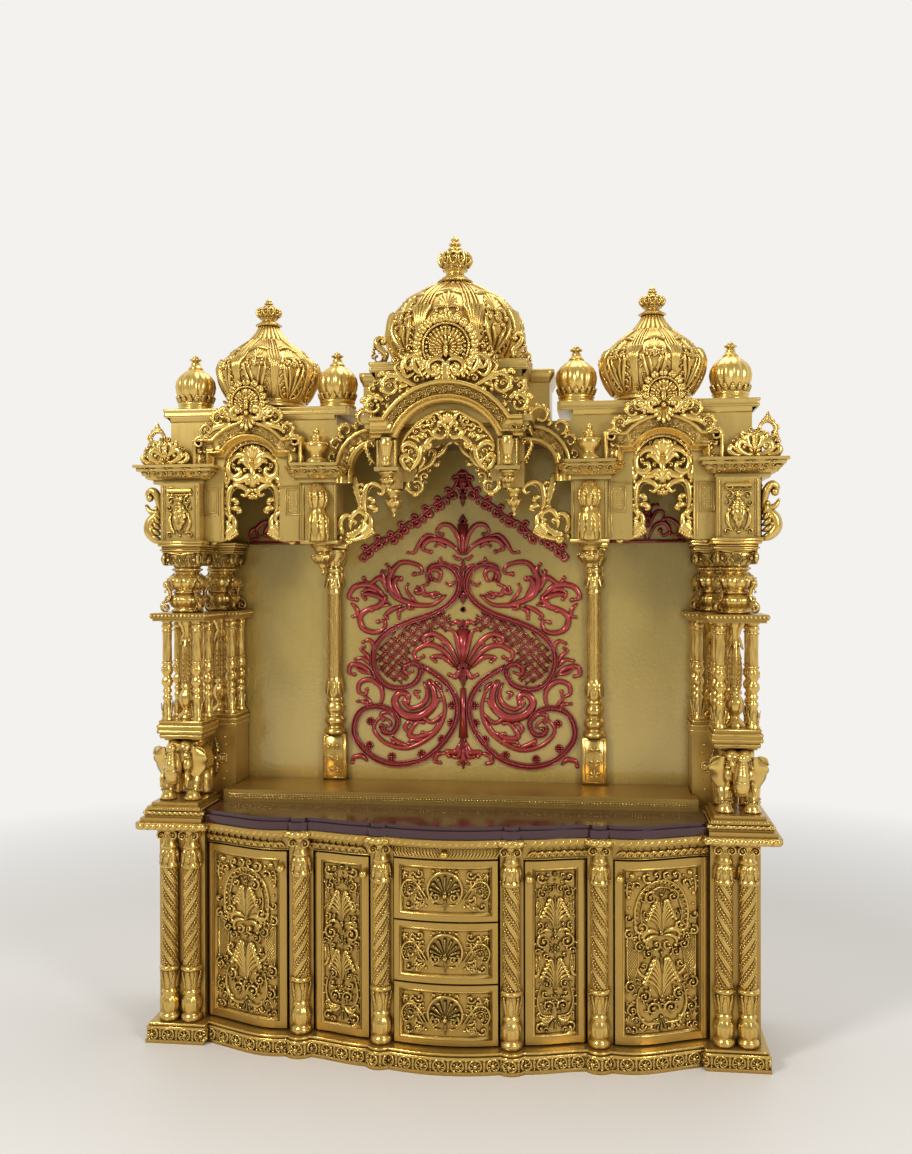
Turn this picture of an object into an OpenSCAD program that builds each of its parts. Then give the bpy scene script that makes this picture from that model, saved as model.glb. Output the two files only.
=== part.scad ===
// Pooja mandir: a carved home shrine on a serpentine cabinet with doors and drawers.
// Millimetres, +Z up. Origin on the floor, at the middle of the footprint. -Y is the front.

/* [Overall] */
// Half of the depth, from the front of the plinth to the back
half_depth = 250; // [230:1:290]
// Height of the moulded plinth
plinth_h = 54; // [40:1:70]
// Height of the cabinet up to the underside of the rope moulding
cabinet_top = 592; // [540:1:660]
// Height of the rope moulding round the top of the cabinet
rope_h = 20; // [14:1:26]
// Thickness of the dark countertop
counter_h = 33; // [24:1:40]
// Height of the platform ledge
ledge_h = 34; // [24:1:44]
// Height from countertop to the underside of the canopy
shrine_h = 750; // [700:1:800]

/* [Serpentine front] */
// Place of the column between drawers and narrow door
inner_col_x = 174; // [168:1:190]
// Place of the column between narrow door and wide door
outer_col_x = 404; // [380:1:425]
// Inner side of the base piers
pier_in_x = 697; // [670:1:720]
// Width of a base pier
pier_w = 131; // [115:1:150]
// How far the drawer bay stands in front of the origin
front_mid = 198; // [185:1:205]
// How far the face at the inner column stands in front of the origin
front_inner = 168; // [155:1:175]
// How far the face at the outer column stands in front of the origin
front_outer = 124; // [110:1:135]
// How far the face at the pier stands in front of the origin
front_pier = 58; // [45:1:75]
// Bow of the wide bay
wide_bow = 28; // [15:1:34]
// S-shape of the wide bay
wide_wave = 8; // [0:1:14]

/* [Doors and drawers] */
// Running gap round a door or a drawer
run_gap = 5; // [5:0.5:7]
// Thickness of doors and drawer fronts
leaf_t = 20; // [18:1:24]
// Width of the frame round the sunk panel of a door
door_border = 24; // [16:1:34]
// Depth of the sunk panels
panel_sink = 8; // [5:1:10]
// Radius of the door's pivot pins
pivot_r = 4; // [3:0.5:5]
// Clearance of a pin in its hole, or of a drawer on its runner
fit_gap = 0.3; // [0.2:0.05:0.5]
// Thickness of cabinet boards
board_t = 18; // [15:1:20]
// Thickness of drawer sides and bottoms
drawer_t = 10; // [8:1:12]
// Length of the drawer boxes behind their fronts
drawer_len = 330; // [250:1:350]

/* [Columns] */
// Radius of the base columns' shafts
col_r = 25; // [21:0.5:26]
// Largest radius of a base column, at its rings
col_ring_r = 30; // [27:0.5:31]
// Radius of the twisted colonettes of the upper piers
colonette_r = 13; // [10:0.5:16]

/* [Upper piers] */
// Centre of the front piers, left and right of the middle
front_pier_x = 768; // [755:1:775]
// Centre of the rear piers, left and right of the middle
rear_pier_x = 727; // [720:1:735]
// Half width of a pier block
block_half = 66; // [60:1:70]
// Half width of the beaded slabs
slab_half = 80; // [74:1:84]

/* [Canopy] */
// Height of the canopy from its underside to the top of the ceiling
canopy_h = 295; // [285:1:310]
// Half width of the cornice
cornice_half = 904; // [890:1:920]
// Height of the cornice
cornice_h = 52; // [40:1:60]
// Inner radius of the side arches
side_arch_r = 82; // [70:1:90]
// Inner radius of the centre arch
mid_arch_r = 146; // [135:1:150]
// Radius of the centre dome
dome_mid_r = 196; // [180:1:196]
// Radius of the side domes
dome_side_r = 150; // [130:1:160]
// Radius of the small domes
dome_small_r = 59; // [50:1:64]
// Lobes round a dome
dome_lobes = 16; // [12:2:20]

/* [Hidden] */

gold = "goldenrod";
bright_gold = "gold";
maroon = "maroon";
red = "firebrick";
brown = "saddlebrown";

line_steps = 24;

// Plan of the front: the face line of doors and drawers, for x of either side
function bay(t, y0, y1, wave, bow) = y0 + (y1 - y0) * t - wave * sin(360 * t) - bow * sin(180 * t);
function face_right(x) =
    x < inner_col_x ? -front_mid + (front_mid - front_inner) * pow(x / inner_col_x, 2)
    : x < outer_col_x ? bay((x - inner_col_x) / (outer_col_x - inner_col_x), -front_inner, -front_outer, 5, 3)
    : bay((x - outer_col_x) / (pier_in_x - outer_col_x), -front_outer, -front_pier, wide_wave, wide_bow);
function face_y(x) = face_right(min(abs(x), pier_in_x));
function line_points(x0, x1, off, n) =
    [for (i = [0:n]) let (x = x0 + (x1 - x0) * i / n) [x, face_y(x) + off]];
function line_back(x0, x1, off, n) =
    [for (i = [n:-1:0]) let (x = x0 + (x1 - x0) * i / n) [x, face_y(x) + off]];

// Levels
counter_z = cabinet_top + rope_h;
shelf_z = counter_z + counter_h;
ledge_z = shelf_z + ledge_h;
canopy_z = shelf_z + shrine_h;
ceiling_z = canopy_z + canopy_h;
cornice_z = ceiling_z - 131;
roof_z = ceiling_z + 84;
door_z0 = plinth_h + run_gap;
door_z1 = cabinet_top - 49;
frieze_z = door_z1 + run_gap;
tray_z0 = frieze_z + 3;
tray_z1 = cabinet_top - run_gap;
drawer_h = (tray_z0 - door_z0 - 3 * run_gap) / 3;

// Depths
wall_t = 20;
wall_y = half_depth - wall_t;
inner_col_y = -front_inner - 8;
outer_col_y = -front_outer - 12;
stile_set = 14;
pier_col_y = -90;
pier_face_y = pier_col_y + stile_set;
pier_out_x = pier_in_x + pier_w;
pier_mid_x = (pier_in_x + pier_out_x) / 2;
rope_over = 52;
counter_over = 44;
floor_over = 12;
rear_pier_y = wall_y - block_half;
front_pier_y = -12;
fascia_y = -15;
fascia_t = 30;
canopy_half = front_pier_x + 72;

// Door and drawer limits along x
heel_r = leaf_t / 2;
drawer_half = inner_col_x - col_ring_r - run_gap - 0.5;
narrow_in = inner_col_x + col_ring_r + run_gap + 1;
narrow_out = outer_col_x - col_ring_r - run_gap - 1;
wide_in = outer_col_x + col_ring_r + run_gap + 6;
wide_out = pier_in_x - run_gap;
partition_x = inner_col_x - col_ring_r + 3;

module both_sides() {
    children();
    mirror([1, 0, 0]) children();
}

// A board that follows the face line, from x0 to x1
module bay_slab(x0, x1, front, back, z0, z1, n = line_steps) {
    translate([0, 0, z0])
        linear_extrude(z1 - z0)
            polygon(concat(line_points(x0, x1, front, n), line_back(x0, x1, back, n)));
}

// A board that follows the face line in front and is straight behind
module shaped_board(x_half, over, y_back, z0, z1) {
    translate([0, 0, z0])
        linear_extrude(z1 - z0)
            polygon(concat(line_points(-x_half, x_half, -over, 3 * line_steps),
                [[x_half, y_back], [-x_half, y_back]]));
}

module block(x0, x1, y0, y1, z0, z1) {
    translate([x0, y0, z0]) cube([x1 - x0, y1 - y0, z1 - z0]);
}

module centred_block(x, y, half, z0, z1) {
    block(x - half, x + half, y - half, y + half, z0, z1);
}

// One moulding layer along the serpentine front, with a round bump under or over each column
module front_layer(over, bump_r, z0, z1, x_half = pier_in_x - 16) {
    shaped_board(x_half, over, half_depth, z0, z1);
    for (side = [-1, 1]) {
        translate([side * inner_col_x, inner_col_y - 12, z0]) cylinder(r = bump_r, h = z1 - z0, $fn = 48);
        translate([side * outer_col_x, outer_col_y - 12, z0]) cylinder(r = bump_r, h = z1 - z0, $fn = 48);
    }
}

// The same layer round the outer corner of a base pier
module pier_layer(side, front, z0, z1) {
    both_sides() block(pier_in_x - 16, pier_out_x + side, pier_col_y - front, half_depth, z0, z1);
}

// Moulded plinth, a ring round the floor board
module plinth() {
    layers = [[0, 10, 45], [10, 38, 38], [38, 46, 42], [46, plinth_h, 36]];
    color(gold)
        difference() {
            for (layer = layers) {
                front_layer(layer[2], layer[2] - 2, layer[0], layer[1]);
                pier_layer(layer[2] - 24, layer[2] - 1, layer[0], layer[1]);
            }
            shaped_board(pier_in_x - 1, floor_over, wall_y, -1, plinth_h + 1);
        }
}

module cabinet_floor() {
    color(gold)
        difference() {
            shaped_board(pier_in_x - 1, floor_over, wall_y, plinth_h - board_t, plinth_h);
            pivot_holes(plinth_h - 11, plinth_h + 1);
        }
}

// Hinge axes: the centre of each door's rounded heel
function hinge_x(x_out) = x_out - heel_r;
function hinge_y(x_out) = face_y(hinge_x(x_out)) + heel_r;

module pivot_holes(z0, z1) {
    for (side = [-1, 1], x_out = [narrow_out, wide_out])
        translate([side * hinge_x(x_out), hinge_y(x_out), z0])
            cylinder(r = pivot_r + fit_gap, h = z1 - z0, $fn = 32);
}

module cabinet_back() {
    color(gold) block(-pier_in_x, pier_in_x, wall_y - 12, wall_y, plinth_h, cabinet_top);
}

module cabinet_sides() {
    color(gold) both_sides()
        block(pier_in_x - board_t, pier_in_x, -20, wall_y - 12, plinth_h, cabinet_top);
}

module cabinet_partitions() {
    color(gold) both_sides() {
        block(partition_x, partition_x + board_t, inner_col_y + stile_set + board_t, wall_y - 12,
            plinth_h, cabinet_top);
        block(outer_col_x - board_t / 2, outer_col_x + board_t / 2, outer_col_y + stile_set + board_t,
            wall_y - 12, plinth_h, cabinet_top);
    }
}

// Flat stiles behind the engaged columns
module front_stiles() {
    color(gold) both_sides() {
        block(drawer_half + run_gap, narrow_in - run_gap, inner_col_y + stile_set,
            inner_col_y + stile_set + board_t, plinth_h, cabinet_top);
        block(narrow_out + run_gap, wide_in - run_gap, outer_col_y + stile_set,
            outer_col_y + stile_set + board_t, plinth_h, cabinet_top);
    }
}

module frieze() {
    color(gold) difference() {
        both_sides() {
            bay_slab(narrow_in - run_gap, narrow_out + run_gap, 2, 2 + leaf_t, frieze_z, cabinet_top, 10);
            bay_slab(wide_in - run_gap, wide_out + run_gap, 2, 2 + leaf_t, frieze_z, cabinet_top, 14);
        }
        pivot_holes(frieze_z - 1, frieze_z + 11);
    }
}

module base_piers() {
    color(gold) both_sides()
        block(pier_in_x, pier_out_x, pier_face_y, half_depth, plinth_h, cabinet_top);
}

// Turned column: torus, ribbed bulb, leaf cup, ring, shaft, ring, leaf cup, volute bell
module turned_column(z0, z1) {
    h = z1 - z0;
    r = col_r;
    ring = col_ring_r;
    rotate_extrude($fn = 48)
        polygon([[0, z0], [ring, z0], [ring, z0 + 10], [r - 4, z0 + 16], [r - 2, z0 + 20],
            [ring - 2, z0 + 34], [ring - 2, z0 + 52], [r - 8, z0 + 68], [r - 8, z0 + 72],
            [r, z0 + 88], [ring - 3, z0 + 112], [r - 3, z0 + 118], [ring - 1, z0 + 124],
            [ring - 1, z0 + 132], [r - 3, z0 + 136], [r, z0 + 140], [r, z1 - 136],
            [r - 3, z1 - 134], [ring - 1, z1 - 130], [ring - 1, z1 - 122], [r - 4, z1 - 118],
            [ring - 3, z1 - 96], [ring - 3, z1 - 86], [r - 6, z1 - 72], [r - 4, z1 - 66],
            [r - 2, z1 - 50], [ring, z1 - 30], [ring, z1 - 18], [r, z1 - 14], [r, z1], [0, z1]]);
}

module engaged_column(x, y, z0, z1) {
    difference() {
        translate([x, y, 0]) turned_column(z0, z1);
        block(x - 60, x + 60, y + stile_set, y + 80, z0 - 1, z1 + 1);
    }
}

module base_columns() {
    color(bright_gold) both_sides() {
        engaged_column(inner_col_x, inner_col_y, plinth_h, cabinet_top);
        engaged_column(outer_col_x, outer_col_y, plinth_h, cabinet_top);
    }
}

module pier_columns() {
    color(bright_gold) both_sides()
        for (dx = [-31, 31])
            engaged_column(pier_mid_x + dx, pier_col_y, plinth_h, cabinet_top);
}

// Knob, turned, pointing to the front
module knob(x, y, z) {
    translate([x, y, z]) rotate([90, 0, 0])
        rotate_extrude($fn = 32)
            polygon([[0, -2], [6, -2], [5, 8], [9, 12], [10, 17], [7, 22], [0, 24]]);
}

// A curved door with a sunk panel, a rounded heel with pivot pins and a knob
module door(x_in, x_out) {
    axis_x = hinge_x(x_out);
    axis_y = hinge_y(x_out);
    knob_x = x_in + door_border / 2;
    difference() {
        union() {
            bay_slab(x_in, axis_x, 0, leaf_t, door_z0, door_z1, 14);
            translate([axis_x, axis_y, door_z0])
                cylinder(r = heel_r, h = door_z1 - door_z0, $fn = 32);
        }
        bay_slab(x_in + door_border, x_out - door_border, -1, panel_sink,
            door_z0 + door_border, door_z1 - door_border, 14);
    }
    translate([axis_x, axis_y, door_z0 - run_gap - 10])
        cylinder(r = pivot_r, h = run_gap + 12, $fn = 32);
    translate([axis_x, axis_y, door_z1 - 2])
        cylinder(r = pivot_r, h = run_gap + 12, $fn = 32);
    knob(knob_x, face_y(knob_x), door_z1 - 40);
}

module door_left_wide() {
    color(gold) mirror([1, 0, 0]) door(wide_in, wide_out);
}

module door_left_narrow() {
    color(gold) mirror([1, 0, 0]) door(narrow_in, narrow_out);
}

module door_right_narrow() {
    color(gold) door(narrow_in, narrow_out);
}

module door_right_wide() {
    color(gold) door(wide_in, wide_out);
}

// Drawer box: open at the top, behind a bowed front
drawer_y0 = -front_inner + 24;
box_half = drawer_half;

module drawer_box(z0, z1, length) {
    difference() {
        block(-box_half, box_half, drawer_y0, drawer_y0 + length, z0, z1);
        block(-box_half + drawer_t, box_half - drawer_t, drawer_y0 - 1, drawer_y0 + length - drawer_t,
            z0 + drawer_t, z1 + 1);
    }
}

module drawer_front(z0, z1) {
    difference() {
        translate([0, 0, z0])
            linear_extrude(z1 - z0)
                polygon(concat(line_points(-drawer_half, drawer_half, 0, 16),
                    [[drawer_half, drawer_y0], [-drawer_half, drawer_y0]]));
        bay_slab(-drawer_half + 14, drawer_half - 14, -1, panel_sink, z0 + 14, z1 - 14, 14);
    }
}

function drawer_z(i) = door_z0 + i * (drawer_h + run_gap);

module drawer(i) {
    drawer_front(drawer_z(i), drawer_z(i) + drawer_h);
    drawer_box(drawer_z(i) + 16, drawer_z(i) + drawer_h - 30, drawer_len);
}

module drawer_top() {
    color(gold) drawer(2);
}

module drawer_middle() {
    color(gold) drawer(1);
}

module drawer_bottom() {
    color(gold) drawer(0);
}

module frieze_tray() {
    color(gold) {
        translate([0, 0, tray_z0])
            linear_extrude(tray_z1 - tray_z0)
                polygon(concat(line_points(-drawer_half, drawer_half, 0, 16),
                    [[drawer_half, drawer_y0], [-drawer_half, drawer_y0]]));
        drawer_box(tray_z0 + 4, tray_z1 - 3, drawer_len - 60);
        knob(0, -front_mid, (tray_z0 + tray_z1) / 2 - 4);
    }
}

// Hardwood runners under the sides of each drawer box
module drawer_runners() {
    levels = [drawer_z(0) + 16, drawer_z(1) + 16, drawer_z(2) + 16, tray_z0 + 4];
    color(brown) both_sides()
        for (z = levels)
            block(partition_x - 18, partition_x, drawer_y0 + 10, wall_y - 12, z - fit_gap - 12, z - fit_gap);
}

module sub_top() {
    color(gold) {
        shaped_board(pier_in_x - 1, floor_over, half_depth, cabinet_top, counter_z);
    }
}

// Rope moulding: a band in front of the sub-top, with corners round the piers
module rope_moulding() {
    color(bright_gold) difference() {
        union() {
            front_layer(rope_over - 4, 38, cabinet_top, cabinet_top + 5);
            front_layer(rope_over, 42, cabinet_top + 5, counter_z);
            pier_layer(45, 36, cabinet_top, cabinet_top + 5);
            pier_layer(49, 40, cabinet_top + 5, counter_z);
        }
        shaped_board(pier_in_x - 1, floor_over, half_depth + 1, cabinet_top - 1, counter_z + 1);
    }
}

module countertop() {
    color(maroon) intersection() {
        union() {
            front_layer(counter_over, 38, counter_z, counter_z + 22, pier_in_x - 7);
            front_layer(counter_over - 8, 30, counter_z + 22, shelf_z, pier_in_x - 7);
        }
        block(-pier_in_x + 7, pier_in_x - 7, -400, half_depth, counter_z, shelf_z);
    }
}

module pier_caps() {
    color(gold) both_sides() {
        block(pier_in_x - 7, pier_out_x + 38, pier_face_y - 48, half_depth, counter_z, counter_z + 12);
        block(pier_in_x - 7, pier_out_x + 28, pier_face_y - 38, half_depth, counter_z + 12, shelf_z);
    }
}

module ledge() {
    color(gold) {
        block(-rear_pier_x + block_half, rear_pier_x - block_half, 24, wall_y, shelf_z, ledge_z);
        both_sides()
            block(rear_pier_x - block_half - 1, 675, 24, rear_pier_y - block_half - 2, shelf_z, ledge_z);
    }
}

module elephant_plinths() {
    color(gold) both_sides() {
        block(front_pier_x - 74, front_pier_x + 80, -122, 66, shelf_z, shelf_z + 10);
        block(front_pier_x - 64, front_pier_x + 70, -110, 60, shelf_z + 10, shelf_z + 20);
    }
}

// Elephant that carries a pier on its back: head, ears, tusks, legs, and a trunk raised to hold a ball
elephant_z = shelf_z + 20;
block_z = canopy_z - 557;
leg_x = 30;
leg_r = 19;
leg_h = 84;
ball_r = 15;

module elephant_leg(x, y) {
    translate([x, y, 0]) rotate_extrude($fn = 32)
        polygon([[0, 0], [leg_r + 4, 0], [leg_r + 1, 14], [leg_r - 2, 22], [leg_r + 1, 28], [leg_r - 1, 40],
            [leg_r + 3, leg_h], [0, leg_h]]);
}

module elephant_trunk() {
    translate([0, -84, 60]) sphere(r = 22, $fn = 32);
    translate([0, -98, 62]) cylinder(r1 = 14, r2 = 9, h = 74, $fn = 24);
    translate([0, -100, 142]) sphere(r = ball_r, $fn = 32);
}

module elephant(x) {
    translate([x, 0, elephant_z]) mirror([1, 0, 0])
        difference() {
            union() {
                translate([0, -10, 82]) rotate([90, 0, 0]) cylinder(r = 52, h = 62, center = true, $fn = 48);
                translate([0, 14, 81]) sphere(r = 49, $fn = 40);
                for (leg = [-leg_x, leg_x], y = [-46, 34]) elephant_leg(leg, y);
                translate([0, -60, 104]) sphere(r = 37, $fn = 40);
                for (s = [-1, 1])
                    translate([s * 42, -44, 96]) rotate([90, 0, s * 24])
                        cylinder(r = 30, h = 9, center = true, $fn = 40);
                for (s = [-1, 1])
                    translate([s * 22, -84, 72]) rotate([142, 0, s * -8])
                        cylinder(r1 = 7, r2 = 2.5, h = 34, $fn = 20);
                elephant_trunk();
                block(-40, 40, -44, 46, 101, block_z - elephant_z);
            }
            translate([0, 0, -50]) block(-100, 100, -200, 200, 0, 50);
        }
}

module elephant_right() {
    color(bright_gold) elephant(front_pier_x + 4);
}

module elephant_left() {
    color(bright_gold) elephant(-front_pier_x - 4);
}

colonette_z = block_z + 50;
slab_z = canopy_z - 225;
pot_z = slab_z + 22;
capital_z = pot_z + 118;

module pier_blocks() {
    color(gold) both_sides() {
        centred_block(front_pier_x, front_pier_y, block_half - 6, block_z, block_z + 14);
        centred_block(front_pier_x, front_pier_y, block_half, block_z + 14, block_z + 38);
        centred_block(front_pier_x, front_pier_y, block_half - 4, block_z + 38, colonette_z);
    }
}

module rear_pedestals() {
    color(gold) both_sides() {
        centred_block(rear_pier_x, rear_pier_y, block_half - 3, shelf_z, block_z + 7);
        centred_block(rear_pier_x, rear_pier_y, block_half, block_z + 7, block_z + 38);
        centred_block(rear_pier_x, rear_pier_y, block_half - 4, block_z + 38, colonette_z);
    }
}

module colonette(x, y) {
    h = slab_z - colonette_z;
    r = colonette_r;
    translate([x, y, colonette_z]) rotate_extrude($fn = 32)
        polygon([[0, 0], [r + 4, 0], [r + 4, 8], [r - 3, 12], [r + 2, 30], [r + 2, 44], [r - 4, 54],
            [r + 3, 60], [r + 3, 66], [r, 70], [r, h - 62], [r + 3, h - 58], [r + 3, h - 52],
            [r - 4, h - 46], [r + 2, h - 26], [r - 2, h - 12], [r + 5, h - 8], [r + 5, h], [0, h]]);
}

colonette_set = 44;

module colonettes() {
    color(bright_gold) both_sides()
        for (dx = [-colonette_set, colonette_set], dy = [-colonette_set, colonette_set]) {
            colonette(front_pier_x + dx, front_pier_y + dy);
            colonette(rear_pier_x + dx, rear_pier_y + dy);
        }
}

module pier_vase(x, y) {
    h = slab_z - colonette_z;
    translate([x, y, colonette_z]) rotate_extrude($fn = 32)
        polygon([[0, 0], [26, 0], [26, 10], [14, 20], [24, 60], [25, 90], [15, 118], [20, 126], [20, 134],
            [14, 142], [16, h - 84], [24, h - 60], [25, h - 40], [14, h - 18], [26, h - 10],
            [26, h], [0, h]]);
}

module pier_vases() {
    color(bright_gold) both_sides() {
        pier_vase(front_pier_x, front_pier_y);
        pier_vase(rear_pier_x, rear_pier_y);
    }
}

module bead_slabs() {
    color(gold) both_sides() {
        centred_block(front_pier_x, front_pier_y, slab_half - 5, slab_z, slab_z + 7);
        centred_block(front_pier_x, front_pier_y, slab_half, slab_z + 7, pot_z);
        block(rear_pier_x - slab_half, rear_pier_x + slab_half, rear_pier_y - slab_half + 2, wall_y,
            slab_z + 7, pot_z);
        block(rear_pier_x - slab_half + 5, rear_pier_x + slab_half - 5, rear_pier_y - slab_half + 7, wall_y,
            slab_z, slab_z + 7);
    }
}

module pot_pair(x, y) {
    translate([x, y, pot_z]) rotate_extrude($fn = 48)
        polygon([[0, 0], [44, 0], [44, 8], [52, 16], [58, 32], [54, 50], [44, 60], [40, 66], [44, 72],
            [52, 78], [54, 88], [48, 100], [38, 108], [38, 118], [0, 118]]);
}

module pots() {
    color(bright_gold) both_sides() {
        pot_pair(front_pier_x, front_pier_y);
        pot_pair(rear_pier_x, rear_pier_y);
    }
}

module capital(x, y) {
    translate([x, y, capital_z]) rotate_extrude($fn = 48)
        polygon([[0, 0], [40, 0], [46, 12], [60, 34], [62, 56], [0, 56]]);
    centred_block(x, y, 60, capital_z + 56, capital_z + 68);
    centred_block(x, y, 66, capital_z + 68, canopy_z);
}

module capitals() {
    color(bright_gold) both_sides() {
        capital(front_pier_x, front_pier_y);
        capital(rear_pier_x, rear_pier_y);
    }
}

module back_wall() {
    color(gold) {
        block(-rear_pier_x - block_half, rear_pier_x + block_half, wall_y, half_depth, shelf_z, canopy_z);
        block(-canopy_half, canopy_half, wall_y, half_depth, canopy_z, ceiling_z);
    }
}

// Pierced red scrollwork on the back wall: two pairs of volutes, a stem and a palmette
scroll_t = 12;

module ring_2d(x, z, r, w) {
    translate([x, z]) difference() {
        circle(r = r, $fn = 64);
        circle(r = r - w, $fn = 64);
    }
}

module back_scrollwork() {
    base = ledge_z + 38;
    color(red) translate([0, wall_y, 0]) rotate([90, 0, 0]) linear_extrude(scroll_t) union() {
        translate([-9, base]) square([18, 740]);
        for (side = [-1, 1]) {
            ring_2d(side * 150, base + 142, 142, 26);
            ring_2d(side * 150, base + 142, 72, 22);
            ring_2d(side * 176, base + 420, 160, 26);
            ring_2d(side * 176, base + 420, 84, 22);
            ring_2d(side * 92, base + 620, 84, 22);
        }
    }
}

module back_pilasters() {
    color(gold) both_sides() {
        block(390 - 36, 390 + 36, wall_y - 26, wall_y, ledge_z, ledge_z + 140);
        block(390 - 24, 390 + 24, wall_y - 20, wall_y, ledge_z + 140, canopy_z - 70);
        block(390 - 34, 390 + 34, wall_y - 28, wall_y, canopy_z - 70, canopy_z - 20);
        block(390 - 42, 390 + 42, wall_y - 36, wall_y, canopy_z - 20, canopy_z);
    }
}

module gable_trim() {
    color(red) translate([0, wall_y, 0]) rotate([90, 0, 0]) linear_extrude(scroll_t)
        polygon([[-304, canopy_z - 44], [-250, canopy_z - 20], [-120, canopy_z + 70], [0, canopy_z + 122],
            [120, canopy_z + 70], [250, canopy_z - 20], [304, canopy_z - 44], [290, canopy_z + 10],
            [140, canopy_z + 130], [40, canopy_z + 190], [0, canopy_z + 218], [-40, canopy_z + 190],
            [-140, canopy_z + 130], [-290, canopy_z + 10]]);
}

module wing_crests() {
    color(red) translate([0, wall_y, 0]) rotate([90, 0, 0]) linear_extrude(scroll_t)
        for (side = [-1, 1]) translate([side * 545, canopy_z - 5])
            polygon([[-112, 0], [112, 0], [112, 14], [90, 40], [60, 60], [30, 100], [0, 132], [-30, 100],
                [-60, 60], [-90, 40], [-112, 14]]);
}

arch_x = 577;
arch_z = ceiling_z - 90;
pil_in = 329;
pil_out = 428;
post_in = 140;
post_out = 200;
half_arch_x = 218;
half_arch_z = cornice_z + 41;
half_arch_r = 110;

// Fascia of the canopy: corner blocks, inner pilasters, arched bays and the hanging posts of the porch
module canopy_front() {
    back = fascia_y + fascia_t;
    color(gold) both_sides() {
        block(front_pier_x - 52, front_pier_x + 62, fascia_y - 42, fascia_y, canopy_z, cornice_z);
        block(pil_in, pil_out, fascia_y - 8, back + 50, canopy_z, cornice_z);
        block(pil_in, pil_out, fascia_y, back, cornice_z, ceiling_z);
        difference() {
            block(pil_out, canopy_half, fascia_y, back, canopy_z, ceiling_z);
            block(arch_x - side_arch_r, arch_x + side_arch_r, fascia_y - 1, back + 1, canopy_z - 1, arch_z);
            translate([arch_x, fascia_y - 1, arch_z]) rotate([-90, 0, 0])
                cylinder(r = side_arch_r, h = fascia_t + 2, $fn = 64);
        }
        difference() {
            block(post_out, pil_in, fascia_y, back, half_arch_z, porch_top);
            translate([half_arch_x, fascia_y - 1, half_arch_z]) rotate([-90, 0, 0])
                cylinder(r = half_arch_r, h = fascia_t + 2, $fn = 64);
        }
        block(post_in, post_out, fascia_y, back + 16, porch_z - 50, porch_top);
    }
}

module canopy_sides() {
    color(gold) both_sides()
        block(canopy_half - fascia_t, canopy_half, fascia_y + fascia_t, wall_y, canopy_z, ceiling_z);
}

// Stepped cornice over the piers, the sides and the inner pilasters
module cornice() {
    steps = [[0, 12, -44], [12, 22, -34], [22, 34, -20], [34, 44, -8], [44, 52, 0]];
    color(gold) both_sides()
        for (s = steps) {
            difference() {
                block(front_pier_x - 98 - s[2], cornice_half + s[2], fascia_y - 65 - s[2], half_depth,
                    cornice_z + s[0], cornice_z + s[1]);
                block(0, canopy_half, fascia_y, half_depth + 1, cornice_z - 1, cornice_z + cornice_h + 1);
            }
            block(pil_in - 5 - (s[2] + 44) / 4, pil_out + 10 + (s[2] + 44) / 4,
                fascia_y - 65 - s[2], fascia_y, cornice_z + s[0], cornice_z + s[1]);
        }
}

module arch_ring(r_in, r_out, depth) {
    difference() {
        cylinder(r = r_out, h = depth, $fn = 64);
        translate([0, 0, -1]) cylinder(r = r_in, h = depth + 2, $fn = 64);
        translate([-r_out - 1, -r_out - 1, -1]) cube([2 * r_out + 2, r_out + 1, depth + 2]);
    }
}

module side_archivolts() {
    color(bright_gold) both_sides() {
        difference() {
            translate([arch_x, fascia_y, arch_z]) rotate([90, 0, 0])
                arch_ring(side_arch_r, side_arch_r + 52, 45);
            block(arch_x - 160, arch_x + 160, fascia_y - 50, fascia_y + 1, arch_z - 1, cornice_z + cornice_h);
        }
        difference() {
            block(arch_x - 160, arch_x + 150, fascia_y - 47, fascia_y, ceiling_z - 30, ceiling_z - 4);
            translate([arch_x, fascia_y + 1, arch_z]) rotate([90, 0, 0])
                cylinder(r = side_arch_r + 52, h = 60, $fn = 64);
        }
    }
}

// Pierced hanging ornament in the side arches, open in the middle like a keyhole
module side_toranas() {
    color(bright_gold) both_sides()
        translate([arch_x, fascia_y + 22, 0]) rotate([90, 0, 0])
            linear_extrude(16) difference() {
                union() {
                    translate([0, arch_z]) circle(r = side_arch_r, $fn = 48);
                    translate([-side_arch_r, canopy_z + 10])
                        square([2 * side_arch_r, arch_z - canopy_z - 10]);
                }
                translate([0, canopy_z + 75]) circle(r = 52, $fn = 40);
                translate([-46, canopy_z]) square([92, 70]);
                for (s = [-1, 1]) translate([s * 36, arch_z - 30]) circle(r = 12, $fn = 24);
                translate([0, arch_z + 34]) circle(r = 14, $fn = 24);
            }
}

porch_z = ceiling_z - 100;
porch_top = ceiling_z + 32;
porch_y = -140;
bay_post_in = 136;
bay_post_out = 191;
roof_front = porch_y + 40;
porch_arch_z = ceiling_z - 72;
inner_arch_z = ceiling_z - 130;
inner_arch_r = 109;

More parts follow.
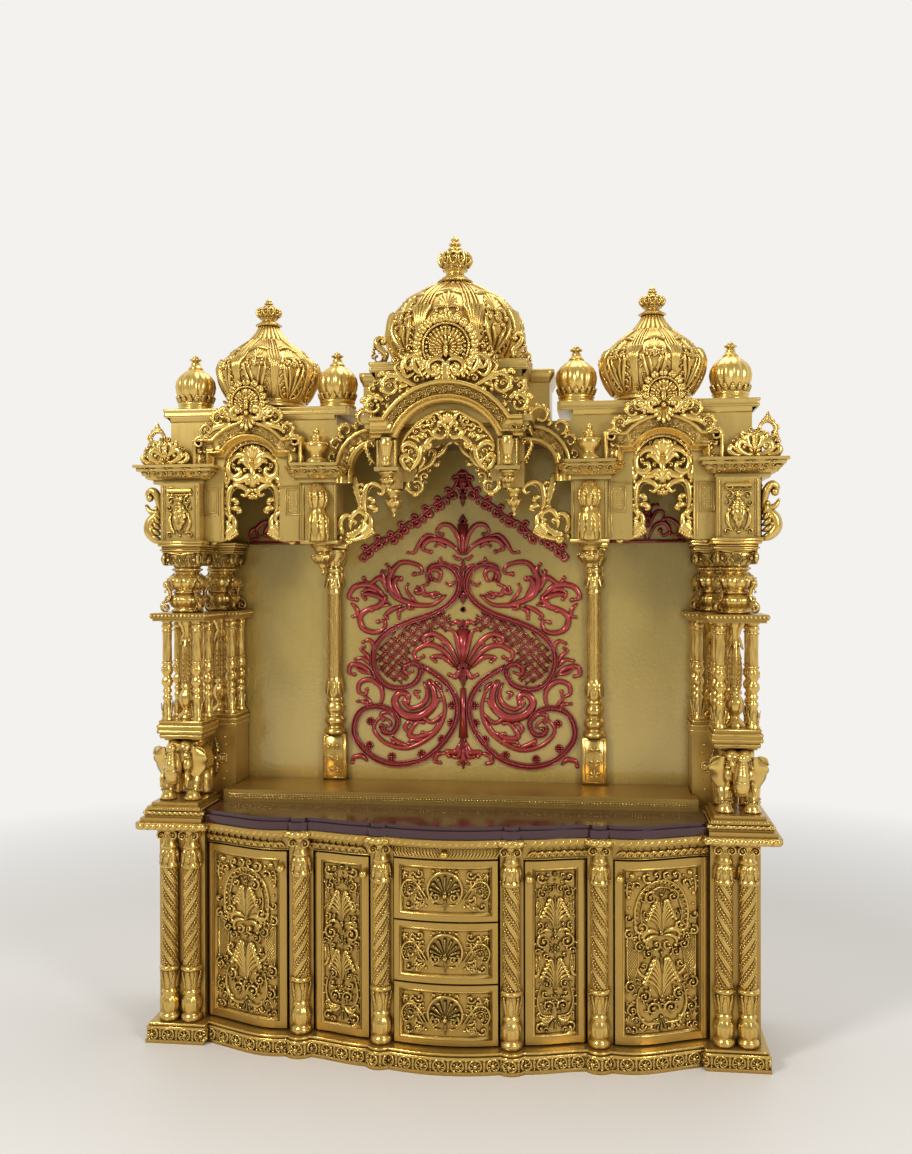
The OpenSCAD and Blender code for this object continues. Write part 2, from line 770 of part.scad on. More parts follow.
// Projecting centre bay: two hanging posts, side beams and a cornice
module porch() {
    color(gold) {
        both_sides() {
            block(bay_post_in, bay_post_out, porch_y, porch_y + 50, porch_z, porch_top - 60);
            block(150, bay_post_out, porch_y + 50, fascia_y, porch_z + 40, porch_top - 60);
            block(bay_post_in - 6, bay_post_out + 6, porch_y - 4, porch_y + 56, porch_z - 10, porch_z);
        }
        difference() {
            for (s = [[0, 14, 4], [14, 30, 14], [30, 44, 26], [44, 60, 36]])
                block(-194 - s[2], 194 + s[2], porch_y - s[2] / 2, fascia_y,
                    porch_top - 60 + s[0], porch_top - 60 + s[1]);
            translate([0, porch_y - 40, porch_arch_z]) rotate([-90, 0, 0])
                cylinder(r = mid_arch_r + 55, h = 80, $fn = 96);
            block(-150, 150, porch_y - 40, fascia_y + 1, porch_top - 80, porch_top - 12);
        }
    }
}

module porch_arch() {
    foot = porch_top - 60 - porch_arch_z;
    color(bright_gold) translate([0, roof_front, porch_arch_z]) rotate([90, 0, 0])
        difference() {
            arch_ring(mid_arch_r, mid_arch_r + 55, 50);
            for (s = [-1, 1])
                block(s * 168 - 38, s * 168 + 38, -1, foot, -1, 60);
        }
}

module porch_torana() {
    color(bright_gold) translate([0, roof_front - 10, porch_arch_z]) rotate([90, 0, 0])
        difference() {
            arch_ring(mid_arch_r - 50, mid_arch_r, 16);
            for (s = [-1, 1])
                block(s * 170 - 40, s * 170 + 40, -1, porch_top - 60 - porch_arch_z, -1, 50);
        }
}

// Second arch, between the hanging posts, behind the porch
module inner_arch() {
    color(gold) difference() {
        block(-post_in, post_in, fascia_y + 4, fascia_y + 22, inner_arch_z, porch_top - 12);
        translate([0, fascia_y, inner_arch_z]) rotate([-90, 0, 0])
            cylinder(r = inner_arch_r, h = 40, $fn = 64);
    }
}

// Quarter arches between the inner pilasters and the porch
module half_arches() {
    color(bright_gold) both_sides()
        translate([half_arch_x, fascia_y + fascia_t, half_arch_z]) rotate([90, 0, 0])
            intersection() {
                arch_ring(half_arch_r - 45, half_arch_r, fascia_t);
                cube([half_arch_r + 10, half_arch_r + 10, 100]);
            }
}

module pendant(x, y, z_top, h, r) {
    translate([x, y, z_top - h]) rotate_extrude($fn = 32)
        polygon([[0, 0], [r * 0.3, h * 0.06], [r * 0.5, h * 0.2], [r * 0.35, h * 0.3], [r * 0.8, h * 0.45],
            [r, h * 0.62], [r * 0.7, h * 0.78], [r, h * 0.88], [r, h], [0, h]]);
}

module pendants() {
    color(bright_gold) both_sides() {
        pendant((pil_in + pil_out) / 2, fascia_y + 36, canopy_z, 100, 38);
        pendant((post_in + post_out) / 2, fascia_y + 23, porch_z - 50, 82, 26);
        pendant((bay_post_in + bay_post_out) / 2, porch_y + 25, porch_z - 10, 56, 24);
    }
}

// Lidded urns on the cornice of the inner pilasters
module urns() {
    color(bright_gold) both_sides()
        translate([(pil_in + pil_out) / 2, fascia_y - 33, cornice_z + cornice_h]) rotate_extrude($fn = 40)
            polygon([[0, 0], [30, 0], [31, 4], [27, 10], [17, 18], [24, 30], [32, 42], [33, 52], [24, 57],
                [14, 64], [17, 72], [7, 80], [10, 87], [0, 99]]);
}

// Scrolls that hang beside the inner pilasters, under the half arches
module hanging_scrolls() {
    color(bright_gold) both_sides()
        translate([0, fascia_y + 22, 0]) rotate([90, 0, 0])
            linear_extrude(16) difference() {
                union() {
                    translate([pil_in - 46, canopy_z + 60]) square([46, half_arch_z - canopy_z - 60]);
                    translate([pil_in - 50, canopy_z + 48]) circle(r = 46, $fn = 40);
                    translate([pil_in - 48, canopy_z + 6]) square([48, 60]);
                    translate([pil_in - 62, half_arch_z - 48]) circle(r = 18, $fn = 24);
                }
                translate([pil_in - 58, canopy_z + 56]) circle(r = 13, $fn = 24);
                translate([pil_in - 22, canopy_z + 76]) circle(r = 11, $fn = 24);
            }
}

module ceiling() {
    color(brown) difference() {
        block(-canopy_half + fascia_t, canopy_half - fascia_t, fascia_y + fascia_t, wall_y,
            ceiling_z - 18, ceiling_z);
        both_sides()
            block(post_in - 1, post_out + 1, 0, fascia_y + fascia_t + 17, ceiling_z - 20, ceiling_z + 1);
    }
}

module side_roofs() {
    color(gold) both_sides() {
        block(pil_in, 814, fascia_y, half_depth, ceiling_z, roof_z - 24);
        block(291, 832, fascia_y - 7, half_depth, roof_z - 24, roof_z);
    }
}

mid_roof_z = ceiling_z + 187;
dome_side_x = 553.5;
small_dome_dx = 211.5;

module centre_roof() {
    color(gold) {
        block(-200, 200, roof_front, half_depth, porch_top, mid_roof_z - 27);
        block(-214, 214, roof_front - 14, half_depth, mid_roof_z - 27, mid_roof_z);
        block(-267, 267, 60, half_depth, ceiling_z, mid_roof_z);
    }
}

// A lobed dome: it swells from its base to the widest level and closes over to the neck
function dome_radius(s, s_wide, base, neck) = s < s_wide
    ? base + (1 - base) * sin(90 * s / s_wide)
    : neck + (1 - neck) * sqrt(max(0, 1 - pow((s - s_wide) / (1 - s_wide), 2)));
function lobe(a, lobes) = 1 - 0.05 * pow(abs(cos(a * lobes / 2)), 3);

module lobed_dome(r, h, s_wide, base, neck, lobes, rings) {
    n = lobes * 4;
    rows = [for (k = [0:rings]) [r * dome_radius(k / rings, s_wide, base, neck), h * k / rings]];
    points = concat([for (row = rows, i = [0:n - 1]) let (a = i * 360 / n)
        [row[0] * lobe(a, lobes) * cos(a), row[0] * lobe(a, lobes) * sin(a), row[1]]],
        [[0, 0, 0], [0, 0, h]]);
    low = (rings + 1) * n;
    faces = concat(
        [for (i = [0:n - 1]) [low, i, (i + 1) % n]],
        [for (i = [0:n - 1]) [low + 1, rings * n + (i + 1) % n, rings * n + i]],
        [for (k = [0:rings - 1], i = [0:n - 1]) [k * n + i, (k + 1) * n + i, (k + 1) * n + (i + 1) % n]],
        [for (k = [0:rings - 1], i = [0:n - 1]) [k * n + i, (k + 1) * n + (i + 1) % n, k * n + (i + 1) % n]]);
    polyhedron(points, faces);
}

// Pot-shaped finial
module kalash(h, r) {
    rotate_extrude($fn = 32)
        polygon([[0, 0], [r * 1.3, 0], [r * 1.3, h * 0.04], [r * 0.6, h * 0.1], [r * 0.45, h * 0.24],
            [r, h * 0.36], [r, h * 0.46], [r * 0.45, h * 0.56], [r * 0.6, h * 0.64], [r * 0.3, h * 0.72],
            [r * 0.42, h * 0.8], [r * 0.16, h * 0.88], [0, h]]);
}

module dome(x, y, z, r, widest, neck_z, tip, base, lobes, rings) {
    drum = r * 0.08;
    h = neck_z - z - drum;
    translate([x, y, z]) cylinder(r = r * (base + 0.03), h = drum, $fn = 48);
    translate([x, y, z + drum]) lobed_dome(r, h, (widest - z - drum) / h, base, 0.2, lobes, rings);
    translate([x, y, neck_z - 1]) kalash(tip - neck_z + 1, r * 0.24);
}

module centre_dome() {
    color(bright_gold)
        dome(0, half_depth - dome_mid_r, mid_roof_z, dome_mid_r, mid_roof_z + 103, mid_roof_z + 266,
            mid_roof_z + 387, 0.86, dome_lobes, 12);
}

module side_domes() {
    color(bright_gold) both_sides()
        dome(dome_side_x, 84, roof_z, dome_side_r, roof_z + 118, roof_z + 252, roof_z + 334,
            0.7, dome_lobes, 10);
}

module small_domes() {
    color(bright_gold) both_sides()
        for (x = [dome_side_x - small_dome_dx, dome_side_x + small_dome_dx])
            dome(x, 54, roof_z, dome_small_r, roof_z + 79, roof_z + 127, roof_z + 167, 0.72, 10, 7);
}

module crest_plate(x, y, z, w, h) {
    translate([x, y, z]) rotate([90, 0, 0]) linear_extrude(16)
        polygon([[-w, 0], [w, 0], [w * 0.9, h * 0.25], [w * 0.6, h * 0.35], [w * 0.45, h * 0.75],
            [w * 0.2, h * 0.95], [0, h], [-w * 0.2, h * 0.95], [-w * 0.45, h * 0.75],
            [-w * 0.6, h * 0.35], [-w * 0.9, h * 0.25]]);
}

module crests() {
    color(bright_gold) {
        crest_plate(0, roof_front - 44, porch_arch_z + mid_arch_r + 55, 100, 165);
        both_sides() {
            crest_plate(arch_x, fascia_y - 36, arch_z + side_arch_r + 52, 100, 110);
            crest_plate(front_pier_x + 32, fascia_y - 8, cornice_z + cornice_h, 76, 70);
        }
    }
}

plinth();
cabinet_floor();
cabinet_back();
cabinet_sides();
cabinet_partitions();
front_stiles();
frieze();
base_piers();
base_columns();
pier_columns();
drawer_runners();
door_left_wide();
door_left_narrow();
door_right_narrow();
door_right_wide();
drawer_top();
drawer_middle();
drawer_bottom();
frieze_tray();
sub_top();
rope_moulding();
countertop();
pier_caps();
ledge();
elephant_plinths();
elephant_left();
elephant_right();
pier_blocks();
rear_pedestals();
colonettes();
pier_vases();
bead_slabs();
pots();
capitals();
back_wall();
back_scrollwork();
back_pilasters();
gable_trim();
wing_crests();
canopy_front();
canopy_sides();
cornice();
side_archivolts();
side_toranas();
porch();
porch_arch();
porch_torana();
inner_arch();
half_arches();
hanging_scrolls();
pendants();
urns();
ceiling();
side_roofs();
centre_roof();
centre_dome();
side_domes();
small_domes();
crests();
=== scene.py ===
"""Looks of a carved gold pooja mandir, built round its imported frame.

Lengths are millimetres in the frame's own axes: +X right, +Y back, +Z up, with the
origin on the floor at the middle of the footprint. Meshes are scaled to metres when
they are made.
"""

import logging
import math
from dataclasses import dataclass, field
from enum import Enum
from typing import Callable, ClassVar, Sequence

import bpy
import numpy as np
from mathutils.kdtree import KDTree
from mathutils import Euler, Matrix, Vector


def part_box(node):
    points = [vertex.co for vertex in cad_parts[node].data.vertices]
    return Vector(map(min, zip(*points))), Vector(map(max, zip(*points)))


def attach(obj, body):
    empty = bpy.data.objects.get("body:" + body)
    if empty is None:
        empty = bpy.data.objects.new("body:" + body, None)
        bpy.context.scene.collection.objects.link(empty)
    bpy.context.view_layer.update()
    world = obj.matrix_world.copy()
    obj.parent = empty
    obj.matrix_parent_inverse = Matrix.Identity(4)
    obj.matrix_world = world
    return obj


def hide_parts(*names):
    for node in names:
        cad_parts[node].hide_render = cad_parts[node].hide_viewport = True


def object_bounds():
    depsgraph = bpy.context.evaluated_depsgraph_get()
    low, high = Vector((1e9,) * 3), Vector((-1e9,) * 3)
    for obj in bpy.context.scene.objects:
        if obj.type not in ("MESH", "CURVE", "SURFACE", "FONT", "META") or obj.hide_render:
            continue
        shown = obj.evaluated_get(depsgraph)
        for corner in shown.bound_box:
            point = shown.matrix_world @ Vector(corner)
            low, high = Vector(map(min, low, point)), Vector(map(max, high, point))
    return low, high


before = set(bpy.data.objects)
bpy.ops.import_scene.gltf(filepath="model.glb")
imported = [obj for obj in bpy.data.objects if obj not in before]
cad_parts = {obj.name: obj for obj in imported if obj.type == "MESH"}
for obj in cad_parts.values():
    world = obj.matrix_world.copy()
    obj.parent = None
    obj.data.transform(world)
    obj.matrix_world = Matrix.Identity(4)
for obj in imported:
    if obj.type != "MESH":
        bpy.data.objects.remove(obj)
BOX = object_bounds()

Array = np.ndarray
Number = float | Array
Points = Sequence[Sequence[float]] | Array
Press = Callable[[Array, Array, Array], Array]
TAU = 2 * math.pi
MM = 0.001
log = logging.getLogger("mandir")


# ---------------------------------------------------------------- sheets of points


def sparse(rows: Array, slack: float) -> list[int]:
    """Returns the rows that are enough to draw the others to within a slack.

    Args:
        rows: Numbers shaped (rows, numbers).
        slack: Largest distance of a row that is left out from the line between its neighbours.

    Returns:
        The indices of the rows to keep, with the first and the last.
    """
    keep, i, n = [0], 0, len(rows)
    while i < n - 1:
        j = i + 1
        while j + 1 < n:
            t = np.linspace(0, 1, j + 2 - i)[1:-1, None]
            if np.abs(rows[i] + (rows[j + 1] - rows[i]) * t - rows[i + 1 : j + 1]).max() > slack:
                break
            j += 1
        keep.append(j)
        i = j
    return keep


@dataclass
class Sheets:
    """Grids of points that are gathered into one mesh, in millimetres."""

    SLACK: ClassVar[float] = 0.54
    points: list[Array] = field(default_factory=list)
    faces: list[Array] = field(default_factory=list)
    caps: list[list[int]] = field(default_factory=list)
    relief: list[Array] = field(default_factory=list)
    count: int = 0

    def add(self, grids: Array, ring: bool = False, relief: Array | None = None, caps: str = "") -> None:
        """Adds a batch of point grids as quads.

        Args:
            grids: Points shaped (batch, rows, columns, 3).
            ring: Whether the last column joins the first.
            relief: Height share of each point, from 0 in a recess to 1 on top; the carved finishes paint shade where
                it is low.
            caps: "a" closes the first row and "b" the last row with one face.
        """
        grids = np.asarray(grids, float)
        if grids.ndim == 3:
            grids = grids[None]
            relief = None if relief is None else np.asarray(relief)[None]
        k, n, m, _ = grids.shape
        share = np.ones((k, n, m)) if relief is None else np.broadcast_to(relief, (k, n, m))
        if n > 3:
            rows = sparse(grids.transpose(1, 0, 2, 3).reshape(n, -1), self.SLACK)
            grids, share = grids[:, rows], share[:, rows]
        if m > 5:
            columns = grids.transpose(2, 0, 1, 3).reshape(m, -1)
            across = sparse(np.concatenate([columns, columns[:1]]) if ring else columns, self.SLACK)
            across = across[:-1] if ring else across
            grids, share = grids[:, :, across], share[:, :, across]
        k, n, m, _ = grids.shape
        ids = np.arange(k * n * m).reshape(k, n, m) + self.count
        right = np.roll(ids, -1, axis=2) if ring else ids[:, :, 1:]
        left = ids if ring else ids[:, :, :-1]
        quads = np.stack([left[:, :-1], left[:, 1:], right[:, 1:], right[:, :-1]], axis=-1)
        self.faces.append(quads.reshape(-1, 4))
        if "a" in caps:
            self.caps += [list(map(int, row)) for row in ids[:, 0]]
        if "b" in caps:
            self.caps += [list(map(int, row[::-1])) for row in ids[:, -1]]
        self.points.append(grids.reshape(-1, 3))
        self.relief.append(share.reshape(-1))
        self.count += k * n * m

    def box(self, lo: Sequence[float], hi: Sequence[float], bevel: float = 1.5) -> None:
        """Adds an upright box with bevelled edges.

        Args:
            lo: Its corner at the left, front and bottom.
            hi: Its corner at the right, back and top.
            bevel: Size of the bevel.
        """
        (x0, y0, z0), (x1, y1, z1) = lo, hi
        rows = []
        for i, z in ((bevel, z0), (0, z0 + bevel), (0, z1 - bevel), (bevel, z1)):
            (a, b), (c, d) = (x0 + i, x1 - i), (y0 + i, y1 - i)
            corners = [(a + bevel, c), (b - bevel, c), (b, c + bevel), (b, d - bevel)]
            corners += [(b - bevel, d), (a + bevel, d), (a, d - bevel), (a, c + bevel)]
            rows.append([(x, y, z) for x, y in corners[::-1]])
        self.add(rows, ring=True, caps="ab")

    def join(self, other: "Sheets", move: Callable[[Array], Array] | None = None, flip: bool = False) -> None:
        """Copies another set of sheets into this one.

        Args:
            other: The sheets to copy.
            move: Where a point of the copy goes.
            flip: Whether the faces turn over, for a mirrored copy.
        """
        for block in other.points:
            self.points.append(move(block) if move else block)
        for block in other.faces:
            self.faces.append((block[:, ::-1] if flip else block) + self.count)
        self.caps += [[i + self.count for i in (cap[::-1] if flip else cap)] for cap in other.caps]
        self.relief += other.relief
        self.count += other.count

    def mirrored(self) -> "Sheets":
        """Returns these sheets with their mirror image in the X = 0 plane.

        Returns:
            The new sheets.
        """
        both = Sheets()
        both.join(self)
        both.join(self, lambda p: p * np.array([-1.0, 1.0, 1.0]), flip=True)
        return both

    def mesh(self, name: str) -> bpy.types.Mesh:
        """Makes the Blender mesh.

        Args:
            name: Name of the mesh.

        Returns:
            The smooth-shaded mesh in metres, with a relief value on each point.
        """
        points = np.clip(np.concatenate(self.points) * MM, *(list(v) for v in BOX))
        quads = np.concatenate(self.faces)
        sizes = np.concatenate([np.full(len(quads), 4), [len(c) for c in self.caps]]).astype(np.int32)
        loops = np.concatenate([quads.reshape(-1)] + [np.array(c) for c in self.caps]).astype(np.int32)
        mesh = bpy.data.meshes.new(name)
        mesh.vertices.add(len(points))
        mesh.vertices.foreach_set("co", points.astype(np.float32).reshape(-1))
        mesh.loops.add(len(loops))
        mesh.loops.foreach_set("vertex_index", loops)
        mesh.polygons.add(len(sizes))
        starts = np.concatenate([[0], np.cumsum(sizes)[:-1]]).astype(np.int32)
        mesh.polygons.foreach_set("loop_start", starts)
        mesh.polygons.foreach_set("use_smooth", np.ones(len(sizes), bool))
        mesh.update(calc_edges=True)
        mesh.validate()
        share = mesh.attributes.new("relief", "FLOAT", "POINT")
        share.data.foreach_set("value", np.concatenate(self.relief).astype(np.float32))
        return mesh


# ---------------------------------------------------------------- surfaces that carry carving


class Surface:
    """A surface with right, up and outward coordinates, which carving is laid on."""

    def at(self, p: Array) -> Array:
        """Returns the place of carving coordinates (right, up, out) shaped (..., 3)."""
        raise NotImplementedError


@dataclass
class Plane(Surface):
    """A flat surface."""

    origin: tuple[float, float, float]
    right: tuple[float, float, float] = (1, 0, 0)
    up: tuple[float, float, float] = (0, 0, 1)

    def at(self, p: Array) -> Array:
        """Returns the place of carving coordinates.

        Args:
            p: Carving coordinates, shaped (..., 3).

        Returns:
            The places.
        """
        right, up = np.array(self.right, float), np.array(self.up, float)
        out = np.cross(right, up)
        return np.array(self.origin) + p[..., :1] * right + p[..., 1:2] * up + p[..., 2:] * out


@dataclass
class FrontLine(Surface):
    """An upright surface that follows the serpentine face line of the cabinet."""

    line: Callable[[Array], Array]
    stand_off: float = 0.0
    z: float = 0.0

    def at(self, p: Array) -> Array:
        """Returns the place of carving coordinates; right is the X of the point.

        Args:
            p: Carving coordinates, shaped (..., 3).

        Returns:
            The places.
        """
        x = p[..., 0]
        slope = self.line(x + 0.5) - self.line(x - 0.5)
        size = np.sqrt(1 + slope * slope)
        out = p[..., 2] + self.stand_off
        return np.stack([x + slope / size * out, self.line(x) - out / size, p[..., 1] + self.z], axis=-1)


@dataclass
class Round(Surface):
    """A turned surface; right is the arc from the line that faces turn degrees, up is the Z."""

    x: float
    y: float
    radius: Callable[[Array], Array]
    z: float = 0.0
    turn: float = 0.0

    def at(self, p: Array) -> Array:
        """Returns the place of carving coordinates.

        Args:
            p: Carving coordinates, shaped (..., 3).

        Returns:
            The places.
        """
        z = p[..., 1]
        here = self.radius(z)
        slope = self.radius(z + 0.5) - self.radius(z - 0.5)
        size = np.sqrt(1 + slope * slope)
        a = math.radians(self.turn) + p[..., 0] / np.maximum(here, 1.0)
        r = here + p[..., 2] / size
        up = z - p[..., 2] * slope / size
        return np.stack([self.x + r * np.sin(a), self.y - r * np.cos(a), up + self.z], axis=-1)


# ---------------------------------------------------------------- carving drawn flat


def curl_path(start: Sequence[float], heading: float, length: float, bend: float, power: float = 2.0,
        n: int = 12) -> Array:
    """Traces a line that curls up more and more tightly.

    Args:
        start: First point.
        heading: Direction at the start, in degrees from the right.
        length: Length along the line.
        bend: Whole turn in degrees, positive to the left.
        power: How late the turn comes.
        n: Number of points.

    Returns:
        The points, shaped (n, 2).
    """
    s = (np.arange(n - 1) + 0.5) / (n - 1)
    angle = np.radians(heading + bend * s**power)
    step = np.stack([np.cos(angle), np.sin(angle)], axis=-1) * length / (n - 1)
    return np.concatenate([[start], np.array(start) + np.cumsum(step, axis=0)])


def spline(knots: Points, fine: int) -> Array:
    """Draws a smooth line through knots.

    Args:
        knots: Points that the line goes through, flat or in space.
        fine: Number of points from each knot to the next.

    Returns:
        Its points.
    """
    k = np.array(knots, float)
    k = np.concatenate([[2 * k[0] - k[1]], k, [2 * k[-1] - k[-2]]])
    t = np.linspace(0, 1, fine, endpoint=False)[:, None]
    runs = []
    for a, b, c, d in zip(k[:-3], k[1:-2], k[2:-1], k[3:]):
        runs.append(0.5 * (2 * b + (c - a) * t + (2 * a - 5 * b + 4 * c - d) * t**2 + (3 * b - a - 3 * c + d) * t**3))
    return np.concatenate(runs + [k[-2:-1]])


def smooth_path(knots: Points, n: int = 32) -> Array:
    """Returns n evenly spaced points of a smooth line through knots."""
    return even_path(spline(knots, 16), n)


def length_of(path: Points) -> float:
    """Returns the length of a path."""
    return float(np.linalg.norm(np.diff(path, axis=0), axis=1).sum())


def even_path(path: Points, n: int) -> Array:
    """Returns n points spaced evenly along a path.

    Args:
        path: The path's points.
        n: How many points to return.

    Returns:
        The points.
    """
    path = np.asarray(path, float)
    s = np.concatenate([[0], np.cumsum(np.linalg.norm(np.diff(path, axis=0), axis=1))])
    t = np.linspace(0, s[-1], n)
    return np.stack([np.interp(t, s, path[:, i]) for i in range(path.shape[1])], axis=-1)


def heading_at(path: Array, t: float) -> tuple[Array, float]:
    """Returns the point at share t of an even path and the path's direction there in degrees.

    Args:
        path: The path's points.
        t: Share of the way along it.

    Returns:
        The point and the direction.
    """
    i = min(max(int(t * (len(path) - 1)), 0), len(path) - 2)
    d = path[i + 1] - path[i]
    return path[i] + d * (t * (len(path) - 1) - i), math.degrees(math.atan2(d[1], d[0]))


def directions(path: Array) -> tuple[Array, Array]:
    """Finds which way a path runs.

    Args:
        path: Its points, shaped (..., n, 2).

    Returns:
        At each point, the unit step along the path and the one to its right.
    """
    d = np.gradient(path, axis=-2)
    d /= np.linalg.norm(d, axis=-1, keepdims=True) + 1e-9
    return d, np.stack([d[..., 1], -d[..., 0]], axis=-1)


def inside(outline: Array, points: Array) -> Array:
    """Tells which points lie inside a flat outline.

    Args:
        outline: Its corners.
        points: The points, shaped (n, 2).

    Returns:
        Whether each point lies inside.
    """
    x, y = points.T[..., None]
    a, b = outline, np.roll(outline, -1, axis=0)
    across = (a[:, 1] > y) != (b[:, 1] > y)
    at = a[:, 0] + (y - a[:, 1]) / (b[:, 1] - a[:, 1] + 1e-9) * (b[:, 0] - a[:, 0])
    return np.sum(across & (x < at), axis=1) % 2 == 1


def taper(n: int, start: float = 0.25, peak: float = 0.45, end: float = 0.3) -> Array:
    """Width shares along a leaflet: start, full at the peak, end.

    Args:
        n: Number of points along it.
        start: Share at its foot.
        peak: Where it is widest, as a share of the way.
        end: Share at its tip.

    Returns:
        The shares.
    """
    t = np.linspace(0, 1, n)
    rise = start + (1 - start) * np.sin(np.clip(t / peak, 0, 1) * math.pi / 2)
    fall = end + (1 - end) * np.cos(np.clip((t - peak) / (1 - peak), 0, 1) * math.pi / 2)
    return np.where(t < peak, rise, fall)


@dataclass
class Carving:
    """Relief drawn in flat coordinates (right, up, out), kept as batches of point grids."""

    SKIRT: ClassVar[float] = 0.6
    SMALL_BEAD: ClassVar[float] = 3.4
    MOST_VOLUTES: ClassVar[int] = 260
    pierced: float = 0.0
    bold: float = 1.0
    batches: list[tuple[Array, bool, Array, str]] = field(default_factory=list)

    def put(self, grids: Array, ring: bool, share: Array, caps: str = "") -> None:
        """Keeps a batch of grids with the height share of their points."""
        self.batches.append((grids, ring, np.broadcast_to(share, grids.shape[:3]), caps))

    def stroke(self, path: Points, width: Number, height: Number, around: int = 5) -> None:
        """Adds a rounded band along a path.

        Args:
            path: Points (n, 2), or (k, n, 2) for several bands.
            width: Full width, one number or one for each point.
            height: Height above the ground, one number or one for each point.
            around: Points across the band.
        """
        path = np.asarray(path, float)
        path = path[None] if path.ndim == 2 else path
        side = directions(path)[1]
        closed = self.pierced > 0
        a = np.linspace(0, TAU, around + 2, endpoint=False) if closed else np.linspace(0, math.pi, around)
        half = np.broadcast_to(np.asarray(width, float) * self.bold / 2, path.shape[:2])[..., None]
        high = np.broadcast_to(np.asarray(height, float), path.shape[:2])[..., None]
        xy = path[:, :, None, :] + side[:, :, None, :] * (half * np.cos(a))[..., None]
        sine = np.sin(a)
        foot = self.pierced or self.SKIRT
        up = np.where(sine >= 0, sine * high, sine * foot) if closed else sine * (high + foot) - foot
        share = np.clip(sine, 0, 1) ** 0.8
        self.put(np.concatenate([xy, up[..., None]], axis=-1), closed, share, "ab" if closed else "")

    def dots(self, centres: Array, radius: Number, height: float = 0.8, base: Number = 0.0, around: int = 8) -> None:
        """Adds round beads.

        Args:
            centres: Points (k, 2).
            radius: Radius, one number or one for each bead.
            height: Height as a share of the radius.
            base: Height of the ground under the beads.
            around: Sides of a bead.
        """
        centres = np.atleast_2d(np.asarray(centres, float))
        r = np.broadcast_to(np.asarray(radius, float), len(centres))[:, None, None]
        small = r.max() < self.SMALL_BEAD
        round_ = self.pierced > 0 and not small
        a = -np.linspace(0, TAU, 6 if small else around, endpoint=False)
        tilts = np.radians([-12, 46] if small else [-45, 5, 56] if round_ else [-12, 30, 68])[:, None]
        ring = np.stack([np.cos(a) * np.cos(tilts), np.sin(a) * np.cos(tilts)], axis=-1)
        xy = centres[:, None, None, :] + ring * r[..., None]
        low = np.broadcast_to(np.asarray(base, float), len(centres))[:, None, None]
        up = low + np.broadcast_to(np.sin(tilts), ring.shape[:2]) * r * height
        share = np.broadcast_to(np.clip(np.sin(tilts) + 0.2, 0, 1), ring.shape[:2])
        self.put(np.concatenate([xy, up[..., None]], axis=-1), True, share, "ab" if round_ else "b")

    def string(self, path: Points, radius: float, step: float = 2.3, height: float = 0.8, base: float = 0.0) -> None:
        """Adds a string of beads along a path, step radii apart."""
        count = max(int(length_of(path) / (radius * step)), 2)
        self.dots(even_path(path, count), radius, height, base, around=6)

    def beaded_band(self, path: Array, width: float, height: float) -> None:
        """Adds a band of two fillets with a string of beads between them.

        Args:
            path: Its middle line.
            width: Full width.
            height: Height of the fillets.
        """
        offset = directions(path)[1] * width * 0.4
        fillet = width * 0.24
        if self.pierced:
            self.stroke(path, width * 0.9, height * 0.45, around=6)
        self.stroke(np.stack([path + offset, path - offset]), fillet, height, around=5)
        self.string(path, width * 0.2, 2.6, 1.0, height * 0.25)

    def curl(self, start: Sequence[float], heading: float, length: float, bend: float, width: float, height: float,
            power: float = 1.8, ball: float = 0.55, n: int = 11) -> None:
        """Adds a leaflet that curls into a ball.

        Args:
            start: Where it leaves its stem.
            heading: Direction there in degrees.
            length: Length along its middle.
            bend: Whole turn in degrees, positive to the left.
            width: Widest width.
            height: Height of its middle.
            power: How late the turn comes.
            ball: Radius of the ball as a share of the width, or 0.
            n: Points along it.
        """
        path = curl_path(start, heading, length, bend, power, n)
        self.stroke(path, taper(n) * width, taper(n, 0.5, 0.6, 0.6) * height)
        if ball:
            ball *= self.bold**0.6
            self.dots(path[-1], width * ball, height / (width * ball) * 0.95)

    def curls(self, *rows: Sequence[float]) -> None:
        """Adds leaflets, each given by right and up of its start and what else curl() takes."""
        for right, up, *rest in rows:
            self.curl((right, up), *rest)

    def leaf(self, path: Points, width: float, height: float, lobes: int = 5, lift: float = 0.0,
            across: int = 7) -> None:
        """Adds an acanthus leaf with a scalloped edge, a middle rib and ridges.

        Args:
            path: Middle line (n, 2), from the foot to the tip.
            width: Widest width.
            height: Height of the ridges.
            lobes: Scallops along each edge.
            lift: How far the tip stands off the ground.
            across: Points across, an odd number.
        """
        n = max(lobes * 4 + 1, 9)
        path = even_path(path, n)
        d, side = directions(path)
        t = np.linspace(0, 1, n)[:, None]
        s = np.linspace(1, -1, across)[None]
        wave = np.abs(np.sin(math.pi * lobes * t))
        half = width / 2 * np.sin(math.pi * np.clip(t, 0.02, 0.98) ** 0.75) ** 0.7
        spread = half * (0.62 + 0.38 * wave * np.abs(s) + 0.38 * (1 - np.abs(s)))
        back = -np.abs(s) * width * 0.16
        xy = path[:, None] + side[:, None] * (s * spread)[..., None] + d[:, None] * back[..., None]
        round_ = np.sqrt(np.clip(1 - s**4, 0, 1))
        rib = 1 - 0.35 * np.exp(-(np.abs(s) / 0.16) ** 2)
        ridge = 0.72 + 0.28 * np.abs(np.sin(math.pi * lobes * (t - 0.12 * np.abs(s))))
        share = round_ * rib * ridge
        base = lift * t**2
        up = base + share * height * (0.55 + 0.45 * np.sin(math.pi * t**0.8)) - (0 if self.pierced else 0.4) * (
            round_ < 0.01)
        top = np.concatenate([xy, up[..., None]], axis=-1)[None]
        if self.pierced:
            under = top[:, :, -2:0:-1].copy()
            under[..., 2] = base - self.pierced * round_[:, -2:0:-1]
            share = np.concatenate([share, np.zeros((n, across - 2))], axis=1)
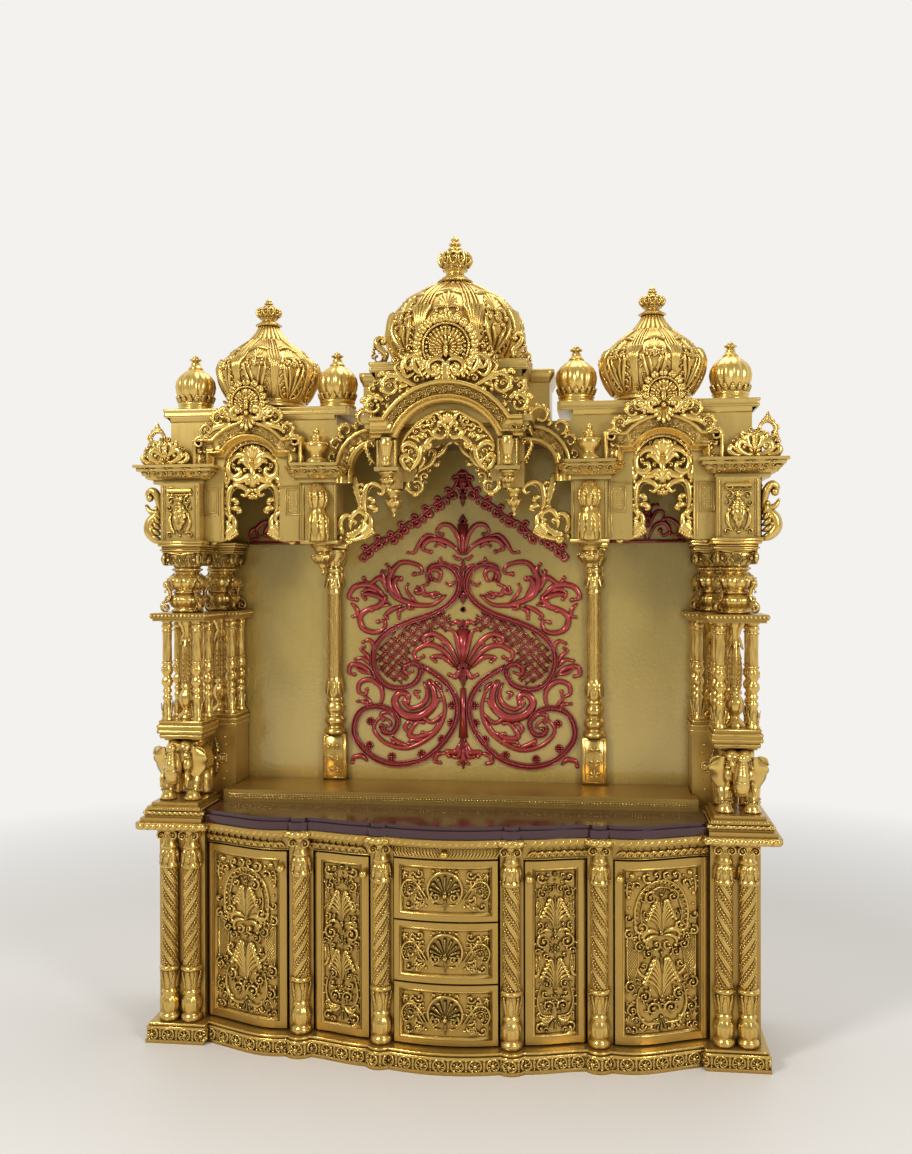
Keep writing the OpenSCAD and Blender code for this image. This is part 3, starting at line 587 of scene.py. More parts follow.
            self.put(np.concatenate([top, under], axis=2), True, share[None], "ab")
        else:
            self.put(top, False, share[None])

    def fan(self, centre: Sequence[float], reach: float, petals: int, spread: float, width: float, height: float,
            turn: float = 90.0, inner: float = 0.15) -> None:
        """Adds a palmette of club-shaped petals round a centre.

        Args:
            centre: Where the petals spring from.
            reach: Length of the middle petal.
            petals: Number of petals.
            spread: Angle between the outermost petals, in degrees.
            width: Width of a petal near its end.
            height: Height of a petal.
            turn: Direction of the middle petal, in degrees.
            inner: Share of the reach that stays free round the centre.
        """
        n = 9
        whole = abs(spread) >= 359
        steps = np.linspace(-0.5, 0.5, petals, endpoint=not whole) if petals > 1 else np.zeros(1)
        angles = np.radians(turn + spread * steps)
        long = reach * (np.ones(petals) if whole else 1 - 0.35 * np.abs(2 * steps) ** 1.5)
        t = np.linspace(inner, 1, n)
        ray = np.stack([np.cos(angles), np.sin(angles)], axis=-1)
        paths = np.array(centre) + ray[:, None] * (long[:, None] * t)[..., None]
        u = np.linspace(0, 1, n)
        shape = (0.3 + 0.7 * u**0.8) * np.sqrt(np.clip(1 - (np.clip(u - 0.82, 0, 1) / 0.19) ** 2, 0.02, 1))
        self.stroke(paths, shape * width, height * (0.35 + 0.65 * u) * np.clip(shape * 3, 0, 1), around=5)

    def rosette(self, centre: Sequence[float], reach: float, petals: int = 6, height: float = 3.0) -> None:
        """Adds a round flower with a bead in its middle."""
        self.fan(centre, reach, petals, 360, TAU * reach / petals * 0.78, height, inner=0.3)
        self.dots(centre, reach * 0.3, height / (reach * 0.3) * 1.15)

    def volute(self, centre: Sequence[float], reach: float, start: float, turns: float, width: float, height: float,
            beads: bool = False) -> Array:
        """Adds a spiral that winds in to a ball.

        Args:
            centre: Middle of the spiral.
            reach: Radius at its outer end.
            start: Direction of the outer end from the centre, in degrees.
            turns: Turns, positive to the left.
            width: Width at the outer end.
            height: Height of the band.
            beads: Whether the band is two fillets with beads between.

        Returns:
            The spiral's points, from outside in.
        """
        n = max(int(abs(turns) * 18), 10)
        t = np.linspace(0, 1, n)
        a = np.radians(start + 360 * turns * t)
        r = reach * (1 - 0.78 * t)
        path = np.array(centre) + np.stack([np.cos(a), np.sin(a)], axis=-1) * r[:, None]
        if beads:
            self.beaded_band(even_path(path, n), width, height)
        else:
            self.stroke(path, width * (1 - 0.55 * t), height)
        ball = max(width * 0.48, reach * 0.34)
        self.dots(path[-1] * 0.3 + np.array(centre) * 0.7, ball, 1.3 * height / ball)
        return path

    def spray(self, path: Array, leaflets: int, size: float, width: float, height: float, lean: float = 55,
            bend: float = 150, sides: Sequence[int] = (1, -1)) -> None:
        """Adds a stem with leaflets that leave it by turns and curl.

        Args:
            path: Middle line of the stem, from its foot.
            leaflets: Number of leaflets on each side.
            size: Length of the longest leaflet.
            width: Width of a leaflet.
            height: Height of the carving.
            lean: Angle between a leaflet and the stem, in degrees.
            bend: Turn of a leaflet, in degrees.
            sides: Sides with leaflets, 1 for left and -1 for right.
        """
        n = len(path)
        self.stroke(path, taper(n, 0.7, 0.3, 0.35) * width * 0.8, taper(n, 0.8, 0.4, 0.5) * height)
        for side in sides:
            for i in range(leaflets):
                t = (i + 0.6 + (0.25 if side < 0 else 0)) / (leaflets + 0.6)
                at, heading = heading_at(path, t)
                scale = 1 - 0.5 * t
                self.curl(at, heading + side * lean, size * scale, side * bend, width * scale,
                    height * (0.7 + 0.3 * scale))

    def fill(self, outline: Points, gap: float, reach: float, height: float) -> None:
        """Fills the free ground inside an outline with ball-ended volutes that spring from the nearest ornament.

        Args:
            outline: Corners of the area, right of the axis where the carving is mirrored later.
            gap: Free distance that is left as it is.
            reach: Largest radius of a volute.
            height: Height of the volutes.
        """
        poly = np.array(outline, float)
        rim = np.concatenate([np.linspace(a, b, 24) for a, b in zip(poly, np.roll(poly, -1, axis=0))])
        lo, hi = poly.min(0), poly.max(0)
        step = gap * 0.45
        spots = np.stack(np.meshgrid(np.arange(lo[0], hi[0], step), np.arange(lo[1], hi[1], step)),
            axis=-1).reshape(-1, 2)
        spots = spots[inside(poly, spots)]
        tree = KDTree(sum(grids[..., 0].size for grids, *_ in self.batches))
        for i, (x, y) in enumerate(np.concatenate([grids[..., :2].reshape(-1, 2) for grids, *_ in self.batches])):
            tree.insert((x, y, 0), i)
        tree.balance()
        found = [tree.find((x, y, 0)) for x, y in spots]
        root, away = np.array([f[0][:2] for f in found]), np.array([f[2] for f in found])
        room = np.min(np.linalg.norm(spots[:, None] - rim[None], axis=-1), axis=1)
        t = np.linspace(0, 1, 13)
        way, limit = 1, math.sqrt(self.bold)
        for _ in range(self.MOST_VOLUTES):
            k = int(np.argmax(np.minimum(away, room + gap * 0.3)))
            if min(away[k], room[k] + gap * 0.3) < gap:
                break
            r = min(away[k] * 0.94, reach, room[k] + gap * 0.3)
            toward = (spots[k] - root[k]) / away[k]
            eye = root[k] + toward * r
            a = math.atan2(-toward[1], -toward[0]) + way * math.radians(290) * t
            path = eye + (r * (1 - 0.66 * t))[:, None] * np.stack([np.cos(a), np.sin(a)], axis=-1)
            self.stroke(path, 0.56 * r / limit * (1 - 0.35 * t), height * (0.75 + 0.25 * t), around=5)
            ball = 0.42 * r
            self.dots([eye + (path[-1] - eye) * 0.3], ball, 1.2 * height / ball, around=7)
            new = np.linalg.norm(spots[:, None] - path[None], axis=-1) - 0.28 * r
            closer = new.min(1) < away
            root[closer], away[closer] = path[new.argmin(1)[closer]], new.min(1)[closer]
            away = np.where(np.linalg.norm(spots - eye, axis=-1) < r, 0, away)
            way = -way

    def mirror(self) -> "Carving":
        """Adds the mirror image left of the axis and returns the carving.

        Returns:
            This carving.
        """
        for grids, ring, share, caps in list(self.batches):
            flipped = (grids * np.array([-1.0, 1.0, 1.0]))[:, :, ::-1]
            self.batches.append((flipped, ring, share[:, :, ::-1], caps))
        return self

    def copy(self, move: Sequence[float] = (0, 0), scale: float = 1.0, tall: float = 1.0) -> "Carving":
        """Returns a scaled and moved copy.

        Args:
            move: How far right and up.
            scale: Scale along the ground.
            tall: Scale of the height.
        """
        size, way = np.array([scale, scale, tall]), np.array([*move, 0.0])
        return Carving(self.pierced, self.bold, [(grids * size + way, *rest) for grids, *rest in self.batches])

    def take(self, other: "Carving") -> None:
        """Adds another carving to this one."""
        self.batches += other.batches

    def lay(self, sheets: Sheets, surface: Surface) -> None:
        """Lays the carving on a surface and adds it to sheets."""
        for grids, ring, share, caps in self.batches:
            sheets.add(surface.at(grids), ring, share, caps)


# ---------------------------------------------------------------- finishes


class Maths(Enum):
    """Operations of a Math node that the finishes use."""

    ADD = "ADD"
    SUBTRACT = "SUBTRACT"
    MULTIPLY = "MULTIPLY"
    POWER = "POWER"


class Value:
    """A number that varies over a surface, written like a number."""

    def __init__(self, shader: "Shader", socket: bpy.types.NodeSocket) -> None:
        """Wraps a socket of a shader's tree."""
        self.shader, self.socket = shader, socket

    def _with(self, kind: Maths, a: "Value | float", b: "Value | float", clamp: bool = False) -> "Value":
        """Returns the value of one Math node."""
        node = self.shader.node("ShaderNodeMath", {"operation": kind.value, "use_clamp": clamp}, {0: a, 1: b})
        return Value(self.shader, node.outputs[0])

    def __add__(self, other: "Value | float") -> "Value":
        """Returns the sum."""
        return self._with(Maths.ADD, self, other)

    __radd__ = __add__

    def __mul__(self, other: "Value | float") -> "Value":
        """Returns the product."""
        return self._with(Maths.MULTIPLY, self, other)

    __rmul__ = __mul__

    def __sub__(self, other: "Value | float") -> "Value":
        """Returns the difference."""
        return self._with(Maths.SUBTRACT, self, other)

    def __rsub__(self, other: "Value | float") -> "Value":
        """Returns the difference with this value taken away."""
        return self._with(Maths.SUBTRACT, other, self)

    def __pow__(self, other: float) -> "Value":
        """Returns the power."""
        return self._with(Maths.POWER, self, other)

    def clipped(self) -> "Value":
        """Returns the value held between 0 and 1."""
        return self._with(Maths.ADD, self, 0.0, clamp=True)


Colour = tuple[float, float, float]


class Shader:
    """The node tree of one material."""

    def __init__(self, name: str) -> None:
        """Starts an empty material with its output node.

        Args:
            name: Name of the material.
        """
        self.material = bpy.data.materials.new(name)
        self.material.use_nodes = True
        self.tree = self.material.node_tree
        self.tree.nodes.clear()
        self.output = self.node("ShaderNodeOutputMaterial")

    def node(self, kind: str, settings: dict[str, object] | None = None,
            inputs: dict[str | int, object] | None = None) -> bpy.types.Node:
        """Adds a node.

        Args:
            kind: Blender's name for the type of node.
            settings: Its settings; "stops" gives a ramp's positions and greys.
            inputs: Values or links of its sockets, by name or number.

        Returns:
            The node.
        """
        node = self.tree.nodes.new(kind)
        for key, value in (settings or {}).items():
            if key == "stops":
                elements = node.color_ramp.elements
                while len(elements) < len(value):
                    elements.new(0.5)
                for element, (at, grey) in zip(elements, value):
                    element.position, element.color = at, (grey, grey, grey, 1)
            else:
                setattr(node, key, value)
        for key, value in (inputs or {}).items():
            if isinstance(value, Value):
                self.tree.links.new(value.socket, node.inputs[key])
            elif isinstance(value, bpy.types.NodeSocket):
                self.tree.links.new(value, node.inputs[key])
            elif isinstance(value, tuple) and len(value) == 3 and node.inputs[key].type == "RGBA":
                node.inputs[key].default_value = (*value, 1)
            else:
                node.inputs[key].default_value = value
        return node

    def noise(self, scale: float, detail: float = 3.0, rough: float = 0.5, stretch: Colour = (1, 1, 1)) -> Value:
        """Returns cloudy noise; scale is in features a metre and stretch is for each axis.

        Args:
            scale: Features a metre.
            detail: Layers of finer noise.
            rough: Strength of each finer layer.
            stretch: Scale along each axis.

        Returns:
            The noise, from 0 to 1.
        """
        place = self.node("ShaderNodeTexCoord").outputs["Object"]
        if stretch != (1, 1, 1):
            place = self.node("ShaderNodeMapping", {}, {"Vector": place, "Scale": stretch}).outputs[0]
        made = self.node("ShaderNodeTexNoise", {}, {"Vector": place, "Scale": scale, "Detail": detail,
            "Roughness": rough})
        return Value(self, made.outputs["Fac"])

    def ramp(self, value: Value, stops: Sequence[tuple[float, float]]) -> Value:
        """Returns the value passed through a ramp of positions and greys."""
        return Value(self, self.node("ShaderNodeValToRGB", {"stops": stops}, {"Fac": value}).outputs[0])

    def blend(self, share: Value, low: object, high: object) -> bpy.types.NodeSocket:
        """Returns a colour between two colours."""
        made = self.node("ShaderNodeMix", {"data_type": "RGBA"}, {0: share, 6: low, 7: high})
        return made.outputs[2]

    def relief(self) -> Value:
        """Returns the height share that each point of a carving carries, the mask of painted shade on low relief."""
        return Value(self, self.node("ShaderNodeAttribute", {"attribute_name": "relief"}).outputs["Fac"])

    def shelter(self, reach: float) -> Value:
        """Returns ambient occlusion, from 0 in a tight corner to 1 in the open, which masks the painted shade; reach
        is in metres.
        """
        made = self.node("ShaderNodeAmbientOcclusion", {"samples": 5}, {"Distance": reach})
        return Value(self, made.outputs["AO"])


@dataclass(frozen=True)
class Lacquer:
    """Lacquer over carved or plain wood, with painted shade that darkens its corners and recesses by ambient
    occlusion and, on carving, its low relief.
    """

    name: str
    slot: str
    colour: Colour
    shade_colour: Colour
    bright: Colour
    metallic: float
    roughness: float
    coat: float = 0.0
    wear: float = 0.35
    shade_power: float = 1.1
    reach: float = 0.012
    grain: float = 0.12
    grain_scale: float = 260.0
    peel: float = 0.0
    carved: bool = False

    def material(self) -> bpy.types.Material:
        """Returns the material, which is made once.

        Returns:
            The material.
        """
        name = "lacquer_" + self.name
        if name in bpy.data.materials:
            return bpy.data.materials[name]
        s = Shader(name)
        cloud = s.noise(5.0, 4.0)
        brush = s.noise(60.0, 5.0, 0.6, (1, 1, 0.35))
        fine = s.noise(self.grain_scale, 2.0)
        # Painted shade: an ambient-occlusion mask, raised to shade_power, darkens corners and recesses.
        unshaded = s.shelter(self.reach) ** self.shade_power
        # On carving, the points low in the relief are darkened as painted shade as well.
        if self.carved:
            unshaded = unshaded * s.ramp(s.relief(), [(0.0, 0.35), (0.5, 1.0)])
        tone = s.ramp(cloud * 0.6 + brush * 0.4, [(0.35, 0.0), (0.65, 1.0)])
        body = s.blend(tone * self.wear, self.colour, self.bright)
        # The colour turns from the body to shade_colour where the painted-shade mask is low.
        colour = s.blend(s.ramp(unshaded, [(0.06, 0.0), (0.82, 1.0)]), self.shade_colour, body)
        rough = self.roughness + 0.12 * brush + 0.14 * (1 - unshaded) - 0.05
        height = fine * 0.5 + brush * 0.5
        if self.peel:
            height = height * 0.3 + s.noise(95.0, 1.0) * self.peel
        bump = s.node("ShaderNodeBump", {}, {"Strength": self.grain, "Distance": 0.001, "Height": height})
        inputs = {
            "Base Color": colour,
            "Metallic": self.metallic,
            "Roughness": rough.clipped(),
            "Normal": bump.outputs[0],
            "Coat Weight": self.coat,
            "Coat Roughness": 0.08,
        }
        surface = s.node("ShaderNodeBsdfPrincipled", {}, inputs)
        s.tree.links.new(surface.outputs[0], s.output.inputs["Surface"])
        return s.material


SATIN = Lacquer("satin_gold", "satin_gold", (0.46, 0.285, 0.066), (0.13, 0.060, 0.008), (0.60, 0.41, 0.115), 0.78,
    0.30, shade_power=0.9)
CARVED = Lacquer("carved_gold", "carved_gold", (0.80, 0.535, 0.135), (0.16, 0.062, 0.006), (0.98, 0.74, 0.27), 0.84,
    0.22, shade_power=1.2, reach=0.016, carved=True)
SATIN_CARVED = Lacquer("satin_carved_gold", "satin_gold", (0.72, 0.475, 0.115), (0.13, 0.052, 0.006),
    (0.92, 0.68, 0.23), 0.82, 0.23, shade_power=1.7, reach=0.020, carved=True)
TURNED = Lacquer("turned_gold", "carved_gold", (0.68, 0.445, 0.11), (0.15, 0.058, 0.006), (0.94, 0.70, 0.25), 0.84,
    0.22, shade_power=1.3, reach=0.016, carved=True)
DOME_GOLD = Lacquer("dome_gold", "carved_gold", (0.76, 0.51, 0.13), (0.17, 0.066, 0.007), (0.94, 0.70, 0.25), 0.84,
    0.24, shade_power=1.5, reach=0.018, carved=True)
PALE = Lacquer("pale_gold", "pale_gold", (0.60, 0.415, 0.115), (0.16, 0.076, 0.010), (0.72, 0.53, 0.18), 0.70, 0.28,
    shade_power=1.1, reach=0.02)
GLOSS = Lacquer("gloss_gold", "gloss_gold", (0.50, 0.355, 0.090), (0.17, 0.10, 0.018), (0.58, 0.44, 0.135), 0.45,
    0.22, coat=0.8, peel=1.6, grain=0.35, wear=0.5, reach=0.03)
MAROON = Lacquer("maroon_top", "maroon_top", (0.040, 0.007, 0.011), (0.008, 0.002, 0.003), (0.075, 0.014, 0.018),
    0.0, 0.14, coat=0.4, grain=0.05)
RED = Lacquer("red_carving", "red_carving", (0.36, 0.028, 0.026), (0.050, 0.004, 0.004), (0.56, 0.09, 0.065), 0.45,
    0.25, coat=0.6, shade_power=1.3, reach=0.014, carved=True)
BROWN = Lacquer("brown_wood", "brown_wood", (0.11, 0.050, 0.020), (0.03, 0.012, 0.005), (0.17, 0.085, 0.038), 0.0,
    0.5)


# ---------------------------------------------------------------- plan of the mandir


@dataclass(frozen=True)
class Plan:
    """Sizes and places that the frame fixes, in millimetres."""

    inner_x: float = 174.0
    outer_x: float = 404.0
    inner_y: float = -176.0
    outer_y: float = -136.0
    pier_in_x: float = 697.0
    pier_out_x: float = 828.0
    pier_col_x: float = 762.5
    pier_col_set: float = 31.0
    pier_col_y: float = -90.0
    front_x: float = 768.0
    front_y: float = -12.0
    rear_x: float = 727.0
    rear_y: float = 164.0
    roof_z: float = 1774.0

    def face(self, x: Array) -> Array:
        """Returns the Y of the cabinet's face line at X, on either side.

        Args:
            x: One X or several.

        Returns:
            The Y of each.
        """
        x = np.minimum(np.abs(x), self.pier_in_x)
        drawer = -198 + 30 * (x / self.inner_x) ** 2
        t = (x - self.inner_x) / (self.outer_x - self.inner_x)
        narrow = -168 + 44 * t - 5 * np.sin(TAU * t) - 3 * np.sin(math.pi * t)
        u = (x - self.outer_x) / (self.pier_in_x - self.outer_x)
        wide = -124 + 66 * u - 8 * np.sin(TAU * u) - 28 * np.sin(math.pi * u)
        return np.where(x < self.inner_x, drawer, np.where(x < self.outer_x, narrow, wide))


PLAN = Plan()


@dataclass
class Course(Surface):
    """An upright surface along a line in plan; right is the distance along it."""

    line: Points
    z: float = 0.0
    step: float = 3.0

    def __post_init__(self) -> None:
        """Spaces the line evenly and finds which way each point faces."""
        self.length = length_of(self.line)
        self.plan = even_path(self.line, max(int(self.length / self.step), 2) + 1)
        self.out = directions(self.plan)[1]
        self.run = np.linspace(0, self.length, len(self.plan))

    def at(self, p: Array) -> Array:
        """Returns the place of carving coordinates.

        Args:
            p: Carving coordinates, shaped (..., 3).

        Returns:
            The places.
        """
        s = p[..., 0]
        x = np.interp(s, self.run, self.plan[:, 0])
        y = np.interp(s, self.run, self.plan[:, 1])
        nx, ny = np.interp(s, self.run, self.out[:, 0]), np.interp(s, self.run, self.out[:, 1])
        return np.stack([x + nx * p[..., 2], y + ny * p[..., 2], p[..., 1] + self.z], axis=-1)


@dataclass
class Slanted(Course):
    """A surface along a line in plan that leans outwards above a level."""

    lean: float = 0.0
    knee: float = 0.0

    def at(self, p: Array) -> Array:
        """Returns the place of carving coordinates."""
        out = p[..., 2] + (p[..., 1] - self.knee) * self.lean
        return super().at(np.stack([p[..., 0], p[..., 1], out], axis=-1))


# ---------------------------------------------------------------- shared makers


def dress(finish: Lacquer, *nodes: str) -> None:
    """Gives frame nodes their finish.

    Args:
        finish: The finish.
        nodes: Names of the nodes.
    """
    for node in nodes:
        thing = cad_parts[node]
        thing.data.materials.clear()
        thing.data.materials.append(finish.material())


def place(name: str, sheets: Sheets, finish: Lacquer, *stands_for: str, body: str = "mandir") -> None:
    """Makes a piece of sheets and lets it ride on a body.

    Args:
        name: Name of the piece.
        sheets: Its geometry.
        finish: Its finish.
        stands_for: Frame nodes that it replaces.
        body: The frame's body that it moves with.
    """
    thing = bpy.data.objects.new(name, sheets.mesh(name))
    bpy.context.collection.objects.link(thing)
    thing.data.materials.append(finish.material())
    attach(thing, body)
    if stands_for:
        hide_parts(*stands_for)
    log.info("%s: %d faces", name, len(thing.data.polygons))


def turned(profile: Points, x: float, y: float, z: float = 0.0, around: int = 40, shape: Press | None = None,
        fine: float = 0.0) -> Array:
    """Turns a profile round an upright axis.

    Args:
        profile: Pairs of radius and height from the bottom up.
        x: Place of the axis.
        y: Place of the axis.
        z: Height of the profile's zero.
        around: Points round the axis.
        shape: Changes a radius, given angles, heights and radii.
        fine: Largest step along the profile, or 0 to keep its own points.

    Returns:
        The grid of points, for a ring.
    """
    p = np.array(profile, float)
    if fine:
        rows = [p[:1]]
        for a, b in zip(p[:-1], p[1:]):
            n = max(int(np.linalg.norm(b - a) / fine), 1)
            rows.append(a + (b - a) * np.linspace(0, 1, n + 1)[1:, None])
        p = np.concatenate(rows)
    a = np.linspace(0, TAU, around, endpoint=False)[None]
    r, h = p[:, :1] + 0 * a, p[:, 1:] + 0 * a
    if shape:
        r = shape(a + 0 * r, h, r)
    return np.stack([x + r * np.sin(a), y - r * np.cos(a), z + h], axis=-1)[:, ::-1]


def lathe(s: Sheets, profile: Points, x: float, y: float, z: float = 0.0, around: int = 40,
        shape: Press | None = None, fine: float = 0.0, caps: str = "", back: float = math.inf) -> None:
    """Adds a turned part.

    Args:
        s: The sheets that it joins.
        profile: Pairs of radius and height from the bottom up.
        x: Place of the axis.
        y: Place of the axis.
        z: Height of the profile's zero.
        around: Points round the axis.
        shape: Changes a radius, given angles, heights and radii.
        fine: Largest step along the profile, or 0 to keep its own points.
        caps: "a" closes the first row and "b" the last row with one face.
        back: Y of the wall that cuts the part off.
    """
    grid = turned(profile, x, y, z, around, shape, fine)
    grid[..., 1] = np.minimum(grid[..., 1], back)
    s.add(grid, ring=True, caps=caps)


def drum(x: float, y: float, radii: Sequence[float], heights: Sequence[float] = (0,), turn: float = 0.0) -> Round:
    """Gives a turned surface by its radii.

    Args:
        x: Place of the axis.
        y: Place of the axis.
        radii: Radii at the heights.
        heights: Heights, or one where the radius is the same all the way.
        turn: Direction that its middle line faces, in degrees.

    Returns:
        The surface.
    """
    return Round(x, y, lambda z: np.interp(z, heights, radii), turn=turn)


def swept(course: Course, profile: Points, shape: Press | None = None) -> Array:
    """Sweeps a moulding's profile of (out, up) pairs along a course.

    Args:
        course: Where the moulding runs.
        profile: Pairs of out and up, from the bottom.
        shape: Changes the out values, given runs, profile shares and outs.

    Returns:
        The grid of points.
    """
    p = np.array(profile, float)
    run, share = np.meshgrid(course.run, np.linspace(0, 1, len(p)))
    out = np.broadcast_to(p[:, :1], run.shape)
    if shape:
        out = shape(run, share, out)
    return course.at(np.stack([run, np.broadcast_to(p[:, 1:], run.shape), out], axis=-1))[:, ::-1]


# ---------------------------------------------------------------- bands and scrolls


@dataclass
class Ribbon(Surface):
    """An upright face along a line of (x, z) points; right is the distance along it, up is to its left."""

    line: Array
    y: float

    def __post_init__(self) -> None:
        """Spaces the line and finds its directions."""
        self.length = length_of(self.line)
        self.track = even_path(self.line, max(int(self.length / 2.5), 3))
        self.side = -directions(self.track)[1]
        self.run = np.linspace(0, self.length, len(self.track))

    def at(self, p: Array) -> Array:
        """Returns the place of carving coordinates.

        Args:
            p: Carving coordinates, shaped (..., 3).

        Returns:
            The places.
        """
        x, z = (np.interp(p[..., 0], self.run, self.track[:, i]) for i in (0, 1))
        nx, nz = (np.interp(p[..., 0], self.run, self.side[:, i]) for i in (0, 1))
        return np.stack([x + nx * p[..., 1], self.y - p[..., 2], z + nz * p[..., 1]], axis=-1)


def arc(x: float, z: float, radius: float, start: float, end: float, n: int = 60) -> Array:
    """Returns an arc of (x, z) points; angles are degrees clockwise from the top."""
    a = np.radians(np.linspace(start, end, n))
    return np.stack([x + radius * np.sin(a), z + radius * np.cos(a)], axis=-1)


def limb(c: Carving, knots: Points, width: float, height: float = 7.0, ball: float = 0.55) -> None:
    """Adds a scroll through knots that ends in a ball.

    Args:
        c: The carving that it joins.
        knots: Points of its middle line.
        width: Widest width.
        height: Height of its middle.
        ball: Radius of the ball as a share of the width, or 0.
    """
    n = 5 * len(knots) + 4
    path = smooth_path(knots, n)
    c.stroke(path, taper(n, 0.4, 0.45, 0.45) * width, taper(n, 0.7, 0.5, 0.7) * height)
    if ball:
        c.dots(path[-1], width * ball, height / (width * ball))


def limbs(c: Carving, rows: Sequence[Sequence[float]], height: float = 7.0) -> None:
    """Adds scrolls that end in a ball.

    Args:
        c: The carving that they join.
        rows: For each scroll its width, and then right and up of each knot in turn.
        height: Height of their middles.
    """
    for width, *knots in rows:
        limb(c, np.reshape(knots, (-1, 2)), width, height)


def beads_along(c: Carving, knots: Points, radius: float, height: float) -> None:
    """Adds a string of small beads on top of a scroll."""
    c.string(smooth_path(knots, 40), radius, 2.4, 1.0, height)


def running_scroll(c: Carving, length: float, cell: float, width: float, height: float = 4.0,
        middle: float = 0.0) -> None:
    """Adds a running band of volutes, leaves and flowers.

    Args:
        c: The carving that it joins.
        length: Length of the band.
        cell: Rough length of one volute.
        width: Width of the band.
        height: Height of the carving.
        middle: Up coordinate of its middle line.
    """
    n = max(int(round(length / cell)), 1)
    step = length / n
    s = np.linspace(0, length, n * 8 + 1)
    c.stroke(np.stack([s, middle + 0.2 * width * np.cos(math.pi * s / step)], axis=-1), width * 0.11, height * 0.8,
        around=5)
    for i in range(n):
        up = 1 if i % 2 else -1
        x = (i + 0.5) * step
        core = (x, middle - up * 0.02 * width)
        c.volute(core, width * 0.36, 90 * up + 140, -up * 1.15, width * 0.17, height)
        c.rosette(core, width * 0.17, 5, height * 1.05)
        for lean, size in ((60, 0.5), (118, 0.42)):
            c.curl((x - step * 0.32, middle + up * 0.12 * width), up * lean, width * size, -up * 150, width * 0.17,
                height, n=8)
            c.curl((x + step * 0.2, middle - up * 0.2 * width), -up * (lean - 30), width * size, up * 150,
                width * 0.16, height, n=8)


def eared_arch(x: float, z: float, radius: float, ear: float, ear_z: float, foot_z: float, profile: Points,
        y: float) -> Array:
    """Sweeps mouldings up a jamb, out round a shoulder and over an arch.

    Args:
        x: Middle of the arch.
        z: Height of its centre.
        radius: Outer radius of the mouldings.
        ear: Half width at the shoulders.
        ear_z: Height of the shoulders.
        foot_z: Height where the mouldings start.
        profile: Pairs of inset from the outer edge and stand-off, from outside in.
        y: Face that the mouldings stand on.

    Returns:
        The grid of points, one row for each pair.
    """
    rows = []
    for inset, out in profile:
        r, top, half = radius - inset, ear_z - inset, ear - inset
        a = math.acos(np.clip((top - z) / r, -1, 1))
        turn = np.linspace(0, a, 26)
        right = [(r * math.sin(t), z + r * math.cos(t)) for t in turn]
        right += [(right[-1][0] + 0.3, top), (half - 0.3, top), (half, top), (half, top - 0.3), (half, foot_z)]
        both = [(-px, pz) for px, pz in right[::-1]] + right[1:]
        rows.append([(x + px, y - out, pz) for px, pz in both])
    return np.array(rows)


def c_scroll(c: Carving, centre: Sequence[float], reach: float, start: float, turns: float, height: float = 8.0,
        leaves: int = 3) -> None:
    """Adds a bead-lined scroll round a ball with leaflets on its back.

    Args:
        c: The carving that it joins.
        centre: Middle of the scroll.
        reach: Radius at its outer end.
        start: Direction of the outer end, in degrees.
        turns: Turns, positive to the left.
        height: Height of the band.
        leaves: Leaflets on its back.
    """
    way = 1 if turns > 0 else -1
    n = 30
    t = np.linspace(0, 1, n)
    a = np.radians(start + 360 * turns * t)
    r = reach * (1 - 0.62 * t**1.3)
    path = np.array(centre) + np.stack([np.cos(a), np.sin(a)], axis=-1) * r[:, None]
    c.stroke(path, reach * 0.3 * (1 - 0.35 * t), height * (0.8 + 0.2 * t))
    inner = np.array(centre) + (path - np.array(centre)) * 0.80
    c.string(inner[:22], reach * 0.085, 2.5, 1.2, height * 0.35)
    c.dots(path[-1], reach * 0.24, 1.2 * height / (reach * 0.24))
    for i in range(leaves):
        at, heading = heading_at(path, 0.08 + 0.5 * i / max(leaves, 1))
        c.curl(at, heading - way * 42, reach * 0.62, way * 130, reach * 0.26, height, n=9)


def back_scrolls(c: Carving, rows: Points, back: float, reach: float, root: float, spread: float,
        drop: float = 0.0) -> None:
    """Adds scrolls along the back of an arch, each between two leaflets.

    Args:
        c: The carving that they join.
        rows: For each scroll, its angle from the top in degrees, its size and its way round, 1 or -1.
        back: Radius of the arch's back.
        reach: Share of its size that a scroll's middle stands off the back.
        root: Radius that the leaflets start from.
        spread: Angle from a scroll to its leaflets, in radians.
        drop: Height of the carving's origin above the arch's centre.
    """
    for angle, size, way in rows:
        t = math.radians(angle)
        r = back + size * reach
        start = 200 - angle if way > 0 else 330 - angle
        c_scroll(c, (r * math.sin(t), r * math.cos(t) - drop), size, start, -0.85 * way, 9, 4)
        for k in (-1, 1):
            u = t + k * spread
            c.curl((root * math.sin(u), root * math.cos(u) - drop), 90 - angle - 60 * k, size * 0.8, 150 * k,
                size * 0.3, 8)


# ---------------------------------------------------------------- cabinet


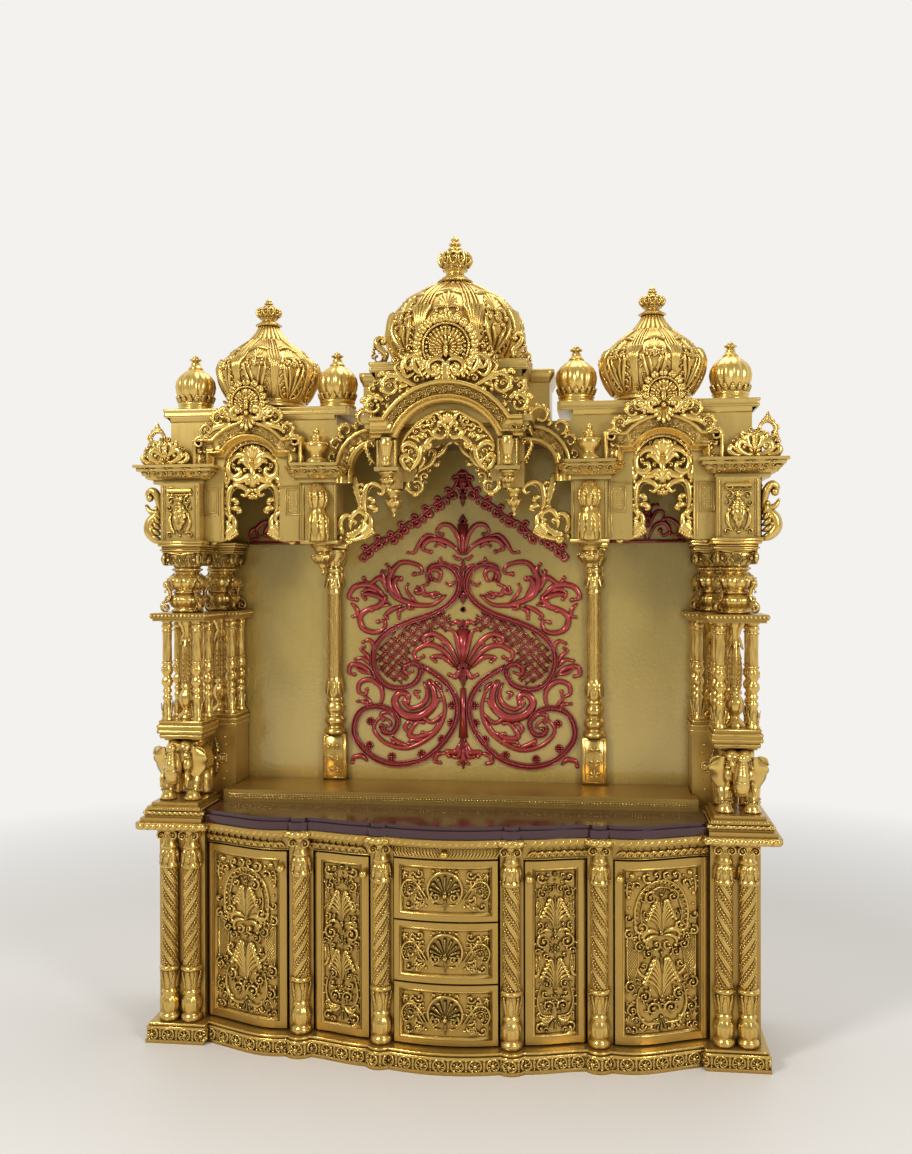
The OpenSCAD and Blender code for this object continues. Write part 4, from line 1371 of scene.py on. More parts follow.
def plinth_line(over: float, bump: float, side_out: float, pier_front: float) -> Array:
    """Traces the front of a moulding in plan, from the back left corner round to the back right.

    Args:
        over: How far it stands in front of the face line.
        bump: Radius of its round bumps at the columns, or 0.
        side_out: X of its sides.
        pier_front: Y of its front at the piers.

    Returns:
        The points, shaped (n, 2).
    """
    x = np.linspace(-PLAN.pier_in_x + 16, PLAN.pier_in_x - 16, 900)
    y = PLAN.face(x) - over
    for cx, cy in ((PLAN.inner_x, PLAN.inner_y - 12), (PLAN.outer_x, PLAN.outer_y - 12)):
        off = np.abs(np.abs(x) - cx)
        if bump:
            y = np.where(off < bump, np.minimum(y, cy - np.sqrt(np.maximum(bump**2 - off**2, 0))), y)
    y[0], y[-1] = pier_front, pier_front
    ends = [(side_out, pier_front), (side_out, 249.0)]
    left = [(-side_out, 249.0), (-side_out, pier_front)]
    return np.concatenate([left, np.stack([x, y], axis=-1), ends])


DEPTH = 1.3  # how much deeper than drawn the cabinet is carved


@dataclass
class Plinth:
    """The moulded plinth with its row of roundels."""

    band_out: float = 38.0
    band_middle: float = 24.0
    pitch: float = 46.0

    def roundel(self) -> Carving:
        """Returns one roundel: a ring round a leaf, with a small dart beside it.

        Returns:
            The carving.
        """
        c = Carving()
        a = np.radians(np.linspace(-60, 250, 20))
        c.stroke(np.stack([13.2 * np.cos(a), 13.2 * np.sin(a)], axis=-1), 5.6, 5.5, around=5)
        c.curl((9, -10), 200, 15, -150, 5.5, 5.5)
        c.fan((0, -5), 15, 7, 230, 5.6, 6.0, inner=0.1)
        c.dots([(0, -1)], 6.0, 1.15)
        c.leaf([(19.5, 12), (19.5, -12)], 9, 5.0, 2, across=5)
        c.dots([(19.5, 11), (19.5, -11)], 3.6, 1.2)
        return c

    def course(self, over: float) -> Course:
        """Returns the line of a layer that stands the given distance in front of the face line."""
        return Course(plinth_line(over, over - 2, PLAN.pier_out_x + over - 24, PLAN.pier_col_y - over + 1))

    def build(self) -> None:
        """Dresses the plinth and adds its mouldings and roundels."""
        dress(SATIN, "plinth", "base_piers", "cabinet_floor", "cabinet_back", "cabinet_sides", "front_stiles")
        dress(BROWN, "cabinet_partitions", "drawer_runners")
        sheets = Sheets()
        band = self.course(self.band_out)
        count = int(band.length / self.pitch)
        step = band.length / count
        one = self.roundel()
        for i in range(count):
            one.copy((step * (i + 0.5) - 10, self.band_middle), scale=1.2, tall=DEPTH).lay(sheets, band)
        for over, z, r in (
                (42.0, 42.0, 4.0), (36.5, 50.0, 4.0), (43.5, 5.5, 4.5), (38.0, 12.0, 2.2), (38.0, 36.5, 2.2),
        ):
            course = self.course(over)
            a = np.radians(np.linspace(-90, 90, 6))
            sheets.add(swept(course, [(r * math.cos(t) * 0.45 - 0.2, z + r * math.sin(t)) for t in a]))
        place("plinth_carving", sheets, SATIN_CARVED)


@dataclass
class TwistedColumn:
    """A base column: ribbed bulb, leaf cup, twisted shaft with bead strings, leaf cup and volutes."""

    x: float
    y: float
    hand: int
    r: float = 25.0
    shaft: tuple[float, float] = (207.0, 482.0)
    strands: int = 4
    rise: float = 187.0

    def profile(self) -> list[tuple[float, float]]:
        """Returns the turned profile of everything but the shaft, as two runs joined by it.

        Returns:
            Pairs of radius and height.
        """
        return [(26, 54), (28.5, 57), (29, 64), (27, 71), (21, 74), (23, 78), (27, 88), (28.5, 100), (27, 112),
            (21, 121), (19, 125), (22, 128), (24, 132), (22, 137), (18.5, 141), (20, 160), (22.5, 178), (24, 194),
            (29, 197), (29.8, 201), (28, 206), (23.5, 208)]

    def crown(self) -> list[tuple[float, float]]:
        """Returns the turned profile above the shaft."""
        return [(23.5, 481), (27, 483), (28, 487), (25.5, 491), (23, 500), (24, 516), (22, 530), (19, 534), (23, 537),
                (24, 541), (21, 545), (18, 549), (18, 566), (23, 580), (24, 592)]

    def ribs(self, a: Array, h: Array, r: Array) -> Array:
        """Presses twelve ribs into the bulb."""
        bulb = np.exp(-((h - 99) / 17) ** 4)
        return r * (1 - 0.17 * bulb * np.abs(np.cos(6 * a)) ** 5)

    def twist(self, sheets: Sheets) -> None:
        """Adds the shaft, whose edges wind with its bands: two ribs between each two bead strings.

        Args:
            sheets: The sheets that it joins.
        """
        cut = np.array([3.4, 5.6, 5.8, 5.4, 2.4, 2.6, 4.6, 2.6, 2.4, 5.4, 5.8, 5.6])
        z = np.linspace(*self.shaft, 34)[:, None]
        around = len(cut) * self.strands
        a = np.linspace(0, TAU, around, endpoint=False) + self.hand * (z - self.shaft[0] - 3) / self.rise * TAU
        r = self.r - np.tile(cut, self.strands)
        grid = np.stack([self.x + r * np.sin(a), self.y - r * np.cos(a), z + 0 * a], axis=-1)
        # The share is 0 in the grooves, which the carved finish darkens as painted shade.
        share = np.clip((5.4 - np.tile(cut, self.strands)) / 2.6, 0, 1) * np.ones_like(z)
        sheets.add(grid[:, ::-1], ring=True, relief=share[:, ::-1])

    def lay(self, sheets: Sheets) -> None:
        """Adds the column to sheets.

        Args:
            sheets: The sheets that it joins.
        """
        lathe(sheets, self.profile(), self.x, self.y, around=36, shape=self.ribs, fine=5)
        lathe(sheets, self.crown(), self.x, self.y, around=28, fine=9)
        z0, z1 = self.shaft
        self.twist(sheets)
        core = drum(self.x, self.y, [self.r - 5.0])
        slope = self.rise / (TAU * (self.r - 5.0))
        c = Carving()
        for i in range(self.strands):
            first = TAU * (self.r - 5.0) / self.strands * i
            z = np.linspace(z0 + 3, z1 - 3, 40)
            x = first + self.hand * (z - z0) / slope
            for side in (-1, 1):
                c.string(np.stack([x + side * 4.9, z], axis=-1), 3.2, 2.45, 1.3, 0.4)
        c.lay(sheets, core)
        self.cups(sheets)
        self.capital(sheets)

    def cups(self, sheets: Sheets) -> None:
        """Adds the leaves of both cups.

        Args:
            sheets: The sheets that it joins.
        """
        for i in range(8):
            low = Carving()
            high = Carving()
            low.leaf([(0, 143), (0, 192)], 18 if i % 2 == 0 else 12, 5.0, 4, lift=3.6, across=5)
            low.dots([(0, 190)], 3.4, base=2.5)
            low.string([(-9, 200), (9, 200)], 2.4, 2.2, 1.0, 4.0)
            high.leaf([(0, 531), (0, 491)], 18, 5.0, 3, lift=3.5, across=5)
            high.dots([(0, 490.5)], 3.8, base=2.5)
            low.lay(sheets, drum(self.x, self.y, [18.8, 22.5, 24.2], [141, 178, 194], turn=45 * i))
            high.lay(sheets, drum(self.x, self.y, [25.0, 23.0, 24.0, 20.0], [490, 500, 516, 532], turn=45 * i))

    def capital(self, sheets: Sheets) -> None:
        """Adds two volutes under a thin abacus, with a palmette between.

        Args:
            sheets: The sheets that it joins.
        """
        c = Carving()
        for side in (-1, 1):
            c.volute((side * 16.5, 573.0), 12.5, 90, -side * 1.35, 7.5, 7.0)
        c.stroke([(-16, 585.5), (0, 583.0), (16, 585.5)], 4.5, 5.0)
        c.fan((0, 556), 24, 5, 70, 6, 4.5)
        c.fan((0, 568), 18, 3, 50, 5, 4.0, turn=-90)
        c.lay(sheets, Plane((self.x, self.y - 19, 0)))
        sheets.box((self.x - 26, self.y - 19, 566), (self.x + 26, self.y + 20, 586), 2)
        sheets.box((self.x - 28.5, self.y - 27, 586), (self.x + 28.5, self.y + 20, 592), 1.2)


@dataclass
class BaseColumns:
    """The eight twisted columns of the cabinet."""

    def build(self) -> None:
        """Builds the four front columns and the paired columns of the piers."""
        front, pier = Sheets(), Sheets()
        for x, y in ((PLAN.inner_x, PLAN.inner_y), (PLAN.outer_x, PLAN.outer_y)):
            TwistedColumn(x, y, -1).lay(front)
        for side in (-1, 1):
            TwistedColumn(PLAN.pier_col_x + side * PLAN.pier_col_set, PLAN.pier_col_y, side).lay(pier)
        place("twisted_columns", front.mirrored(), TURNED, "base_columns")
        place("twisted_pier_columns", pier.mirrored(), TURNED, "pier_columns")


class Leaf(Enum):
    """The four doors."""

    LEFT_WIDE = "door_left_wide"
    LEFT_NARROW = "door_left_narrow"
    RIGHT_NARROW = "door_right_narrow"
    RIGHT_WIDE = "door_right_wide"


KNOB = ((9, 0), (9, 2.5), (6.8, 4), (5.9, 8.6), (9.8, 12.6), (10.9, 17.5), (9.6, 21.5), (6.5, 24.3), (3, 25.5),
    (0.5, 25.8))


def add_knob(s: Sheets, x: float, z: float) -> None:
    """Adds a knob that stands out from the cabinet's face.

    Args:
        s: The sheets that it joins.
        x: Place of its middle.
        z: Place of its middle.
    """
    knob = turned(KNOB, 0, 0, around=24)
    front = float(PLAN.face(np.array([x]))[0])
    s.add(np.stack([knob[..., 0] + x, front + 1 - knob[..., 2], knob[..., 1] + z], axis=-1), ring=True)


@dataclass
class Doors:
    """The serpentine doors with their sunk, carved panels."""

    z0: float = 59.0
    z1: float = 543.0
    border: float = 24.0
    sink: float = 8.0
    knob_z: float = 500.0
    narrow: tuple[float, float] = (210.0, 368.0)
    wide: tuple[float, float] = (445.0, 692.0)

    def acanthus(self, c: Carving, z: float, size: float, pairs: int = 5) -> None:
        """Adds an upright acanthus plume of paired curled leaflets on the middle line.

        Args:
            c: The carving that it joins.
            z: Height of its foot.
            size: Its height.
            pairs: Number of pairs of leaflets.
        """
        c.leaf([(0, z + size * 0.5), (0, z + size)], size * 0.12, 8.0, 3, across=5)
        c.stroke([(0, z), (0, z + size * 0.6)], size * 0.05, 7.0)
        c.dots([(0, z - size * 0.02)], size * 0.07, 1.3)
        for i in range(pairs):
            t = i / (pairs - 1)
            foot, top, out = z + size * (0.02 + 0.30 * t), z + size * (0.44 + 0.46 * t), size * (0.40 - 0.22 * t)
            knots = [(1.2, foot), (out * 0.22, foot + 0.55 * (top - foot)), (out * 0.58, top - 0.04 * size),
                (out * 0.88, top), (out, top - 0.07 * size)]
            path = smooth_path(knots, 16)
            u = np.linspace(0, 1, 16)
            c.stroke(path, (0.35 + 0.75 * u**1.4) * size * 0.095, 4.5 + 5.5 * u)
            c.dots([path[-1] - [size * 0.02, 0]], size * 0.062, 10.5 / (size * 0.062))
            c.stroke(path[2:13] + [size * 0.045, -size * 0.01], (0.35 + 0.6 * u[:11]) * size * 0.05,
                3.5 + 3.5 * u[:11], around=5)

    def scroll(self, c: Carving, x: float, z: float, reach: float, start: float, hand: int,
            leaflets: int = 5) -> None:
        """Adds a large volute with leaflets along its back.

        Args:
            c: The carving that it joins.
            x: Place of its middle.
            z: Place of its middle.
            reach: Radius at its outer end.
            start: Direction of the outer end, in degrees.
            hand: 1 to wind to the left or -1 to the right.
            leaflets: Number of leaflets.
        """
        path = c.volute((x, z), reach, start, hand * 1.3, reach * 0.36, 9.5)
        outer = path[: len(path) * 2 // 3]
        for i in range(leaflets):
            at, heading = heading_at(outer, (i + 0.4) / leaflets)
            c.curl(at, heading - hand * 50, reach * (0.85 - 0.08 * i), hand * -125, reach * 0.27, 8.0, 2.0, 0.6, 9)

    def scrolls(self, c: Carving, *rows: Sequence[float]) -> None:
        """Adds large volutes, each given by what scroll() takes."""
        for row in rows:
            self.scroll(c, *row)

    def narrow_panel(self) -> Carving:
        """Returns the right half of a narrow door's carving, mirrored, about its middle line.

        Returns:
            The carving.
        """
        c = Carving(bold=1.4)
        c.dots([(0, 508)], 8.5, 0.95)
        c.dots([(0, 508)], 3.6, 1.2, 6.0)
        for z in (491, 479):
            c.dots([(0, z)], 4.5, 1.1)
        self.scrolls(c, (33, 458, 13, 60, -1, 4), (14, 470, 10, 130, 1, 3))
        c.spray(curl_path((40, 436), 92, 74, 60, 1.5, 14), 4, 20, 6, 6.5, 60, 130, (1,))
        self.acanthus(c, 360, 92)
        self.scroll(c, 30, 330, 20, 100, -1, 4)
        c.curl((5, 352), 40, 46, -150, 9, 8)
        c.spray(curl_path((36, 388), 60, 42, 140, 1.5, 10), 3, 18, 6, 6, 60, 130, (1, -1))
        c.dots([(0, 350), (0, 300)], 6.0, 1.1)
        c.fan((0, 296), 26, 5, 110, 8, 6.5)
        self.acanthus(c, 200, 92)
        c.curl((46, 262), 250, 40, 170, 9, 6)
        c.spray(smooth_path([(6, 132), (34, 136), (47, 170), (38, 212), (24, 226)], 22), 6, 20, 6.5, 7, 60, 140,
            (-1,))
        self.scrolls(c, (24, 218, 12, 90, 1, 3), (19, 160, 15, 200, -1, 4))
        c.dots([(0, 186), (6, 172), (10, 184), (14, 128), (0, 118), (0, 106)], [6.5, 4.5, 4, 4, 5, 3.5], 1.1)
        c.fan((0, 128), 34, 5, 120, 7.5, 6.5, turn=-90)
        c.curls((6, 132, -60, 42, 150, 9, 7), (12, 128, -20, 40, 120, 8, 6))
        self.mat(c, [(36, 400), (48, 400), (48, 436), (36, 430)])
        self.mat(c, [(38, 250), (50, 250), (50, 292), (42, 292)])
        c.fill([(3, 88), (51, 88), (51, 516), (3, 516)], 7.5, 17, 11)
        return c.mirror()

    def wide_panel(self) -> Carving:
        """Returns the right half of a wide door's carving, mirrored, about its middle line.

        Returns:
            The carving.
        """
        c = Carving(bold=1.4)
        arch = np.radians(np.linspace(-4, 112, 26))
        ring = np.stack([72 * np.sin(arch), 398 + 92 * np.cos(arch)], axis=-1)
        c.stroke(ring, 5.5, 6.5)
        inner = np.stack([55 * np.sin(arch), 398 + 74 * np.cos(arch)], axis=-1)
        c.stroke(inner, 4.0, 5.5)
        for i in range(13):
            at, heading = heading_at((ring + inner) / 2, (i + 0.5) / 13)
            c.curl(at - [3, 3], heading + 100, 15, -120, 5.5, 5.5, 1.5, 0.4, 7)
        c.volute((52, 368), 19, 20, -1.25, 8.5, 8.0)
        c.volute((86, 350), 14, 110, -1.2, 7, 7.5)
        self.scrolls(c, (30, 446, 17, 120, -1, 3), (40, 402, 10, 60, -1, 3))
        for x, z, r in ((78, 504, 9.5), (60, 498, 5.5), (88, 447, 7), (86, 420, 5)):
            c.dots([(x, z)], r, 0.9)
        c.spray(curl_path((92, 452), 84, 48, 30, 1.2, 10), 3, 20, 7, 6, 50, 120, (1, -1))
        c.fan((0, 440), 44, 5, 80, 7, 5)
        self.acanthus(c, 350, 96, 6)
        c.dots([(0, 352), (0, 452)], 6.5, 1.1)
        c.curls((6, 350, 30, 62, -160, 12, 8.5), (4, 342, 8, 58, -140, 10, 8))
        self.scroll(c, 58, 318, 14, 80, -1, 4)
        c.spray(curl_path((58, 332), 70, 40, 110, 1.4, 10), 3, 20, 7, 7, 60, 140, (1, -1))
        self.mat(c, [(73, 232), (92, 232), (92, 336), (68, 336), (60, 296), (62, 262)])
        c.curl((68, 344), -20, 30, 60, 6, 6)
        self.scroll(c, 36, 300, 13, 40, -1, 4)
        self.acanthus(c, 176, 118, 6)
        c.dots([(0, 300), (0, 184)], 7.0, 1.1)
        self.scroll(c, 82, 212, 16, 110, -1, 4)
        c.curl((66, 262), 250, 50, -120, 9, 7)
        c.spray(smooth_path([(8, 112), (46, 116), (66, 152), (60, 200), (44, 216)], 24), 7, 24, 8, 8, 58, 140, (-1,))
        self.scrolls(c, (46, 186, 16, 90, 1, 4), (24, 152, 18, 190, -1, 5), (78, 150, 15, 90, -1, 4),
            (68, 122, 12, 10, 1, 4))
        c.fan((86, 108), 34, 6, 100, 8, 6, turn=115)
        c.fan((0, 128), 38, 7, 120, 8, 7, turn=-90)
        c.dots([(0, 128), (8, 166), (14, 176), (0, 92), (34, 100), (40, 92)], [7, 5, 4, 5, 5, 4], 1.1)
        c.curls((8, 120, -35, 50, 120, 9, 7), (40, 108, -70, 26, 130, 8, 6))
        c.fill([(3, 88), (94, 88), (94, 514), (3, 514)], 8.5, 19, 11)
        return c.mirror()

    def mat(self, c: Carving, outline: Points) -> None:
        """Adds a diamond lattice inside a flat outline.

        Args:
            c: The carving that it joins.
            outline: Corners of the area.
        """
        poly = np.array(outline, float)
        lo, hi = poly.min(0), poly.max(0)
        x = np.linspace(lo[0], hi[0], 40)
        for lean in (1, -1):
            for k in np.arange(-300, 300, 8.5):
                z = (lo[1] + hi[1]) / 2 + lean * (x - (lo[0] + hi[0]) / 2) * 1.25 + k
                strip = np.stack([x, z], axis=-1)
                strip = strip[inside(poly, strip)]
                if len(strip) > 4:
                    c.stroke(even_path(strip, 4), 1.8, 2.6, around=4)
        c.stroke(np.concatenate([poly, poly[:1]]), 3.2, 4.0, around=5)

    def frame_moulding(self, sheets: Sheets, x0: float, x1: float) -> None:
        """Adds the bevelled inner edge of a door's frame.

        Args:
            sheets: The sheets that it joins.
            x0: X of its left edge.
            x1: X of its right edge.
        """
        b = self.border - 5
        surface = FrontLine(PLAN.face)
        n = 40
        xs, zs = np.linspace(x0 + b, x1 - b, n), np.linspace(self.z0 + b, self.z1 - b, n)
        path = np.concatenate([np.stack([xs, np.full(n, zs[0])], -1), np.stack([np.full(n, xs[-1]), zs], -1),
            np.stack([xs[::-1], np.full(n, zs[-1])], -1), np.stack([np.full(n, xs[0]), zs[::-1]], -1)])
        ring = Carving()
        middle = np.array([(x0 + x1) / 2, (self.z0 + self.z1) / 2])
        half = np.array([(x1 - x0) / 2 - b, (self.z1 - self.z0) / 2 - b])
        rows = []
        for inset, out in ((0, -0.6), (0.8, 0.7), (3.2, 0.9), (5.2, -0.8), (8.5, -4.5), (9.5, -self.sink - 0.3)):
            rows.append(np.concatenate([middle + (path - middle) * (half - inset) / half, np.full((4 * n, 1), out)],
                axis=1))
        grid = np.stack(rows, axis=1)[None]
        ring.put(grid[:, ::-1], False, np.ones(1))
        ring.lay(sheets, surface)

    def build(self) -> None:
        """Dresses the doors and lays their carving."""
        panels = {False: self.narrow_panel(), True: self.wide_panel()}
        for leaf in Leaf:
            name = leaf.value
            wide = name.endswith("wide")
            x0, x1 = self.wide if wide else self.narrow
            side = -1 if "left" in name else 1
            dress(SATIN, name)
            sheets = Sheets()
            middle = side * (x0 + x1) / 2
            ground = FrontLine(PLAN.face, -self.sink)
            panels[wide].copy((middle, 0), tall=DEPTH).lay(sheets, ground)
            lo, hi = sorted((side * x0, side * x1))
            self.frame_moulding(sheets, lo, hi)
            add_knob(sheets, side * (x0 + self.border * 0.5), self.knob_z)
            place(name + "_carving", sheets, SATIN_CARVED, body=name + "_body")


@dataclass
class Drawers:
    """The three bowed drawers with a shell in a ring between acanthus scrolls, and the frieze tray."""

    half: float = 138.5
    heights: tuple[tuple[float, float], ...] = ((59.0, 218.0), (223.0, 382.0), (387.0, 546.0))
    sink: float = 8.0
    border: float = 14.0
    tray_knob_z: float = 566.0

    def panel(self) -> Carving:
        """Returns a drawer front's carving about its middle.

        Returns:
            The carving.
        """
        c = Carving(bold=1.25)
        c.stroke(arc(0, 3, 46, -140, 140, 40), 7.5, 8.0)
        c.fan((0, -12), 48, 11, 220, 9.6, 9.0, inner=0.2)
        for k in range(-5, 6):
            t = math.radians(22 * k)
            reach = 47 * (1 - 0.30 * abs(k / 5) ** 1.5)
            c.dots([(reach * math.sin(t), -12 + reach * math.cos(t))], 5.6, 1.85)
        c.dots([(0, -14), (0, -5)], [9.5, 6.0], 1.1)
        c.leaf([(0, -22), (0, -54)], 14, 6.5, 3, across=5)
        for x, z, r in ((13, 54, 4.5), (31, 51, 5.5), (0, 55, 4.5)):
            c.dots([(x, z)], r, 1.1)
        c.curl((24, 50), 20, 16, -120, 6, 5.5)
        c.volute((24, -16), 15, 60, -1.2, 7.5, 8.0)
        c.curl((8, -38), -10, 26, 60, 6, 6)
        stem = smooth_path([(48, -22), (64, 2), (86, 24), (108, 20), (118, 0), (112, -20), (98, -22), (94, -10)], 40)
        c.stroke(stem, taper(40, 0.5, 0.5, 0.4) * 6.5, 7.5)
        inner = smooth_path([(58, -24), (74, 0), (90, 12), (104, 8), (108, -6)], 20)
        c.stroke(inner, 3.5, 6.0)
        c.string(smooth_path([(66, -4), (86, 17), (106, 13), (112, -4), (106, -16)], 24), 3.4, 2.2, 1.0, 1.5)
        c.dots([(98, -12)], 6.5, 1.1)
        for i, (x, z, h, k) in enumerate(((58, -8, 62, 30), (68, 6, 70, 28), (80, 18, 78, 26), (92, 25, 66, 24))):
            c.curls((x, z, h, k, 120 if i % 2 else -120, 7.5, 6.5), (x + 2, z - 2, h + 24, k * 0.7, 110, 5.5, 6.0))
        for x, z, h, k, b in (
                (54, -22, -20, 30, 110), (62, -28, -50, 26, 140), (74, -12, -40, 24, -130), (84, -4, -60, 22, 130),
                (56, -30, -80, 22, 120),
        ):
            c.curl((x, z), h, k, b, 7.0, 6.5)
        c.dots([(76, -44), (52, -42), (90, 44), (110, 42), (118, 52)], [7, 5.5, 5, 6, 4], 1.0)
        c.curls((100, 28, 60, 26, -110, 6.5, 6), (112, 22, 80, 26, 90, 6, 6), (116, -26, -80, 24, 80, 6, 5.5))
        c.volute((76, -40), 12, 150, 1.1, 6, 6.5)
        c.fill([(52, -57), (116, -57), (116, 57), (44, 57), (52, 34), (57, 0)], 6.5, 13, 10)
        return c.mirror()

    def build(self) -> None:
        """Dresses the drawers, and lays their carving, bevels and the tray's band."""
        front = self.panel()
        for name, (z0, z1) in zip(("drawer_bottom", "drawer_middle", "drawer_top"), self.heights):
            dress(SATIN, name)
            sheets = Sheets()
            front.copy((0, (z0 + z1) / 2), tall=DEPTH).lay(sheets, FrontLine(PLAN.face, -self.sink))
            bevel = Doors(z0, z1, self.border + 5, self.sink)
            bevel.frame_moulding(sheets, -self.half, self.half)
            place(name + "_carving", sheets, SATIN_CARVED, body=name + "_body")
        self.tray()

    def tray(self) -> None:
        """Adds the slanted gadroons and the knob of the shallow tray."""
        dress(SATIN, "frieze_tray")
        c = Carving()
        for i in range(15):
            x = 8 + i * 8.8
            c.curls((x, 554, 40, 27, 60, 7.5, 5.0, 1.4, 0.5, 8), (x + 3, 580, -130, 16, 70, 5.0, 4.0, 1.4, 0.4, 7))
        c.mirror()
        sheets = Sheets()
        c.lay(sheets, FrontLine(PLAN.face, -0.3))
        add_knob(sheets, 0.0, self.tray_knob_z)
        place("frieze_tray_gadroons", sheets, SATIN_CARVED, body="frieze_tray_body")


@dataclass
class Frieze:
    """The carved band above the doors, and the rope moulding round the top of the cabinet."""

    z0: float = 548.0
    z1: float = 590.0
    rope_z: float = 592.0
    rope_out: float = 52.0
    pitch: float = 19.0

    def bay(self, x0: float, x1: float) -> Carving:
        """Returns the running curls between two columns.

        Args:
            x0: X of the left column.
            x1: X of the right column.

        Returns:
            The carving.
        """
        c = Carving()
        n = max(int((x1 - x0) / self.pitch), 2)
        step = (x1 - x0) / n
        for i in range(n):
            x = x0 + step * (i + 0.25)
            c.curls((x - 2, self.z0 + 6, 60, 40, -150, 10.0, 8.0, 1.8, 0.55, 10),
                (x + step * 0.42, self.z0 + 6, 66, 27, -140, 7.0, 6.5, 1.8, 0.5, 8),
                (x + step * 0.2, self.z1 - 7, -20, 18, -100, 5.0, 5.0, 1.5, 0.4, 8))
        for z in (self.z0 + 1.5, self.z1 - 1.0):
            c.stroke(np.stack([np.linspace(x0 - 4, x1 + 4, 24), np.full(24, z)], -1), 3.0, 3.0, around=4)
        return c

    def rope(self, course: Course, z: float, r: float, pitch: float) -> tuple[Array, Array]:
        """Returns a moulding of slanted twisted gadroons, and the height share of its points.

        Args:
            course: Where it runs.
            z: Height of its middle.
            r: Its radius.
            pitch: Distance between gadroons.

        Returns:
            The grid of points and their height shares.
        """
        a = np.linspace(-100, 100, 9)
        profile = [(r * math.cos(math.radians(t)), z + r * math.sin(math.radians(t))) for t in a]
        count = max(round(course.length / pitch), 1)

        def height(run: Array, share: Array) -> Array:
            """Returns the gadroons' height, from 0 in a groove to 1."""
            return np.abs(np.sin(math.pi * (run / course.length * count - 1.1 * (share - 0.5)))) ** 0.7

        grid = swept(course, profile, lambda run, share, out: out * (0.42 + 0.62 * height(run, share)))
        run, share = np.meshgrid(course.run, np.linspace(0, 1, len(a)))
        # The shares are low in the grooves, where the carved finish paints shade.
        return grid, height(run, share)[:, ::-1] ** 1.5

    def build(self) -> None:
        """Builds the frieze carving and the rope moulding."""
        dress(SATIN, "frieze", "rope_moulding", "sub_top")
        sheets = Sheets()
        for x0, x1 in ((212.0, 368.0), (444.0, 690.0)):
            self.bay(x0, x1).mirror().lay(sheets, FrontLine(PLAN.face, 0.0))
        place("frieze_carving", sheets, SATIN_CARVED)
        line = plinth_line(self.rope_out - 9, self.rope_out - 8, PLAN.pier_out_x + 40, -133)
        course = Course(line, step=2.2)
        ropes = Sheets()
        grid, share = self.rope(course, self.rope_z + 10, 9.6, self.pitch)
        ropes.add(grid, relief=share)
        fillet = Course(plinth_line(self.rope_out - 12, self.rope_out - 12, PLAN.pier_out_x + 36, -129))
        for z in (self.rope_z + 1.6, self.rope_z + 18.4):
            ropes.add(swept(fillet, [(4.2, z - 1.6), (5.4, z - 0.6), (5.4, z + 0.6), (4.2, z + 1.6)]))
        place("rope_gadroons", ropes, TURNED)


@dataclass
class Countertop:
    """The dark countertop, the gold ledge behind it and the caps of the piers."""

    leaves: int = 76
    pitch: float = 8.6

    def build(self) -> None:
        """Dresses the tops and adds their small mouldings."""
        dress(MAROON, "countertop")
        dress(SATIN, "pier_caps", "ledge", "elephant_plinths")
        sheets = Sheets()
        c = Carving()
        for i in range(self.leaves):
            x = self.pitch / 2 + i * self.pitch
            c.dots([(x, 662.5)], 3.2, 1.0)
            c.curl((x - 2.5, 651), 60, 7.5, 40, 3.6, 2.2, 1.2, 0, 5)
        for z in (667.5, 657.5):
            c.stroke(np.stack([np.linspace(0, 658, 60), np.full(60, z)], -1), 1.8, 1.8, around=4)
        c.mirror().lay(sheets, Plane((0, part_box("ledge")[0].y / MM, 0)))
        caps = Sheets()
        cap_low, cap_high, foot_low, foot_high = ([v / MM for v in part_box(node)[i]] for node in ("pier_caps",
            "elephant_plinths") for i in (0, 1))
        inner, outer, front = PLAN.pier_in_x - 7, cap_high[0] - 10, cap_low[1] + 10
        course = Course([(inner, 16), (inner, front), (outer, front), (outer, 240)], step=1.8)
        grid, share = Frieze().rope(course, cap_high[2] - 9, 6.5, 15)
        caps.add(grid, relief=share)
        course = Course([(inner, 16), (inner, foot_low[1]), (foot_high[0], foot_low[1]), (foot_high[0], 60)])
        dentils = Carving()
        dentils.string([(2, foot_low[2] + 5), (course.length - 2, foot_low[2] + 5)], 3.2, 2.3)
        dentils.lay(caps, course)
        place("cap_gadroons", caps.mirrored(), SATIN_CARVED)
        place("ledge_carving", sheets, SATIN_CARVED)


# ---------------------------------------------------------------- turned ornament


def melon(lobes: int, depth: float, low: float, high: float) -> Press:
    """Returns a shape that presses rounded lobes between two heights.

    Args:
        lobes: Number of lobes.
        depth: Depth between them, as a share of the radius.
        low: Height where they start.
        high: Height where they end.

    Returns:
        The shape.
    """

    def press(a: Array, h: Array, r: Array) -> Array:
        """Presses the lobes."""
        share = np.clip((h - low) / (high - low), 0, 1)
        return r * (1 - depth * np.sin(math.pi * share) ** 0.5 * (1 - np.abs(np.sin(lobes * a / 2)) ** 0.6))

    return press


def bead_ring(sheets: Sheets, x: float, y: float, z: float, ring: float, bead: float) -> None:
    """Adds a ring of beads round an upright axis.

    Args:
        sheets: The sheets that it joins.
        x: X of its axis.
        y: Y of its axis.
        z: Height of the ring.
        ring: Radius of the ring.
        bead: Radius of a bead.
    """
    n = int(TAU * ring / (bead * 2.25))
    c = Carving()
    c.dots(np.stack([TAU * ring * np.arange(n) / n, np.full(n, z)], axis=-1), bead, 1.0, around=7)
    c.lay(sheets, drum(x, y, [ring]))


